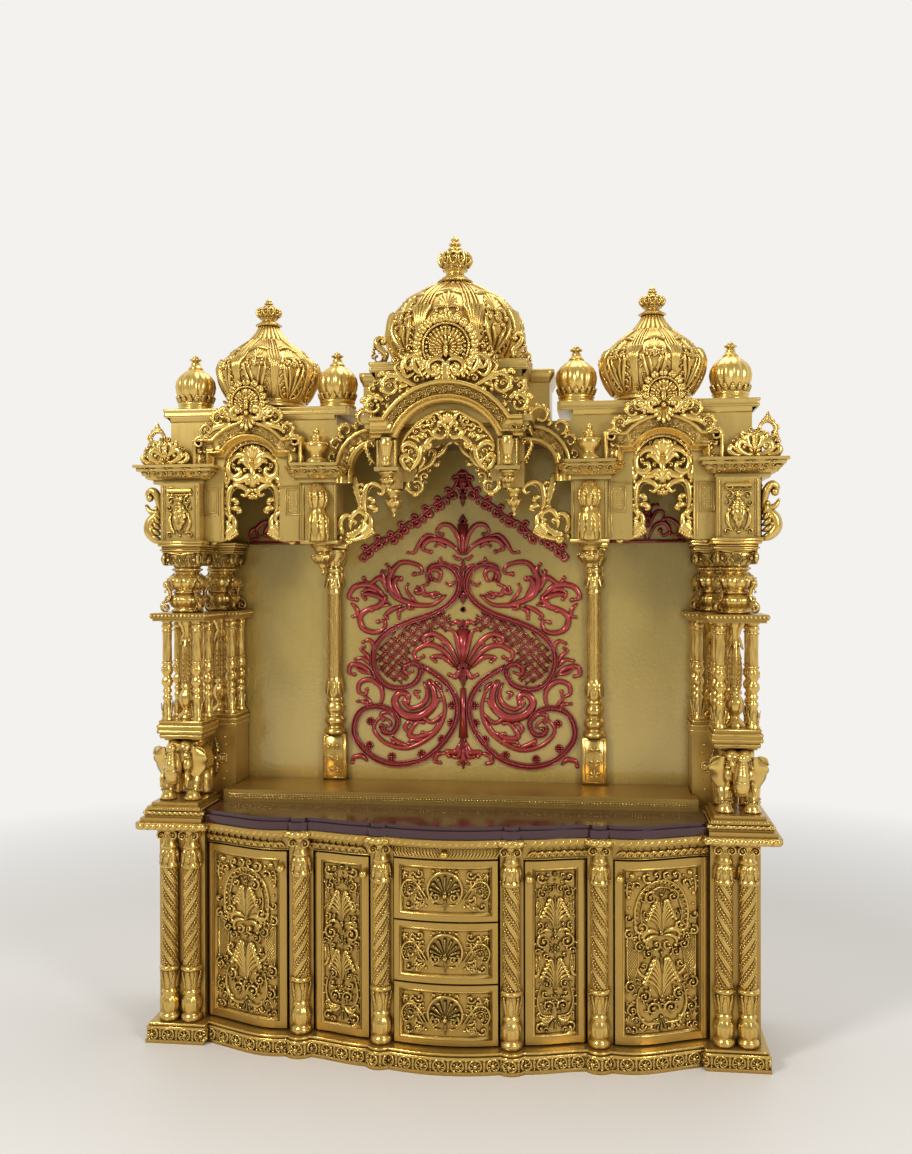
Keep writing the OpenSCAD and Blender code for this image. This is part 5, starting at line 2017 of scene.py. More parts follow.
def bead_row(sheets: Sheets, corners: Points, z: float, bead: float) -> None:
    """Adds beads along a line in plan.

    Args:
        sheets: The sheets that it joins.
        corners: The line's corners.
        z: Height of the beads.
        bead: Radius of a bead.
    """
    course = Course(corners)
    n = max(int(course.length / (bead * 2.2)), 2)
    c = Carving()
    c.dots(np.stack([(np.arange(n) + 0.5) * course.length / n, np.full(n, z)], axis=-1), bead, 1.0, around=7)
    c.lay(sheets, course)


def collar(sheets: Sheets, x: float, y: float, z0: float, z1: float, radii: Sequence[float], leaves: int,
        width: float, height: float = 3.0, lift: float = 2.5, lobes: int = 3) -> None:
    """Adds a ring of leaves from height z0 to z1 on a surface with evenly spaced radii.

    Args:
        sheets: The sheets that it joins.
        x: X of its axis.
        y: Y of its axis.
        z0: Height of the leaves' feet.
        z1: Height of their tips.
        radii: The surface's radii, from the lower height up.
        leaves: Number of leaves.
        width: Width of a leaf.
        height: Height of a leaf.
        lift: How far a tip stands off.
        lobes: Scallops along an edge.
    """
    lo, hi = min(z0, z1), max(z0, z1)
    heights = np.linspace(lo, hi, len(radii))
    for i in range(leaves):
        c = Carving()
        c.leaf([(0, z0), (0, z1)], width, height, lobes, lift=lift, across=5)
        c.lay(sheets, drum(x, y, radii, heights, turn=360 * i / leaves))


# ---------------------------------------------------------------- upper piers


@dataclass
class Elephant:
    """A standing elephant that carries a pier, its trunk raised to hold a ball."""

    x: float = 772.0
    z: float = 665.0

    def blob(self, sheets: Sheets, centre: Sequence[float], size: Sequence[float]) -> None:
        """Adds an egg-shaped swelling; size is its half extents.

        Args:
            sheets: The sheets that it joins.
            centre: Its middle.
            size: Its half extents.
        """
        fine = min(size) > 5
        v = np.radians(np.linspace(-88, 88, 14 if fine else 6))[:, None]
        a = -np.linspace(0, TAU, 24 if fine else 8, endpoint=False)[None]
        cv, ca, sa = np.cos(v), np.cos(a), np.sin(a)
        p = np.stack([cv * ca * size[0] + 0 * v, cv * sa * size[1] + 0 * v, np.sin(v) * size[2] + 0 * a], axis=-1)
        sheets.add(p + np.array(centre), ring=True, caps="ab")

    def tube(self, sheets: Sheets, knots: Points, radii: Sequence[float], rings: float = 0.0) -> None:
        """Adds a round limb through knots, with ring wrinkles of the given depth.

        Args:
            sheets: The sheets that it joins.
            knots: Points of its middle line.
            radii: Radii at even steps along it.
            rings: Depth of the wrinkles, as a share of the radius.
        """
        path = even_path(spline(knots, 12), 40)
        t = np.linspace(0, 1, 40)
        r = np.interp(t, np.linspace(0, 1, len(radii)), radii) * (1 - rings * np.abs(np.sin(t * math.pi * 14)) ** 4)
        d = np.gradient(path, axis=0)
        d /= np.linalg.norm(d, axis=1, keepdims=True)
        side = np.array([1.0, 0, 0])
        up = np.cross(side, d)
        a = -np.linspace(0, TAU, 16, endpoint=False)
        ring = np.cos(a)[None, :, None] * side + np.sin(a)[None, :, None] * up[:, None]
        sheets.add(path[:, None] + ring * r[:, None, None], ring=True, caps="ab")

    def ear(self, sheets: Sheets, side: int) -> None:
        """Adds a broad drooping ear with folds, a scalloped edge and a pointed tip.

        Args:
            sheets: The sheets that it joins.
            side: 1 for the right or -1 for the left.
        """
        u, v = np.meshgrid(np.linspace(0, 1, 13), np.linspace(0, 1, 25))
        reach = 42 * np.clip(np.sin(math.pi * (0.16 + 0.80 * v)), 0,
            1) ** 0.55 * (1 + 0.08 * np.abs(np.sin(3.5 * math.pi * v)))
        x = 37 + u * reach - 6 * v
        y = -84 + 20 * u**1.4 + 4.5 * np.sin(10 * v + 1.5 * u) * u + 10 * v
        z = 150 - 72 * v - 18 * u * v**3 - 5 * u**2
        front = np.stack([side * x, y, z], axis=-1)
        grid = np.concatenate([front, front[:, ::-1] + np.array([0, 5, 0])], axis=1)
        sheets.add(grid[:, ::-1] if side > 0 else grid, ring=True)

    def build(self) -> Sheets:
        """Returns the elephant about its own place.

        Returns:
            The sheets.
        """
        s = Sheets()
        self.blob(s, (0, 4, 92), (54, 62, 60))
        for x in (-36, 36):
            self.tube(s, [(x * 0.85, -26, 112), (x, -40, 70), (x, -52, 38), (x, -58, 20)], [28, 27, 23, 19], 0.06)
            lathe(s, [(18, 28), (17, 20), (20, 12), (24, 4), (24, 0), (1, 0)], x, -60, 0, 28, melon(10, 0.06, 0, 18))
            self.tube(s, [(x * 0.9, 34, 74), (x, 38, 30), (x, 38, 2)], [28, 22, 24])
            bead_ring(s, x, -58, 27, 20, 3.4)
            bead_ring(s, x, -57, 36, 21.5, 2.6)
            for k in (-1, 0, 1):
                self.blob(s, (x + k * 12, -82 + abs(k) * 4, 5), (5.5, 4, 5))
        self.blob(s, (0, -62, 118), (43, 36, 46))
        for x in (-15, 15):
            self.blob(s, (x * 1.1, -64, 146), (23, 25, 22))
            self.blob(s, (x * 1.75, -80, 98), (17, 19, 27))
            self.blob(s, (x * 2.0, -92, 124), (8, 5, 5))
            self.blob(s, (x * 2.05, -95.5, 123.5), (4, 3.6, 3))
            self.tube(s, [(x * 1.9, -90, 88), (x * 2.35, -106, 68), (x * 2.5, -113, 44)], [10, 8.5, 2.5])
            self.ear(s, 1 if x > 0 else -1)
            roll = [(x * 2.3, -84, 147), (x * 3.4, -84, 152), (x * 4.6, -74, 146), (x * 5.2, -66, 128)]
            self.tube(s, roll, [3.5, 5, 4.2, 2])
        self.tube(s, [(0, -88, 136), (0, -100, 112), (0, -102, 88), (0, -98, 72)], [12, 17, 20, 20], 0.03)
        self.tube(s, [(0, -92, 66), (1, -114, 70), (3, -124, 100), (4, -120, 142)], [17, 21, 16.5, 10.5], 0.16)
        self.blob(s, (4, -119, 152), (15, 15, 14))
        for way in (-1, 1):
            band = spline([(way * 5, -92, 146), (way * 20, -92, 142), (way * 34, -84, 138), (way * 42, -66, 142)], 12)
            self.tube(s, band, [2.6, 2.6])
            s.join(self.beads(band + np.array([0, -3, -4]), 2.4))
        cloth = np.radians(np.linspace(-100, 100, 22))
        y = np.linspace(-28, 52, 10)[:, None]
        s.add(np.stack([58 * np.sin(cloth)[None] + 0 * y, y + 0 * cloth[None],
            92 + 64 * np.cos(cloth)[None] + 0 * y], axis=-1)[:, ::-1])
        s.box((-44, -44, 140), (44, 46, 164), 3)
        s.box((-52, -52, 164), (52, 50, 173), 2)
        return s

    def beads(self, path: Array, radius: float) -> Sheets:
        """Returns round beads along a line in space.

        Args:
            path: The line.
            radius: Radius of a bead.

        Returns:
            The sheets.
        """
        s = Sheets()
        for spot in even_path(path, int(length_of(path) / (2.2 * radius))):
            self.blob(s, spot, (radius, radius, radius))
        return s


@dataclass
class UpperPiers:
    """The four upper piers: elephants, blocks, colonettes round a vase, beaded slabs, pots and capitals."""

    colonette_z: float = 888.0
    slab_z: float = 1170.0
    pot_z: float = 1192.0
    capital_z: float = 1310.0
    set_out: float = 44.0
    slab_half: float = 80.0

    def colonette(self, x: float, y: float, hand: int) -> Sheets:
        """Returns a twisted colonette with its foot, bulbs and bead rings.

        Args:
            x: X of its axis.
            y: Y of its axis.
            hand: 1 or -1, the way its strands wind.

        Returns:
            The sheets.
        """
        s = Sheets()
        z = self.colonette_z
        low = [(17, 0), (18, 4), (15, 8), (11, 12), (13, 40), (10, 54), (13, 60), (14, 66), (10, 71), (9, 76),
            (13, 80), (13, 86), (9, 91), (10, 95), (15, 101), (17, 109), (15, 118), (10, 124), (11, 128), (15, 134),
            (16, 144), (14, 153), (12, 158), (15, 161), (15, 166), (12, 168)]
        high = [(12, 250), (15, 252), (15, 256), (11, 258), (15, 262), (16.5, 267), (14, 273), (12, 276), (17, 279),
            (17, 282)]
        lathe(s, low, x, y, z, 24, melon(10, 0.16, 96, 123))
        lathe(s, high, x, y, z, 24, melon(10, 0.14, 257, 275))

        def twist(a: Array, h: Array, r: Array) -> Array:
            """Winds rope strands round the shaft."""
            return 11.2 + 2.0 * np.abs(np.sin((6 * a - hand * (h - 168) / 62 * TAU) / 2)) ** 0.7

        lathe(s, [(12, 168), (12, 250)], x, y, z, 36, twist, fine=3.6)
        collar(s, x, y, z + 8, z + 50, [12, 11, 12.5, 11], 5, 13, 4, 5, 3)
        bead_ring(s, x, y, z + 163, 14, 2.2)
        bead_ring(s, x, y, z + 253, 14, 2.2)
        for k in range(4):
            c = Carving()
            c.rosette((0, z + 144), 8, 6, 2.2)
            c.lay(s, drum(x, y, [15.2], turn=90 * k + 8))
        return s

    def vase(self, x: float, y: float) -> Sheets:
        """Returns the leafy baluster in the middle of a pier.

        Args:
            x: X of its axis.
            y: Y of its axis.

        Returns:
            The sheets.
        """
        s = Sheets()
        z = self.colonette_z
        profile = [(28, 0), (28, 5), (24, 12), (14, 22), (13, 30), (20, 38), (26, 52), (26, 66), (20, 78), (14, 84),
            (19, 88), (19, 94), (14, 98), (15, 110), (19, 150), (15, 205), (13, 214), (19, 232), (13, 246),
            (17, 250), (17, 256), (22, 266), (26, 272), (26, 282)]
        lathe(s, profile, x, y, z, 30, melon(12, 0.14, 34, 80))
        for k in range(6):
            c = Carving()
            c.spray(np.array([(0, z + 100 + 12 * i) for i in range(9)]), 6, 13, 5.5, 4.5, 55, 120)
            c.lay(s, drum(x, y, [14.5, 18.5, 15], [z + 98, z + 150, z + 205], turn=60 * k))
        collar(s, x, y, z + 236, z + 205, [20, 17, 15], 7, 16, 3, 5)
        return s

    def pots(self, x: float, y: float) -> Sheets:
        """Returns the stacked melon pots with bead strings and their collars.

        Args:
            x: X of its axis.
            y: Y of its axis.

        Returns:
            The sheets.
        """
        s = Sheets()
        low = [(40, 0), (44, 3), (44, 8), (36, 11), (46, 18), (53, 28), (55, 38), (50, 46), (40, 51), (36, 54)]
        high = [(36, 54), (40, 56), (40, 60), (34, 63), (46, 68), (55, 76), (58, 86), (56, 96), (46, 104),
            (36, 108), (33, 113), (38, 118)]
        lathe(s, low, x, y, self.pot_z, 60, melon(20, 0.12, 11, 50))
        lathe(s, high, x, y, self.pot_z, 60, melon(12, 0.10, 63, 107))
        shape = lambda q: np.interp(q - self.pot_z, [63, 68, 76, 86, 96, 104], [34, 46, 55, 58, 56, 46])
        for k in range(12):
            c = Carving()
            c.string([(0, self.pot_z + h) for h in (67, 76, 86, 96, 103)], 2.3, 2.3, 1.0, 1.0)
            c.lay(s, Round(x, y, shape, turn=30 * k))
        bead_ring(s, x, y, self.pot_z + 5.5, 43, 2.6)
        bead_ring(s, x, y, self.pot_z + 58, 39, 2.4)
        collar(s, x, y, self.pot_z + 92, self.pot_z + 112, [56, 46, 34], 12, 17, 3, 2)
        return s

    def corner_scrolls(self, x: float, y: float) -> Sheets:
        """Returns the curled scrolls that climb from the slab's corners to the pots.

        Args:
            x: X of its axis.
            y: Y of its axis.

        Returns:
            The sheets.
        """
        s = Sheets()
        reach = self.slab_half - 14
        for dx in (-1, 1):
            for dy in (-1, 1):
                heading = np.array([dx, dy]) / math.sqrt(2)
                c = Carving(5.0)
                c.volute((70, 18), 17, 90, -1.25, 10, 6)
                c.stroke(smooth_path([(70, 35), (60, 44), (56, 58), (62, 74), (72, 86), (66, 96)], 16),
                    taper(16, 0.9, 0.2, 0.5) * 13, 6)
                c.volute((69, 84), 10, 100, -1.1, 7, 5)
                for q, h in (((60, 48), 20), ((58, 60), 150), ((62, 70), 10)):
                    c.curl(q, h, 16, -120, 6, 5)
                turn = Plane((x, y, self.pot_z), (heading[0], heading[1], 0), (0, 0, 1))
                scale = reach * math.sqrt(2) / 100
                c.copy(scale=scale, tall=1.0).lay(s, turn)
        return s

    def capital(self, x: float, y: float) -> Sheets:
        """Returns a capital with four volute faces, a leaf neck and a stepped abacus.

        Args:
            x: X of its axis.
            y: Y of its axis.

        Returns:
            The sheets.
        """
        s = Sheets()
        z = self.capital_z
        lathe(s, [(36, 0), (42, 2), (42, 7), (34, 10), (38, 20), (48, 34), (50, 48)], x, y, z, 48)
        bead_ring(s, x, y, z + 5, 41.5, 3.0)
        collar(s, x, y, z + 10, z + 34, [34, 40, 48], 12, 20, 3, 3)
        for right, out in (((1, 0, 0), (0, -1)), ((0, 1, 0), (1, 0)), ((-1, 0, 0), (0, 1)), ((0, -1, 0), (-1, 0))):
            c = Carving()
            c.volute((38, 33), 19, 95, -1.5, 8, 7, True)
            c.stroke([(0, 47), (18, 50), (38, 52)], 7, 7)
            c.fan((0, 14), 42, 5, 78, 10, 8)
            c.curl((8, 26), 60, 18, -110, 6, 6)
            c.mirror().lay(s, Plane((x + out[0] * 47, y + out[1] * 47, z), right))
        for low, high, half in ((28, 50, 48), (52, 57, 55), (57, 62, 60), (62, 70, 56), (70, 78, 64), (78, 85, 66)):
            s.box((x - half, y - half, z + low), (x + half, y + half, z + high), 1.5)
        return s

    def block_mouldings(self, s: Sheets, x: float, y: float) -> None:
        """Adds rounded mouldings round a pier block.

        Args:
            s: The sheets that it joins.
            x: X of its axis.
            y: Y of its axis.
        """
        for half, z, r in ((60, 845, 3.5), (66.3, 858, 3), (66.3, 872, 3), (62.3, 884, 3)):
            square = np.array([(x - half, y + half), (x - half, y - half), (x + half, y - half),
                (x + half, y + half), (x - half, y + half)])
            a = np.radians(np.linspace(-90, 90, 6))
            s.add(swept(Course(square, step=6), [(r * math.cos(t) * 0.7 - 0.2, z + r * math.sin(t)) for t in a]))

    def panel(self) -> Carving:
        """Returns the leaf cross of a rear pedestal's face.

        Returns:
            The carving.
        """
        c = Carving()
        c.leaf([(0, 6), (0, 64)], 34, 8, 5)
        c.leaf([(0, -6), (0, -60)], 30, 8, 5)
        c.leaf([(6, 0), (34, 0)], 30, 7, 4)
        for h in (35, 60, -35, -60):
            c.curl((8, 0), h, 34, -120 if h > 0 else 120, 9, 7)
        for q in ((34, 40), (36, -40), (30, 62), (28, -62)):
            c.dots([q], 4.5, 1.0)
        c.mirror()
        c.dots([(0, 0)], 9, 1.0)
        return c

    def build(self) -> None:
        """Builds the piers on both sides."""
        dress(SATIN, "pier_blocks", "rear_pedestals", "bead_slabs")
        shafts, vases, pots, capitals, edges = (Sheets() for _ in range(5))
        for x, y in ((PLAN.front_x, PLAN.front_y), (PLAN.rear_x, PLAN.rear_y)):
            for dx in (-1, 1):
                for dy in (-1, 1):
                    shafts.join(self.colonette(x + dx * self.set_out, y + dy * self.set_out, -dx))
            vases.join(self.vase(x, y))
            pots.join(self.pots(x, y))
            pots.join(self.corner_scrolls(x, y))
            capitals.join(self.capital(x, y))
            self.block_mouldings(edges, x, y)
            h = self.slab_half
            far = min(y + h, 229)
            bead_row(edges, [(x - h, far), (x - h, y - h), (x + h, y - h), (x + h, far)], self.slab_z + 15, 5.0)
        flower = self.panel()
        flower.copy((PLAN.rear_x, 757)).lay(edges, Plane((0, PLAN.rear_y - 63, 0)))
        place("colonettes_turned", shafts.mirrored(), TURNED, "colonettes")
        place("pier_vases_turned", vases.mirrored(), TURNED, "pier_vases")
        place("pots_turned", pots.mirrored(), TURNED, "pots")
        place("capitals_carved", capitals.mirrored(), TURNED, "capitals")
        place("pier_mouldings", edges.mirrored(), SATIN_CARVED)
        beast = Elephant()
        for side, name in ((1, "elephant_right"), (-1, "elephant_left")):
            s = Sheets()
            s.join(beast.build(), lambda p: p * np.array([side, 1, 1]) + np.array([side * beast.x, 0, beast.z]),
                flip=side < 0)
            place(name + "_carved", s, TURNED, name)


# ---------------------------------------------------------------- back panel


@dataclass
class BackPanel:
    """The glossy back wall with its red scrollwork, gable trim, pilasters and wing crests."""

    wall_y: float = 230.0
    pilaster_x: float = 390.0
    back: float = 229.5

    def upper_part(self) -> Carving:
        """Returns the right half of the scrollwork above the beaded bands' middle.

        Returns:
            The carving.
        """
        c = Carving(2.5, 1.35)
        c.leaf([(0, 1449), (0, 1481)], 30, 8, 3)
        c.stroke([(0, 1357), (0, 1400), (0, 1449)], [8, 10, 26], 7)
        c.dots([(0, 1457)], 9, 1.0)
        limbs(c, (
            (12, 6, 1361, 15, 1414, 38, 1446, 66, 1447, 79, 1426, 61, 1419),
            (14, 8, 1359, 33, 1387, 73, 1405, 108, 1400, 122, 1376, 98, 1367),
            (11, 76, 1412, 108, 1417, 133, 1391, 148, 1365, 167, 1365), (9, 4, 1347, 17, 1345, 27, 1354),
            (10, 51, 1379, 70, 1394, 82, 1384), (9, 51, 1336, 70, 1335, 66, 1348), (8, 4, 1308, 22, 1325, 51, 1327),
            (12, 104, 1270, 108, 1301, 86, 1315, 67, 1304, 73, 1280, 86, 1283),
            (15, 51, 1238, 86, 1210, 124, 1206, 156, 1211, 211, 1238, 225, 1290, 190, 1334, 136, 1328, 124, 1304,
                148, 1300), (17, 184, 1223, 209, 1260, 204, 1287, 190, 1286),
            (12, 86, 1245, 114, 1238, 124, 1260, 108, 1270), (9, 61, 1238, 93, 1230, 86, 1245, 73, 1242),
            (9, 135, 1210, 163, 1238, 172, 1258, 167, 1270), (12, 117, 1245, 142, 1245, 138, 1260),
            (8, 22, 1280, 40, 1266, 51, 1273), (12, 222, 1280, 219, 1308, 231, 1329),
            (13, 228, 1245, 251, 1289, 286, 1270, 302, 1289),
            (15, 230, 1224, 276, 1266, 328, 1263, 349, 1230, 325, 1223),
            (12, 226, 1213, 269, 1237, 307, 1238, 298, 1225), (10, 233, 1273, 247, 1308, 237, 1308),
            (12, 262, 1245, 286, 1255, 307, 1245), (11, 342, 1213, 325, 1196, 322, 1176, 336, 1172),
            (14, 219, 1208, 272, 1201, 312, 1175, 307, 1138, 272, 1124, 242, 1135, 238, 1159, 259, 1156),
            (16, 233, 1238, 254, 1206, 279, 1192), (12, 184, 1206, 214, 1194, 238, 1175, 231, 1168),
            (11, 170, 1201, 193, 1189, 195, 1168), (11, 142, 1203, 163, 1208, 163, 1196, 153, 1197),
        ))
        beads_along(c, [(214, 1273), (198, 1322), (163, 1331), (136, 1322)], 2.2, 6)
        beads_along(c, [(254, 1131), (293, 1136), (307, 1161)], 2.0, 6)
        beads_along(c, [(93, 1410), (117, 1396), (122, 1379)], 2.0, 6)
        c.leaf([(0, 1301), (0, 1347)], 22, 7, 3)
        c.leaf([(0, 1308), (0, 1245)], 16, 7, 3)
        c.leaf([(0, 1245), (0, 1208)], 26, 8, 3)
        c.dots([(0, 1194)], 9, 1.0)
        return c

    def lattice(self) -> Carving:
        """Returns the woven strips behind the right half of the scrollwork.

        Returns:
            The carving.
        """
        edge = np.array([(40, 1192), (107, 1175), (163, 1150), (219, 1120), (254, 1083), (267, 1045), (254, 1002),
            (219, 976), (181, 969), (163, 985), (184, 1020), (156, 1038), (160, 1073), (121, 1094), (128, 1111),
            (86, 1133), (51, 1122), (30, 1157)])
        c = Carving(1.5)
        for angle in (38, -48):
            d = np.array([math.cos(math.radians(angle)), math.sin(math.radians(angle))])
            for k in range(-9, 10):
                for off in (-4.2, 4.2):
                    foot = np.array([165, 1070]) + np.array([-d[1], d[0]]) * (k * 24 + off)
                    line = foot + d * np.linspace(-190, 190, 77)[:, None]
                    keep = inside(edge, line)
                    edges = np.flatnonzero(np.diff(np.concatenate([[0], keep, [0]])))
                    for lo, hi in edges.reshape(-1, 2):
                        if hi - lo > 4:
                            c.stroke(line[lo:hi][::3], 5.2, 4.0, around=4)
        return c

    def lower_part(self) -> Carving:
        """Returns the right half of the scrollwork's middle palmette and lower volutes.

        Returns:
            The carving.
        """
        c = Carving(2.5, 1.35)
        c.stroke([(0, 1034), (0, 1076), (0, 1133)], [11, 14, 30], 8)
        c.leaf([(0, 1133), (0, 1166)], 36, 9, 3)
        c.leaf([(0, 1013), (0, 1045)], 50, 9, 5)
        c.leaf([(0, 1027), (0, 957)], 34, 8, 5)
        c.dots([(0, 1145), (0, 1019), (0, 937)], 7, 1.0)
        c.stroke([(0, 957), (0, 886), (0, 809)], [14, 11, 22], 7)
        limbs(c, (
            (13, 6, 1038, 17, 1097, 27, 1127, 45, 1135), (13, 1, 1133, 15, 1157, 31, 1152),
            (14, 10, 1027, 45, 1089, 86, 1120, 120, 1109, 112, 1092, 95, 1104),
            (14, 18, 1021, 61, 1072, 108, 1088, 148, 1066, 141, 1043, 121, 1052),
            (12, 25, 1019, 61, 1051, 97, 1050, 84, 1038), (9, 51, 1085, 58, 1097, 62, 1085),
            (13, 8, 1020, 22, 992, 42, 998), (10, 156, 1031, 179, 1020, 172, 1000, 153, 1007),
            (11, 276, 1055, 273, 1083, 286, 1101, 306, 1094), (10, 277, 1027, 293, 1055, 312, 1073, 301, 1080),
            (11, 279, 1020, 304, 1045, 329, 1043), (13, 274, 992, 304, 1020, 340, 1026, 349, 1002, 332, 996),
            (10, 279, 999, 311, 1006, 328, 1019),
            (13, 262, 897, 246, 922, 251, 958, 283, 981, 315, 971, 319, 944, 297, 936, 294, 951),
            (11, 293, 890, 295, 911, 322, 915), (9, 276, 901, 290, 922, 307, 936),
            (22, 108, 983, 89, 944, 93, 902, 135, 871, 186, 881, 209, 915, 191, 941, 166, 933, 172, 915),
            (13, 120, 976, 108, 943, 120, 911, 156, 896, 183, 915, 169, 929), (10, 129, 948, 146, 943, 135, 929),
            (12, 101, 983, 66, 943, 56, 886, 86, 823, 163, 777, 233, 788, 273, 830, 254, 865, 226, 858, 219, 843,
                236, 840), (8, 86, 978, 70, 964, 65, 950), (10, 61, 922, 75, 922, 82, 903),
            (11, 58, 886, 93, 855, 124, 872, 112, 879), (12, 65, 865, 93, 823, 124, 823),
            (14, 86, 830, 135, 809, 165, 816, 142, 851, 122, 854), (11, 163, 816, 177, 837, 163, 855, 150, 846),
            (12, 107, 802, 156, 799, 167, 788), (12, 163, 780, 198, 792, 217, 805, 212, 791),
            (11, 205, 858, 226, 883, 251, 876, 244, 858), (14, 4, 802, 22, 767, 52, 767, 44, 754),
            (13, 1, 795, 15, 753, 31, 752), (12, 51, 763, 79, 757, 86, 737, 70, 733),
            (13, 293, 733, 311, 749, 335, 744, 339, 730), (11, 0, 781, 3, 746, 15, 732),
        ))
        beads_along(c, [(112, 971), (101, 929), (128, 890), (177, 888), (198, 915)], 2.2, 7)
        c.leaf([(0, 809), (0, 714)], 30, 8, 5)
        for q in [(286, 782), (218, 749), (127, 759), (66, 804), (37, 854), (34, 906), (283, 855)]:
            c.rosette(q, 12.5, 8, 6)
        for q in [(51, 950), (86, 992)]:
            c.dots(q, 4, 1.0)
        return c

    def scrollwork(self) -> Carving:
        """Returns the whole pierced scrollwork.

        Returns:
            The carving.
        """
        c = Carving(2.5)
        band_a = [(96, 1279), (101, 1318), (62, 1329), (29, 1313), (12, 1279), (18, 1240), (46, 1207), (96, 1179),
            (163, 1157), (224, 1129), (263, 1090), (275, 1046), (263, 996), (229, 962), (185, 957), (146, 973),
            (129, 1007), (140, 1029), (168, 1029), (179, 1012)]
        band_b = [(129, 1024), (85, 1001), (46, 968), (21, 924), (18, 879), (35, 829), (74, 779), (129, 740),
            (207, 726), (274, 746), (324, 796), (333, 840), (313, 885), (268, 901), (224, 890), (199, 857),
            (213, 823), (241, 823), (249, 843)]
        for band in (band_a, band_b):
            c.beaded_band(smooth_path(band, 170), 18, 10)
            c.dots([band[-1]], 7, 1.3)
        c.take(self.lattice())
        c.take(self.upper_part())
        c.take(self.lower_part())
        return c.mirror()

    def gable(self) -> Carving:
        """Returns the scrolls under the canopy's gable.

        Returns:
            The carving.
        """
        c = Carving(2.5)
        spine = smooth_path([(303, 1364), (262, 1398), (214, 1414), (176, 1448), (132, 1470), (96, 1502),
            (52, 1530), (22, 1566), (4, 1612)], 80)
        c.stroke(spine, 9 + 3 * np.sin(np.linspace(0, 30, 80)), 7)
        c.string(spine, 2.2, 2.6, 1.0, 5.5)
        for i in range(9):
            t = (i + 0.4) / 9
            at, heading = heading_at(spine, t)
            c.curl(at, heading + 62, 52, 330, 13, 8, 1.5)
            c.curl(at, heading - 58, 38, -300, 11, 7, 1.5)
            c.curl(at + np.array([-6, 8]), heading + 20, 30, 150, 13, 8)
            c.dots(at, 5.5, 1.4)
        c.leaf([(0, 1556), (0, 1613)], 34, 9, 5)
        c.leaf([(0, 1548), (0, 1500)], 24, 8, 3)
        limb(c, [(300, 1366), (312, 1350), (300, 1340), (292, 1350)], 12)
        return c.mirror()

    def wing(self) -> Carving:
        """Returns the crest behind an opening at the side.

        Returns:
            The carving.
        """
        c = Carving(3.0)
        c.stroke([(-112, 1396), (112, 1396)], 10, 8)
        half = Carving(3.0)
        limbs(half, (
            (14, 4, 1402, 20, 1440, 50, 1450, 66, 1426, 46, 1412, 38, 1428),
            (13, 30, 1448, 62, 1462, 92, 1440, 84, 1414, 66, 1420), (12, 80, 1446, 108, 1434, 110, 1410, 94, 1408),
            (12, 6, 1440, 24, 1480, 46, 1482, 48, 1462), (11, 2, 1470, 14, 1500, 30, 1502),
        ))
        half.leaf([(0, 1440), (0, 1522)], 34, 9, 5)
        c.take(half.mirror())
        return c

    def pilasters(self) -> Sheets:
        """Returns the carved pilasters of the back wall.

        Returns:
            The sheets.
        """
        s = Sheets()
        x, y = self.pilaster_x, 214.0
        s.box((x - 36, 204, 679), (x + 36, self.back, 819), 2)
        turned_lengths = (([(30, 819), (33, 823), (33, 830), (24, 838), (22, 842), (30, 852), (31, 862), (24, 872),
            (20, 876), (27, 886), (29, 897), (26, 908), (20, 914), (24, 918), (24, 926), (20, 930)],
            melon(12, 0.14, 842, 912)), ([(20, 930), (24, 940), (25, 980), (22, 986), (22, 992)],
            melon(8, 0.1, 930, 980)), ([(20, 992), (20, 1240)], lambda a, h, r: r * (1 + 0.05 * np.cos(12 * a))),
            ([(22, 1240), (24, 1246), (20, 1252), (24, 1262), (28, 1300), (22, 1306), (26, 1312), (26, 1318),
            (22, 1322), (30, 1340), (34, 1352), (34, 1372)], melon(12, 0.12, 1252, 1304)),)
        for profile, shape in turned_lengths:
            lathe(s, profile, x, y, 0, 28, shape, 6, back=self.back)
        s.box((x - 34, 196, 1366), (x + 34, self.back, 1376), 1.5)
        s.box((x - 42, 194, 1376), (x + 42, self.back, 1395), 2)
        c = Carving()
        c.stroke([(-28, 687), (28, 687), (28, 811), (-28, 811), (-28, 687), (-20, 687)], 4, 3)
        for z in (700, 735, 770):
            c.fan((0, z), 26, 5, 120, 9, 5)
            c.curls((2, z + 4, 70, 26, -170, 8, 5), (-2, z + 4, 110, 26, 170, 8, 5))
        c.lay(s, Plane((x, 204, 0)))
        flutes = Carving()
        for k in range(-3, 4):
            flutes.string([(k * 9, z) for z in range(1000, 1236, 6)], 1.9, 2.4, 1.0)
        flutes.lay(s, drum(x, y, [20.6]))
        collar(s, x, y, 1302, 1256, [27, 25, 22], 8, 18, 3, 4)
        collar(s, x, y, 1324, 1352, [26, 29, 33], 8, 18, 3, 4)
        collar(s, x, y, 978, 936, [25, 25, 24], 8, 18, 3, 2)
        return s

    def build(self) -> None:
        """Builds the panel's pieces."""
        dress(GLOSS, "back_wall")
        wall = Plane((0, self.wall_y - 2.0, 0))
        carved, trim, crests = Sheets(), Sheets(), Sheets()
        self.scrollwork().lay(carved, wall)
        self.gable().lay(trim, wall)
        for side in (-1, 1):
            self.wing().copy((side * 545, 0)).lay(crests, wall)
        place("back_scrollwork_carved", carved, RED, "back_scrollwork")
        place("gable_trim_carved", trim, RED, "gable_trim")
        place("wing_crests_carved", crests, RED, "wing_crests")
        place("back_pilasters_carved", self.pilasters().mirrored(), TURNED, "back_pilasters")


# ---------------------------------------------------------------- canopy


# The plane that the hanging toranas are drawn on.
HANGING = Plane((0, -2, 0))


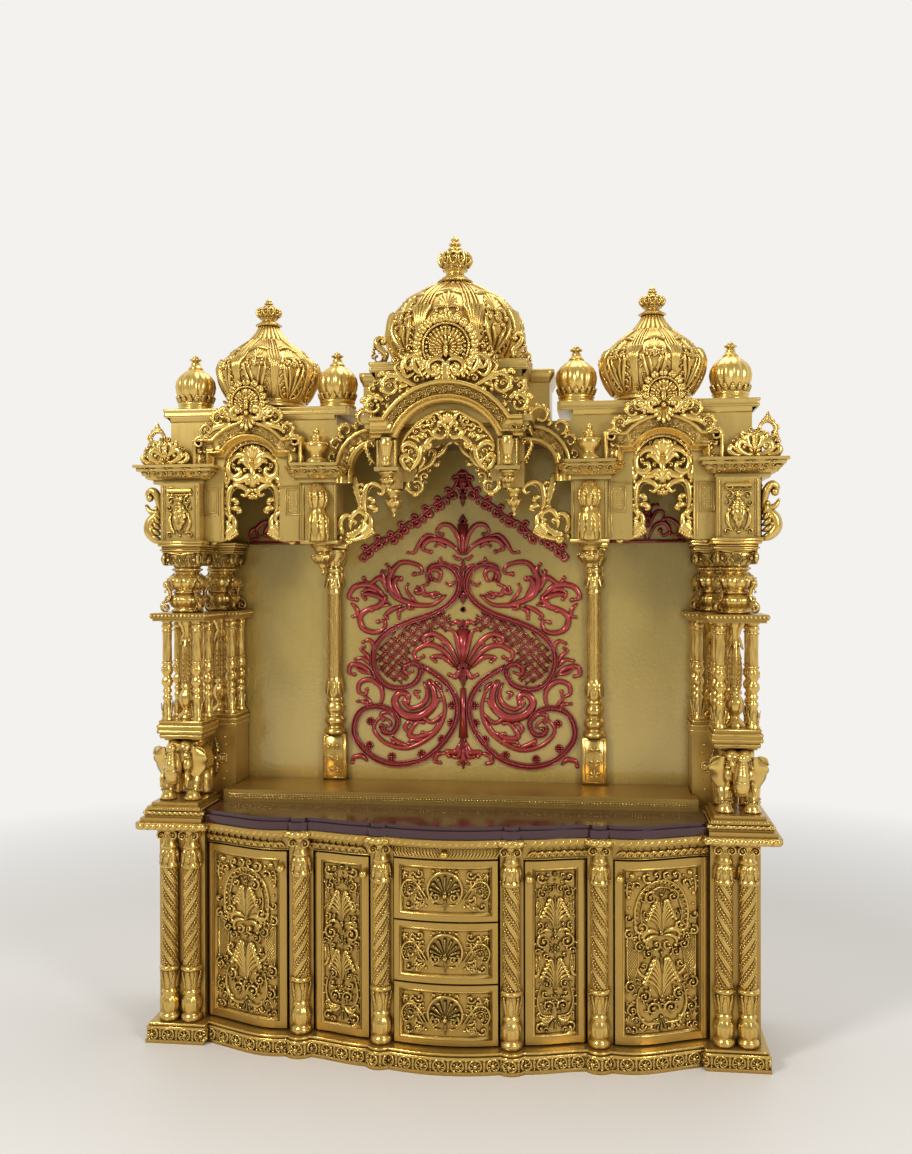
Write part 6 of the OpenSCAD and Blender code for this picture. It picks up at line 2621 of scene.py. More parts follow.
@dataclass
class SideArches:
    """The arch at each side: its eared archivolt, the hanging torana and the crest above."""

    x: float = 577.0
    z: float = 1600.0
    radius: float = 134.0
    face_y: float = -15.0
    band_radius: float = 110.0
    ear_z: float = 1662.0
    BAND_RISE: ClassVar[float] = 31.0

    def foot(self) -> Carving:
        """Returns the lower right scrolls of a torana, from the keyhole's edge down.

        Returns:
            The carving.
        """
        c = Carving(6.0, 2.5)
        c.leaf([(100, 1578), (96, 1546), (88, 1512), (84, 1480)], 27, 6, 5)
        c.leaf([(126, 1410), (104, 1413), (87, 1425), (78, 1446)], 27, 6, 4)
        limbs(c, (
            (8, 48.2, 1560.3, 66.8, 1546.7, 73.2, 1521.8, 72.5, 1493.2, 66.8, 1475.3),
            (7, 66, 1550.3, 48.2, 1556.7, 27.5, 1550.3, 16.1, 1537.8, 22.5, 1526, 33.2, 1528.9),
            (7, 66, 1512.8, 52.5, 1513.9, 45.3, 1505.3, 51.1, 1501),
            (8, 64.3, 1488.9, 48.2, 1490.3, 37.5, 1481.8, 43.9, 1476.8),
            (8, 66.8, 1475.3, 53.9, 1457.5, 56, 1432.5, 70.3, 1409.7, 98.2, 1398.2, 123.2, 1399.7),
            (7, 101.7, 1468.9, 87.5, 1478.2, 70.3, 1469.6, 68.2, 1455.3, 79.6, 1450.3),
            (6, 66, 1425.4, 56, 1421.8, 49.6, 1415.4), (7, 135.7, 1400.4, 143.2, 1405.4, 140.3, 1397.5),
            (6, 105.3, 1396.8, 116, 1390.4, 126, 1396.8),
            (8, 133.2, 1414.7, 143.2, 1432.5, 141, 1453.9, 126.7, 1467.5, 113.2, 1464.6, 116, 1455.7),
            (8, 71.4, 1475.3, 83.9, 1479.6, 98.2, 1475.3, 108.9, 1461.1, 107.1, 1446.8),
            (6, 110.7, 1427.1, 113.2, 1443.2, 105.3, 1452.1, 96.4, 1446.8, 101.7, 1440.4),
            (7, 79.6, 1428.9, 71.4, 1443.2, 76.8, 1453.2),
        ), 8)
        for k in range(5):
            t = k / 4
            c.curl(np.array((76, 1437.9)) + np.array([10 * t, -14 * t + 3]), 200 + 18 * t, 40 - 9 * t, 55, 9, 9 - t,
                ball=0.35)
        for q, h in (
                ((73.9, 1546.7), 120), ((76, 1528.9), 110), ((74.6, 1511), 105), ((72.5, 1493.2), 100),
                ((75, 1482.5), 130),
        ):
            c.curl(q, 180 - h + 10, 17, -110, 6, 7)
        c.leaf([(132.1, 1418.2), (139.9, 1436.1), (135.7, 1457.5)], 13, 7, 4)
        beads_along(c, [(31.8, 1546), (48.2, 1546.7), (60.3, 1532.5), (63.9, 1511), (64.6, 1488.9)], 1.9, 3)
        beads_along(c, [(63.2, 1466.1), (58.9, 1450.3), (61.8, 1432.5), (73.2, 1417.5)], 1.9, 3)
        return c

    def torana(self) -> Carving:
        """Returns the pierced hanging ornament of an arch.

        Returns:
            The carving.
        """
        c = self.foot()
        limbs(c, (
            (10, 4.6, 1607.4, 16.1, 1634.2, 35.3, 1643.1, 52.5, 1636.7, 60.3, 1624.6),
            (9, 6.8, 1600.3, 20.3, 1621.7, 33.9, 1626, 41.8, 1619.6),
            (9, 60.3, 1633.1, 73.2, 1611, 68.9, 1586, 51.8, 1578.9, 36.8, 1589.6, 40.3, 1603.1, 48.9, 1600.3),
            (9, 3.2, 1578.9, 16.1, 1582.4, 25, 1573.5, 44.6, 1568.2, 62.5, 1578.9),
            (9, 1.1, 1550.3, 8.2, 1575.3, 21.1, 1574.6, 26.1, 1566),
            (12, 76.8, 1600.3, 87.5, 1584.2, 79.6, 1566, 68.9, 1578.9), (8, 58.9, 1639.6, 69.6, 1643.1, 76.8, 1636),
            (7, 80.3, 1611, 87.5, 1600.3, 83.9, 1593.2), (7, 0.7, 1528.9, 8.2, 1522.5, 12.5, 1526.7),
            (7, 33.9, 1564.6, 44.6, 1568.2, 55.3, 1560.3), (7, 19.6, 1532.5, 8.2, 1541.7, 0.4, 1541.7),
        ), 8)
        beads_along(c, [(61.8, 1623.1), (67.5, 1607.4), (64.6, 1590.3)], 1.9, 3)
        c.fill([(2, 1672), (40, 1664), (68, 1640), (84, 1600), (90, 1560), (92, 1520), (96, 1495), (128, 1478),
            (146, 1450), (146, 1400), (120, 1392), (98, 1396), (70, 1410), (56, 1432), (54, 1457), (67, 1476),
            (70, 1510), (60, 1546), (30, 1552), (2, 1545)], 5.5, 12, 8)
        c.mirror()
        c.fan((0, 1622), 50, 9, 150, 10, 9, inner=0.1)
        c.fan((0, 1560), 34, 7, 160, 8, 8, inner=0.1)
        c.stroke([(0, 1550), (0, 1586), (0, 1622)], [10, 7, 12], 8)
        c.dots([(0, 1622), (0, 1541), (0, 1586)], 6, 1.4)
        c.leaf([(0, 1536), (0, 1512)], 14, 7, 3)
        for a in np.linspace(-72, 72, 13):
            q = (76 * math.sin(math.radians(a)), 1600 + 76 * math.cos(math.radians(a)))
            c.curl(q, 90 - a + (35 if a < 0 else -35), 15, 140 if a < 0 else -140, 7, 7)
        c.stroke(arc(0, 1600, 80, -88, 88, 50), 6, 5)
        return c

    def crest(self) -> Carving:
        """Returns the crest over an arch, drawn about the crown of the arch.

        Returns:
            The carving.
        """
        c = Carving(9.0, 1.2)
        half = Carving(9.0, 1.8)
        for a, reach in ((0, 1), (24, 1), (48, 0.96), (72, 0.9), (96, 0.84)):
            t = math.radians(a)
            q = (45 * math.sin(t) * reach, 52 + 45 * math.cos(t) * reach)
            half.curl(q, 90 - a - 50, 22, 170, 8, 9)
            half.curl(q, 90 - a + 50, 18, -170, 7, 8)
        limb(half, [(8, 4), (34, 6), (44, 26), (26, 38), (14, 26)], 12, 11)
        for k in range(5):
            half.curl((30 + 5 * k, 24 - 1 * k), -75 + 26 * k, 26, 35, 8, 9, ball=0.4)
        c_scroll(half, (64, 18), 20, 200, -0.9, 10, 3)
        limb(half, [(44, -8), (70, -14), (92, -20), (108, -34)], 12, 8)
        half.dots([(26, 26)], 12, 1.1)
        back_scrolls(half, ((30, 24, 1), (47, 20, -1), (62, 17, 1)), self.radius + 8, 0.75, self.radius + 5, 0.13,
            self.radius)
        half.fill([(2, 112), (36, 106), (60, 78), (70, 48), (92, 38), (106, 8), (122, -22), (130, -52), (116, -62),
            (100, -38), (75, -17), (45, -3), (20, 3), (28, 16), (50, 30), (50, 58), (38, 86), (16, 99), (2, 101)],
            5.0, 12, 10)
        c.take(half.mirror())
        arch_line = arc(0, 52, 42, -120, 120, 46)
        c.stroke(arch_line, 6, 8)
        c.string(arch_line, 2.4, 2.3, 1.1, 6.5)
        c.fan((0, 44), 46, 7, 250, 34, 3, inner=0.05)
        c.fan((0, 44), 44, 17, 235, 9, 8, inner=0.5)
        c.fan((0, 44), 28, 11, 220, 9, 10, inner=0.3)
        c.leaf([(0, 30), (0, 74)], 18, 13, 3)
        c.dots([(0, 62)], 7.5, 1.6)
        c.fan((0, 18), 48, 7, 120, 14, 12, turn=270, inner=0.12)
        c.dots([(0, 20)], 9, 1.5)
        return c

    def build(self) -> None:
        """Builds the archivolts and toranas of the side arches."""
        profile = [(0, 0), (0, 42), (3, 46), (8, 46), (11, 42), (12, 34), (36, 30), (37, 34), (40, 36), (42, 33),
            (44, 24), (48, 16), (49, 12), (52, 12), (52, 0)]
        mould, hung = Sheets(), Sheets()
        grid = eared_arch(self.x, self.z, self.radius, 159, 1686, 1608, profile, self.face_y)
        mould.add(grid)
        c = Carving()
        band_y = self.face_y - self.BAND_RISE
        turn = math.degrees(math.acos((self.ear_z - self.z) / self.band_radius))
        band = Ribbon(arc(self.x, self.z, self.band_radius, -turn + 3, turn - 3), band_y)
        running_scroll(c, band.length, 17, 22, 4)
        c.lay(mould, band)
        for side in (-1, 1):
            outer, inner = self.x + side * 135, self.x + side * 95
            line = np.array([(outer, 1613), (outer, self.ear_z), (inner, self.ear_z)])
            ear = Ribbon(line if side < 0 else line[::-1], band_y)
            e = Carving()
            running_scroll(e, ear.length, 17, 19, 4)
            e.lay(mould, ear)
        self.torana().copy((self.x, 0)).lay(hung, HANGING)
        place("side_archivolts_carved", mould.mirrored(), SATIN_CARVED, "side_archivolts")
        place("side_toranas_carved", hung.mirrored(), CARVED, "side_toranas")


@dataclass
class Canopy:
    """The canopy's fascia, cornice, pilasters, half arches, urns, corner blocks and pendants."""

    face_y: float = -15.0
    pilaster_x: float = 378.5
    corner_x: float = 773.0

    def sunk_panel(self, c: Carving, x0: float, x1: float, z0: float, z1: float) -> None:
        """Adds a frame of mouldings round a diaper field.

        Args:
            c: The carving that it joins.
            x0: X of its left edge.
            x1: X of its right edge.
            z0: Height of its foot.
            z1: Height of its top.
        """
        for inset, w, h in ((0, 4, 4), (6, 2.5, 2.5)):
            a, b, e, f = x0 + inset, x1 - inset, z0 + inset, z1 - inset
            c.stroke([(a, e), (b, e), (b, f), (a, f), (a, e), (a + 6, e)], w, h)
        inset = 9
        n = max(int((x1 - x0 - 2 * inset) / 7), 1)
        m = max(int((z1 - z0 - 2 * inset) / 7), 1)
        px, pz = np.meshgrid(np.linspace(x0 + inset + 3, x1 - inset - 3, n),
            np.linspace(z0 + inset + 3, z1 - inset - 3, m))
        c.dots(np.stack([px.ravel(), pz.ravel()], axis=-1), 3.0, 0.8, around=4)

    def bud(self, s: Sheets) -> None:
        """Adds the lotus bud over a skirt of leaves on an inner pilaster.

        Args:
            s: The sheets that it joins.
        """
        x, y = self.pilaster_x, -40.0
        lathe(s, [(6, 1388), (26, 1392), (29, 1402), (29, 1450), (26, 1470), (18, 1482), (22, 1490), (28, 1505),
            (27, 1525), (20, 1545), (10, 1554), (1, 1556)], x, y, 0, 36, melon(14, 0.08, 1486, 1552), back=-22.5)
        for k in range(-2, 3):
            for z0, z1, w in ((1470, 1392, 24), (1486, 1550, 20)):
                c = Carving()
                c.leaf([(0, z0), (0, z1)], w, 5, 5, lift=2)
                c.lay(s, drum(x, y, [26, 29, 29, 26, 19, 28, 27, 12],
                    [1388, 1402, 1450, 1470, 1482, 1505, 1525, 1550], turn=38 * k))

    def urn(self, s: Sheets, x: float, y: float, z: float) -> None:
        """Adds a lidded gadrooned urn.

        Args:
            s: The sheets that it joins.
            x: X of its axis.
            y: Y of its axis.
            z: Height of its foot.
        """
        p = [(30, 0), (31, 4), (27, 8), (27, 12), (18, 16), (17, 22), (24, 30), (31, 40), (33, 52), (30, 55),
            (24, 57), (16, 60), (14, 66), (17, 70), (17, 74), (8, 78), (7, 82), (10, 87), (6, 94), (1, 99)]
        lathe(s, p, x, y, z, 32, melon(14, 0.14, 22, 55), caps="ab")
        bead_ring(s, x, y, z + 54, 30, 3.4)

    def pendant(self, s: Sheets, x: float, y: float, top: float, tall: float, r: float) -> None:
        """Adds a hanging turned drop with a lobed bowl.

        Args:
            s: The sheets that it joins.
            x: X of its axis.
            y: Y of its axis.
            top: Height where it hangs from.
            tall: Its length.
            r: Its widest radius.
        """
        p = [(0.02, 1), (0.16, 0.94), (0.22, 0.9), (0.10, 0.84), (0.22, 0.78), (0.34, 0.75), (0.30, 0.70),
            (0.60, 0.64), (0.92, 0.50), (0.95, 0.43), (0.80, 0.40), (0.55, 0.38), (0.5, 0.32), (0.62, 0.30),
            (0.66, 0.26), (0.6, 0.22), (0.85, 0.18), (0.9, 0.12), (1.0, 0.10), (1.0, 0.0)]
        profile = [(a * r, top - b * tall) for a, b in p]
        lathe(s, profile, x, y, 0, 36, melon(12, 0.2, top - 0.7 * tall, top - 0.41 * tall), caps="ab")
        bead_ring(s, x, y, top - 0.41 * tall, r * 0.9, r * 0.09)

    def cornice_band(self, s: Sheets) -> None:
        """Adds the carved band and the small mouldings of the outer cornice.

        Args:
            s: The sheets that it joins.
        """
        for line in (
                [(706, -15), (706, -46.5), (871, -46.5), (871, 230)],
                [(317, -15), (317, -46.5), (446, -46.5), (446, -15)],
        ):
            course = Slanted(line, lean=0.86, knee=1571)
            s.add(swept(course, [(0, 1571), (0.4, 1573), (0.4, 1600), (1.2, 1603.5)]))
            c = Carving()
            running_scroll(c, course.length, 27, 30, 6, middle=1587)
            c.lay(s, course)

    def half_arch(self, s: Sheets, hung: Sheets) -> None:
        """Adds a half arch with its mouldings, carved band and hanging scroll.

        Args:
            s: The sheets that it joins.
            hung: The sheets that take its hanging scroll.
        """
        x, z = 218.0, 1600.0
        rows = []
        for r, out in (
                (112, 0), (112, 20), (109, 24), (104, 24), (101, 20), (100, 14), (78, 12), (77, 16), (73, 17),
                (71, 12), (68, 6), (65, 4), (65, -26),
        ):
            a = arc(x, z, r, -10, 90, 40)
            rows.append([(px, self.face_y - out, pz) for px, pz in np.concatenate([a, [[x + r, 1556]]])])
        s.add(np.array(rows))
        c = Carving()
        band = Ribbon(arc(x, z, 89, 0, 92), self.face_y - 12)
        running_scroll(c, band.length, 16, 18, 4)
        c.lay(s, band)
        foot = SideArches().foot()
        foot.copy((2 * self.pilaster_x - SideArches.x, 0)).lay(hung, HANGING)

    def build(self) -> None:
        """Builds the canopy's own pieces."""
        dress(PALE, "canopy_front", "canopy_sides", "cornice", "side_roofs", "centre_roof", "porch", "inner_arch")
        # The ceiling's dark brown finish paints the shade under the canopy.
        dress(BROWN, "ceiling")
        fixed, carved, drops, hung = Sheets(), Sheets(), Sheets(), Sheets()
        c = Carving()
        self.sunk_panel(c, 432, 476, 1470, 1545)
        self.sunk_panel(c, 676, 714, 1470, 1545)
        for x0, x1 in ((431, 493), (661, 714)):
            c.stroke([(x0, 1400), (x0, 1552), (x1, 1552)], 5, 4)
            c.stroke([(x0 + 8, 1400), (x0 + 8, 1546), (x1, 1546)], 3, 3)
        c.lay(fixed, Plane((0, self.face_y, 0)))
        self.bud(carved)
        strips = Carving()
        for x in (self.pilaster_x - 44, self.pilaster_x + 44):
            strips.stroke([(x, 1400), (x, 1552)], 5, 4)
        strips.lay(fixed, Plane((0, self.face_y - 8, 0)))
        fixed.box((324, -27, 1386), (433, 60, 1398), 2)
        fixed.box((708, -62, 1386), (838, 20, 1398), 2)
        self.urn(drops, self.pilaster_x, -52, 1611)
        self.cornice_band(carved)
        self.half_arch(carved, hung)
        self.pendant(drops, self.pilaster_x, 21, 1395, 98, 38)
        self.pendant(drops, 170, 8, 1540, 82, 26)
        self.pendant(drops, 163.5, -115, 1580, 56, 24)
        block = Carving()
        block.stroke([(-34, 1538), (34, 1538)], 15, 12)
        block.stroke([(-36, 1526), (36, 1526)], 5, 6)
        block.fan((0, 1520), 16, 9, 180, 8, 8, turn=270, inner=0.0)
        block.leaf([(0, 1496), (0, 1418)], 52, 15, 5)
        block.leaf([(0, 1500), (0, 1440)], 30, 20, 4)
        block.dots([(0, 1500), (0, 1412)], [9, 6], 1.3)
        block.string([(-15, 1484), (0, 1480), (15, 1484)], 3, 2.3, 1.2, 8)
        for side in (-1, 1):
            block.curl((side * 14, 1414), 90 - side * 34, 62, side * 70, 14, 9)
            block.stroke([(side * 50, 1400), (side * 50, 1552)], 6, 4)
            block.stroke([(side * 43, 1400), (side * 43, 1552)], 3, 3)
            block.fill([(side * 3, 1404), (side * 38, 1404), (side * 38, 1550), (side * 3, 1550)], 6, 13, 9)
        block.copy((self.corner_x, 0)).lay(carved, Plane((0, -57, 0)))
        block.lay(carved, Plane((830, 14, 0), (0, 1, 0)))
        wing = Carving(14.0, 1.6)
        limb(wing, [(836, 1394), (858, 1402), (876, 1426), (872, 1452), (854, 1470), (840, 1486)], 19, 14, 0)
        limb(wing, [(838, 1478), (844, 1502), (850, 1526), (864, 1541), (878, 1532), (872, 1520)], 15, 13, 0.8)
        limb(wing, [(840, 1484), (858, 1478), (874, 1484), (882, 1498)], 11, 11, 0.4)
        for k in range(5):
            wing.curl((838, 1400 + 15 * k), 10 + 9 * k, 34, 50, 11, 13)
        wing.fill([(834, 1398), (866, 1410), (874, 1440), (852, 1476), (846, 1500), (852, 1530), (836, 1552)], 6,
            10, 12)
        wing.lay(carved, Plane((0, -30, 0)))
        for line, profile in (
                ([(814, -15), (814, 250)], [(0, 1736), (3, 1738), (4, 1742), (14, 1750)]),
                ([(334, -15), (814, -15)], [(0, 1736), (3, 1738), (4, 1742), (7, 1750)]),
                ([(300, -22), (832, -22), (832, 250)], [(0, 1752), (2.5, 1754), (2.5, 1757), (0.5, 1759), (1,
                    1766), (4, 1769), (4, 1774), (0, 1774.5)]),
                ([(200, -100), (200, 60)], [(0, 1832), (3, 1834), (4, 1839), (8, 1842), (13, 1850)]),
                ([(0, -100), (200, -100)], [(0, 1832), (3, 1834), (4, 1839), (8, 1842), (13, 1850)]),
                ([(0, -114), (214, -114), (214, 60)], [(0, 1852), (2.5, 1854), (2.5, 1858), (0.5, 1860), (1, 1868),
                    (4, 1871), (4, 1877), (0, 1877.5)]),
                ([(214, 60), (267, 60), (267, 250)], [(0, 1840), (3, 1842), (4, 1848), (8, 1852), (12, 1862), (13,
                    1868), (13, 1877), (0, 1877.5)]),
        ):
            fixed.add(swept(Course(line), profile))
        place("canopy_trim", fixed.mirrored(), PALE)
        place("canopy_carving", carved.mirrored(), SATIN_CARVED, "half_arches")
        place("pendants_turned", drops.mirrored(), TURNED, "pendants", "urns")
        place("half_toranas", hung.mirrored(), CARVED, "hanging_scrolls")


@dataclass
class Porch:
    """The projecting middle bay with its arch, torana, posts, brackets and great crest."""

    front_y: float = -140.0
    centre_z: float = 1618.0
    radius: float = 201.0
    top_z: float = 1722.0
    half_width: float = 205.0
    proud: float = 18.0
    band_inset: float = 25.0

    def torana(self) -> Carving:
        """Returns the pierced ornament that hangs in the porch's arch.

        Returns:
            The carving.
        """
        c = Carving(6.0, 2.0)
        limbs(c, (
            (8, 1.8, 1682.3, 15.2, 1668.9, 31.7, 1672.6, 37.2, 1685.4, 28.1, 1694.5, 21.3, 1688.5),
            (8, 3, 1691.5, 11, 1706.8, 22, 1710.4, 25, 1701.9, 18.9, 1700),
            (8, 15.2, 1712.8, 23.8, 1731.2, 33.5, 1734.2), (8, 33.5, 1670.2, 44.2, 1682.3, 51.2, 1689.7),
            (9, 30.5, 1669.5, 45.8, 1667.1, 59.8, 1651.8, 53.7, 1642.7, 46.4, 1651.8, 51.9, 1658),
            (8, 54.9, 1670.2, 64, 1677.5, 73.8, 1681.7), (7, 64, 1667.1, 76.2, 1674.7, 84.2, 1673.2),
            (8, 76.2, 1658, 88.5, 1670.2, 105.5, 1671.4), (7, 64, 1642.7, 67.7, 1633.5, 61, 1637.8),
            (9, 57.9, 1651.8, 73.2, 1642.7, 78.1, 1615.2, 92.1, 1592.1, 103.1, 1581.1),
            (10, 103.1, 1581.1, 116.5, 1590.8, 126.9, 1606.1, 125, 1618.3, 112.8, 1621.3, 105.5, 1610.4, 113.5,
                1606.1), (9, 79.3, 1630.5, 89.7, 1648.8, 108.6, 1655.5, 124.4, 1645.8, 122, 1632.9, 113.5, 1637.2),
            (8, 85.4, 1597, 94.5, 1609.2, 102.2, 1615.2),
        ), 8)
        c.stroke([(34.8, 1727.5), (64, 1715.9), (89.7, 1695.8), (39.6, 1705.5), (34.8, 1727.5), (37.2, 1726.6)],
            3.5, 4)
        c.stroke([(6.1, 1740.3), (33.5, 1737.2), (82.3, 1709.8), (112.8, 1676.2), (128.1, 1651.8)], 5, 5)
        beads_along(c, [(7.9, 1688.5), (18.3, 1677.5), (30.5, 1679.9)], 1.9, 3)
        beads_along(c, [(84.2, 1624.4), (89.7, 1639.7), (103.7, 1648.2)], 1.9, 3)
        beads_along(c, [(35.1, 1664.7), (51.9, 1667.1), (64, 1654.9)], 1.9, 3)
        c.fill([(2, 1736), (34, 1730), (82, 1706), (112, 1672), (130, 1640), (132, 1600), (116, 1582), (100, 1580),
            (78, 1612), (66, 1640), (40, 1664), (16, 1668), (2, 1680)], 5.5, 13, 8)
        c.mirror()
        c.fan((0, 1702), 34, 7, 110, 9, 8, inner=0.1)
        c.leaf([(0, 1700), (0, 1664)], 16, 8, 3)
        c.dots([(0, 1699)], 5, 1.5)
        return c

    def inner(self) -> Carving:
        """Returns the scrolls that hang in the second arch behind.

        Returns:
            The carving.
        """
        c = Carving(5.0, 2.0)
        c_scroll(c, (104, 1550), 28, 100, -1.1, 8, 3)
        limbs(c, (
            (9, 100, 1585, 80, 1600, 62, 1612, 50, 1640, 64, 1650, 68, 1636), (10, 96, 1592, 84, 1625, 100, 1640),
            (9, 60, 1620, 34, 1640, 20, 1662, 34, 1672), (8, 20, 1660, 2, 1676, 0, 1690),
            (7, 58, 1610, 44, 1606, 38, 1616),
        ), 7)
        c.fill([(4, 1700), (60, 1668), (104, 1648), (130, 1590), (132, 1530), (104, 1518), (76, 1548), (56, 1600),
            (20, 1650), (4, 1672)], 6, 14, 8)
        return c.mirror()

    def crest(self) -> Carving:
        """Returns the great crest over the porch, in its own coordinates.

        Returns:
            The carving.
        """
        c = Carving(8.0, 1.2)
        half = Carving(8.0, 1.8)
        centre = np.array([0.0, 1908.0])
        for a in np.linspace(6, 118, 8):
            t = math.radians(a)
            q = centre + 66 * np.array([math.sin(t), math.cos(t)])
            half.curl(q, 90 - a + 45, 25, -190, 9, 9)
            half.curl(q, 90 - a - 40, 30, 185, 9, 9)
        limbs(half, (
            (11, 3, 1865.3, 15.2, 1874.5, 33.5, 1874.5, 48.2, 1861.7, 47, 1843.4, 31.7, 1836.1, 18.3, 1842.2, 16.5,
                1854.4, 27.4, 1859.9), (11, 61, 1831.8, 79.3, 1847, 88.5, 1868.4, 81.1, 1880.6, 72, 1874.5),
            (9, 82.3, 1841, 103.7, 1828.8, 116.5, 1844, 115.9, 1868.4, 100.6, 1883.7, 84.2, 1883.7),
            (9, 109.8, 1877.5, 120.5, 1883.7, 125, 1889.8),
            (9, 51.9, 1810.5, 76.2, 1801.3, 94.5, 1810.5, 119, 1825.7, 137.2, 1853.2, 128.1, 1865.3),
            (8, 82.3, 1868.4, 91.5, 1859.2, 97.6, 1853.2, 94.5, 1861.7), (9, 64, 1883.7, 73.2, 1895.8, 79.3, 1905),
        ), 10)
        beads_along(half, [(88.5, 1880.6), (103.7, 1874.5), (109.2, 1859.2), (103.7, 1844)], 2.4, 4)
        half.fan((34, 1866), 50, 7, 120, 9, 13, turn=-50, inner=0.25)
        c_scroll(half, (92, 1862), 29, 215, -0.9, 11, 3)
        half.dots([(31.4, 1852.5)], 11, 1.2)
        for q, r, st, tn in (((146.4, 1804.3), 32, 160, -0.95), ((193.7, 1752.5), 27, 150, -0.95)):
            c_scroll(half, q, r, st, tn, 9, 4)
        for q, h, l in (
                ((100.6, 1804.3), 20, 36), ((112.8, 1813.5), 50, 34), ((94.5, 1799.8), -30, 24),
                ((164.7, 1831.8), 60, 22), ((155.5, 1761.7), -60, 22), ((176.9, 1773.8), 20, 20),
                ((213.5, 1764.7), 60, 20), ((164.7, 1743.3), -70, 16),
        ):
            half.curl(q, h, l, -150, 9, 8)
        half.fill([(2, 1990), (36, 1984), (74, 1954), (92, 1918), (130, 1900), (146, 1872), (152, 1846),
            (182, 1838), (216, 1796), (230, 1762), (226, 1735), (204, 1726), (190, 1722), (168, 1746), (130, 1783),
            (90, 1806), (50, 1820), (22, 1827), (30, 1850), (52, 1866), (63, 1882), (70, 1908), (62, 1942),
            (42, 1966), (18, 1977), (2, 1979)], 5.5, 15, 11)
        c.take(half.mirror())
        ring = arc(0, 1908, 62, -122, 122, 60)
        c.stroke(ring, 7, 8)
        c.string(ring, 2.7, 2.3, 1.1, 6)
        c.fan((0, 1904), 62, 9, 250, 34, 3, inner=0.05)
        c.fan((0, 1904), 57, 21, 250, 10, 8, inner=0.5)
        c.dots(even_path(arc(0, 1905, 52.5, -125, 125, 80), 21), 4.8, 1.0, 6)
        c.fan((0, 1902), 36, 13, 240, 10, 11, inner=0.3)
        c.leaf([(0, 1880), (0, 1930)], 18, 12, 3)
        c.dots([(0, 1918)], 8, 1.8)
        c.fan((0, 1852), 52, 9, 150, 16, 12, turn=270, inner=0.1)
        c.fan((0, 1972), 34, 7, 150, 13, 10, inner=0.15)
        c.leaf([(0, 1866), (0, 1798)], 40, 13, 5)
        c.dots([(0, 1860)], 9, 1.6)
        return c

    def bracket(self) -> Carving:
        """Returns a small leafy side bracket.

        Returns:
            The carving.
        """
        c = Carving(4.0)
        limb(c, [(2, -66), (20, -48), (32, -20), (24, 0), (8, -2), (10, -14)], 9, 7)
        for k in range(5):
            c.curl((10 + 4 * k, -58 + 11 * k), 10, 14, -120, 6, 7)
        c.dots([(14, -8)], 6, 1.2)
        return c

    def balusters(self, s: Sheets) -> None:
        """Adds the ringed balusters beside the crest and the consoles at the roof corners.

        Args:
            s: The sheets that it joins.
        """
        p = [(10, 0), (12, 3), (12, 8), (8, 11), (12, 15), (12, 22), (8, 25), (12, 29), (12, 36), (8, 39), (13, 43),
            (13, 50), (8, 53), (13, 56), (14, 62), (9, 66), (14, 70), (14, 76), (10, 80), (10, 98)]
        lathe(s, p, 205, -118, 1722, 20, caps="ab")
        for x, y in ((190, -88), (190, 180)):
            c = Carving(14.0)
            limb(c, [(-10, 0), (-16, 26), (2, 44), (10, 62), (-4, 72), (-10, 60)], 20, 12)
            c_scroll(c, (6, 16), 16, 100, 0.9, 10, 2)
            for k in range(4):
                c.curl((14, 14 + 14 * k), 20 + 20 * k, 18, 140, 8, 9)
            c.copy((x, 1877)).lay(s, Plane((0, y, 0)))

    def build(self) -> None:
        """Builds the porch."""
        arch, hung, turned_parts = Sheets(), Sheets(), Sheets()
        profile = [(0, 0), (0, 8), (3, 13), (8, 13), (12, 8), (13, 2), (37, -2), (38, 3), (41, 4), (43, 0),
            (46, -8), (50, -12), (55, -14), (55, -40)]
        rows = []
        for inset, out in profile:
            r = self.radius - inset
            top = self.top_z - inset
            a = math.degrees(math.acos(np.clip((top - self.centre_z) / r, -1, 1)))
            line = arc(0, self.centre_z, r, -a, a, 61)
            line = np.concatenate([[[-self.half_width, top], [line[0, 0] - 0.3, top]], line,
                [[line[-1, 0] + 0.3, top], [self.half_width, top]]])
            rows.append([(px, self.front_y - self.proud - out, pz) for px, pz in line])
        arch.add(np.array(rows))
        radius = self.radius - self.band_inset
        a = math.degrees(math.acos((self.top_z - self.band_inset - self.centre_z) / radius))
        band = Ribbon(arc(0, self.centre_z, radius, -a + 2, a - 2), self.front_y - self.proud)
        c = Carving()
        running_scroll(c, band.length, 22, 24, 5)
        c.lay(arch, band)
        for course in (Course([(168.0, -160.0), (222.0, -160.0)]), Course([(222.0, -160.0), (222.0, -16.0)])):
            c = Carving()
            running_scroll(c, course.length, 18, 20, 4, middle=1688)
            c.lay(arch, course)
        self.torana().lay(hung, Plane((0, -116, 0)))
        self.inner().lay(hung, HANGING)
        right = Sheets()
        self.balusters(right)
        strips = Carving()
        for x in (163.5, -163.5):
            lathe(turned_parts, [(8, 1592), (14, 1596), (13, 1602), (9, 1606), (13, 1622), (18, 1645), (19, 1655),
                (14, 1662), (16, 1668)], x, -142, 0, 24, melon(8, 0.12, 1604, 1660), back=-138)
            for edge in (x - 23, x + 23):
                strips.stroke([(edge, 1592), (edge, 1660)], 5, 4)
        strips.lay(arch, Plane((0, self.front_y, 0)))
        self.bracket().copy((193, 1664)).lay(right, Plane((0, -112, 0)))
        turned_parts.join(right.mirrored())
        place("porch_arch_carved", arch, SATIN_CARVED, "porch_arch")
        place("porch_toranas", hung, CARVED, "porch_torana")
        place("porch_turned", turned_parts, TURNED)


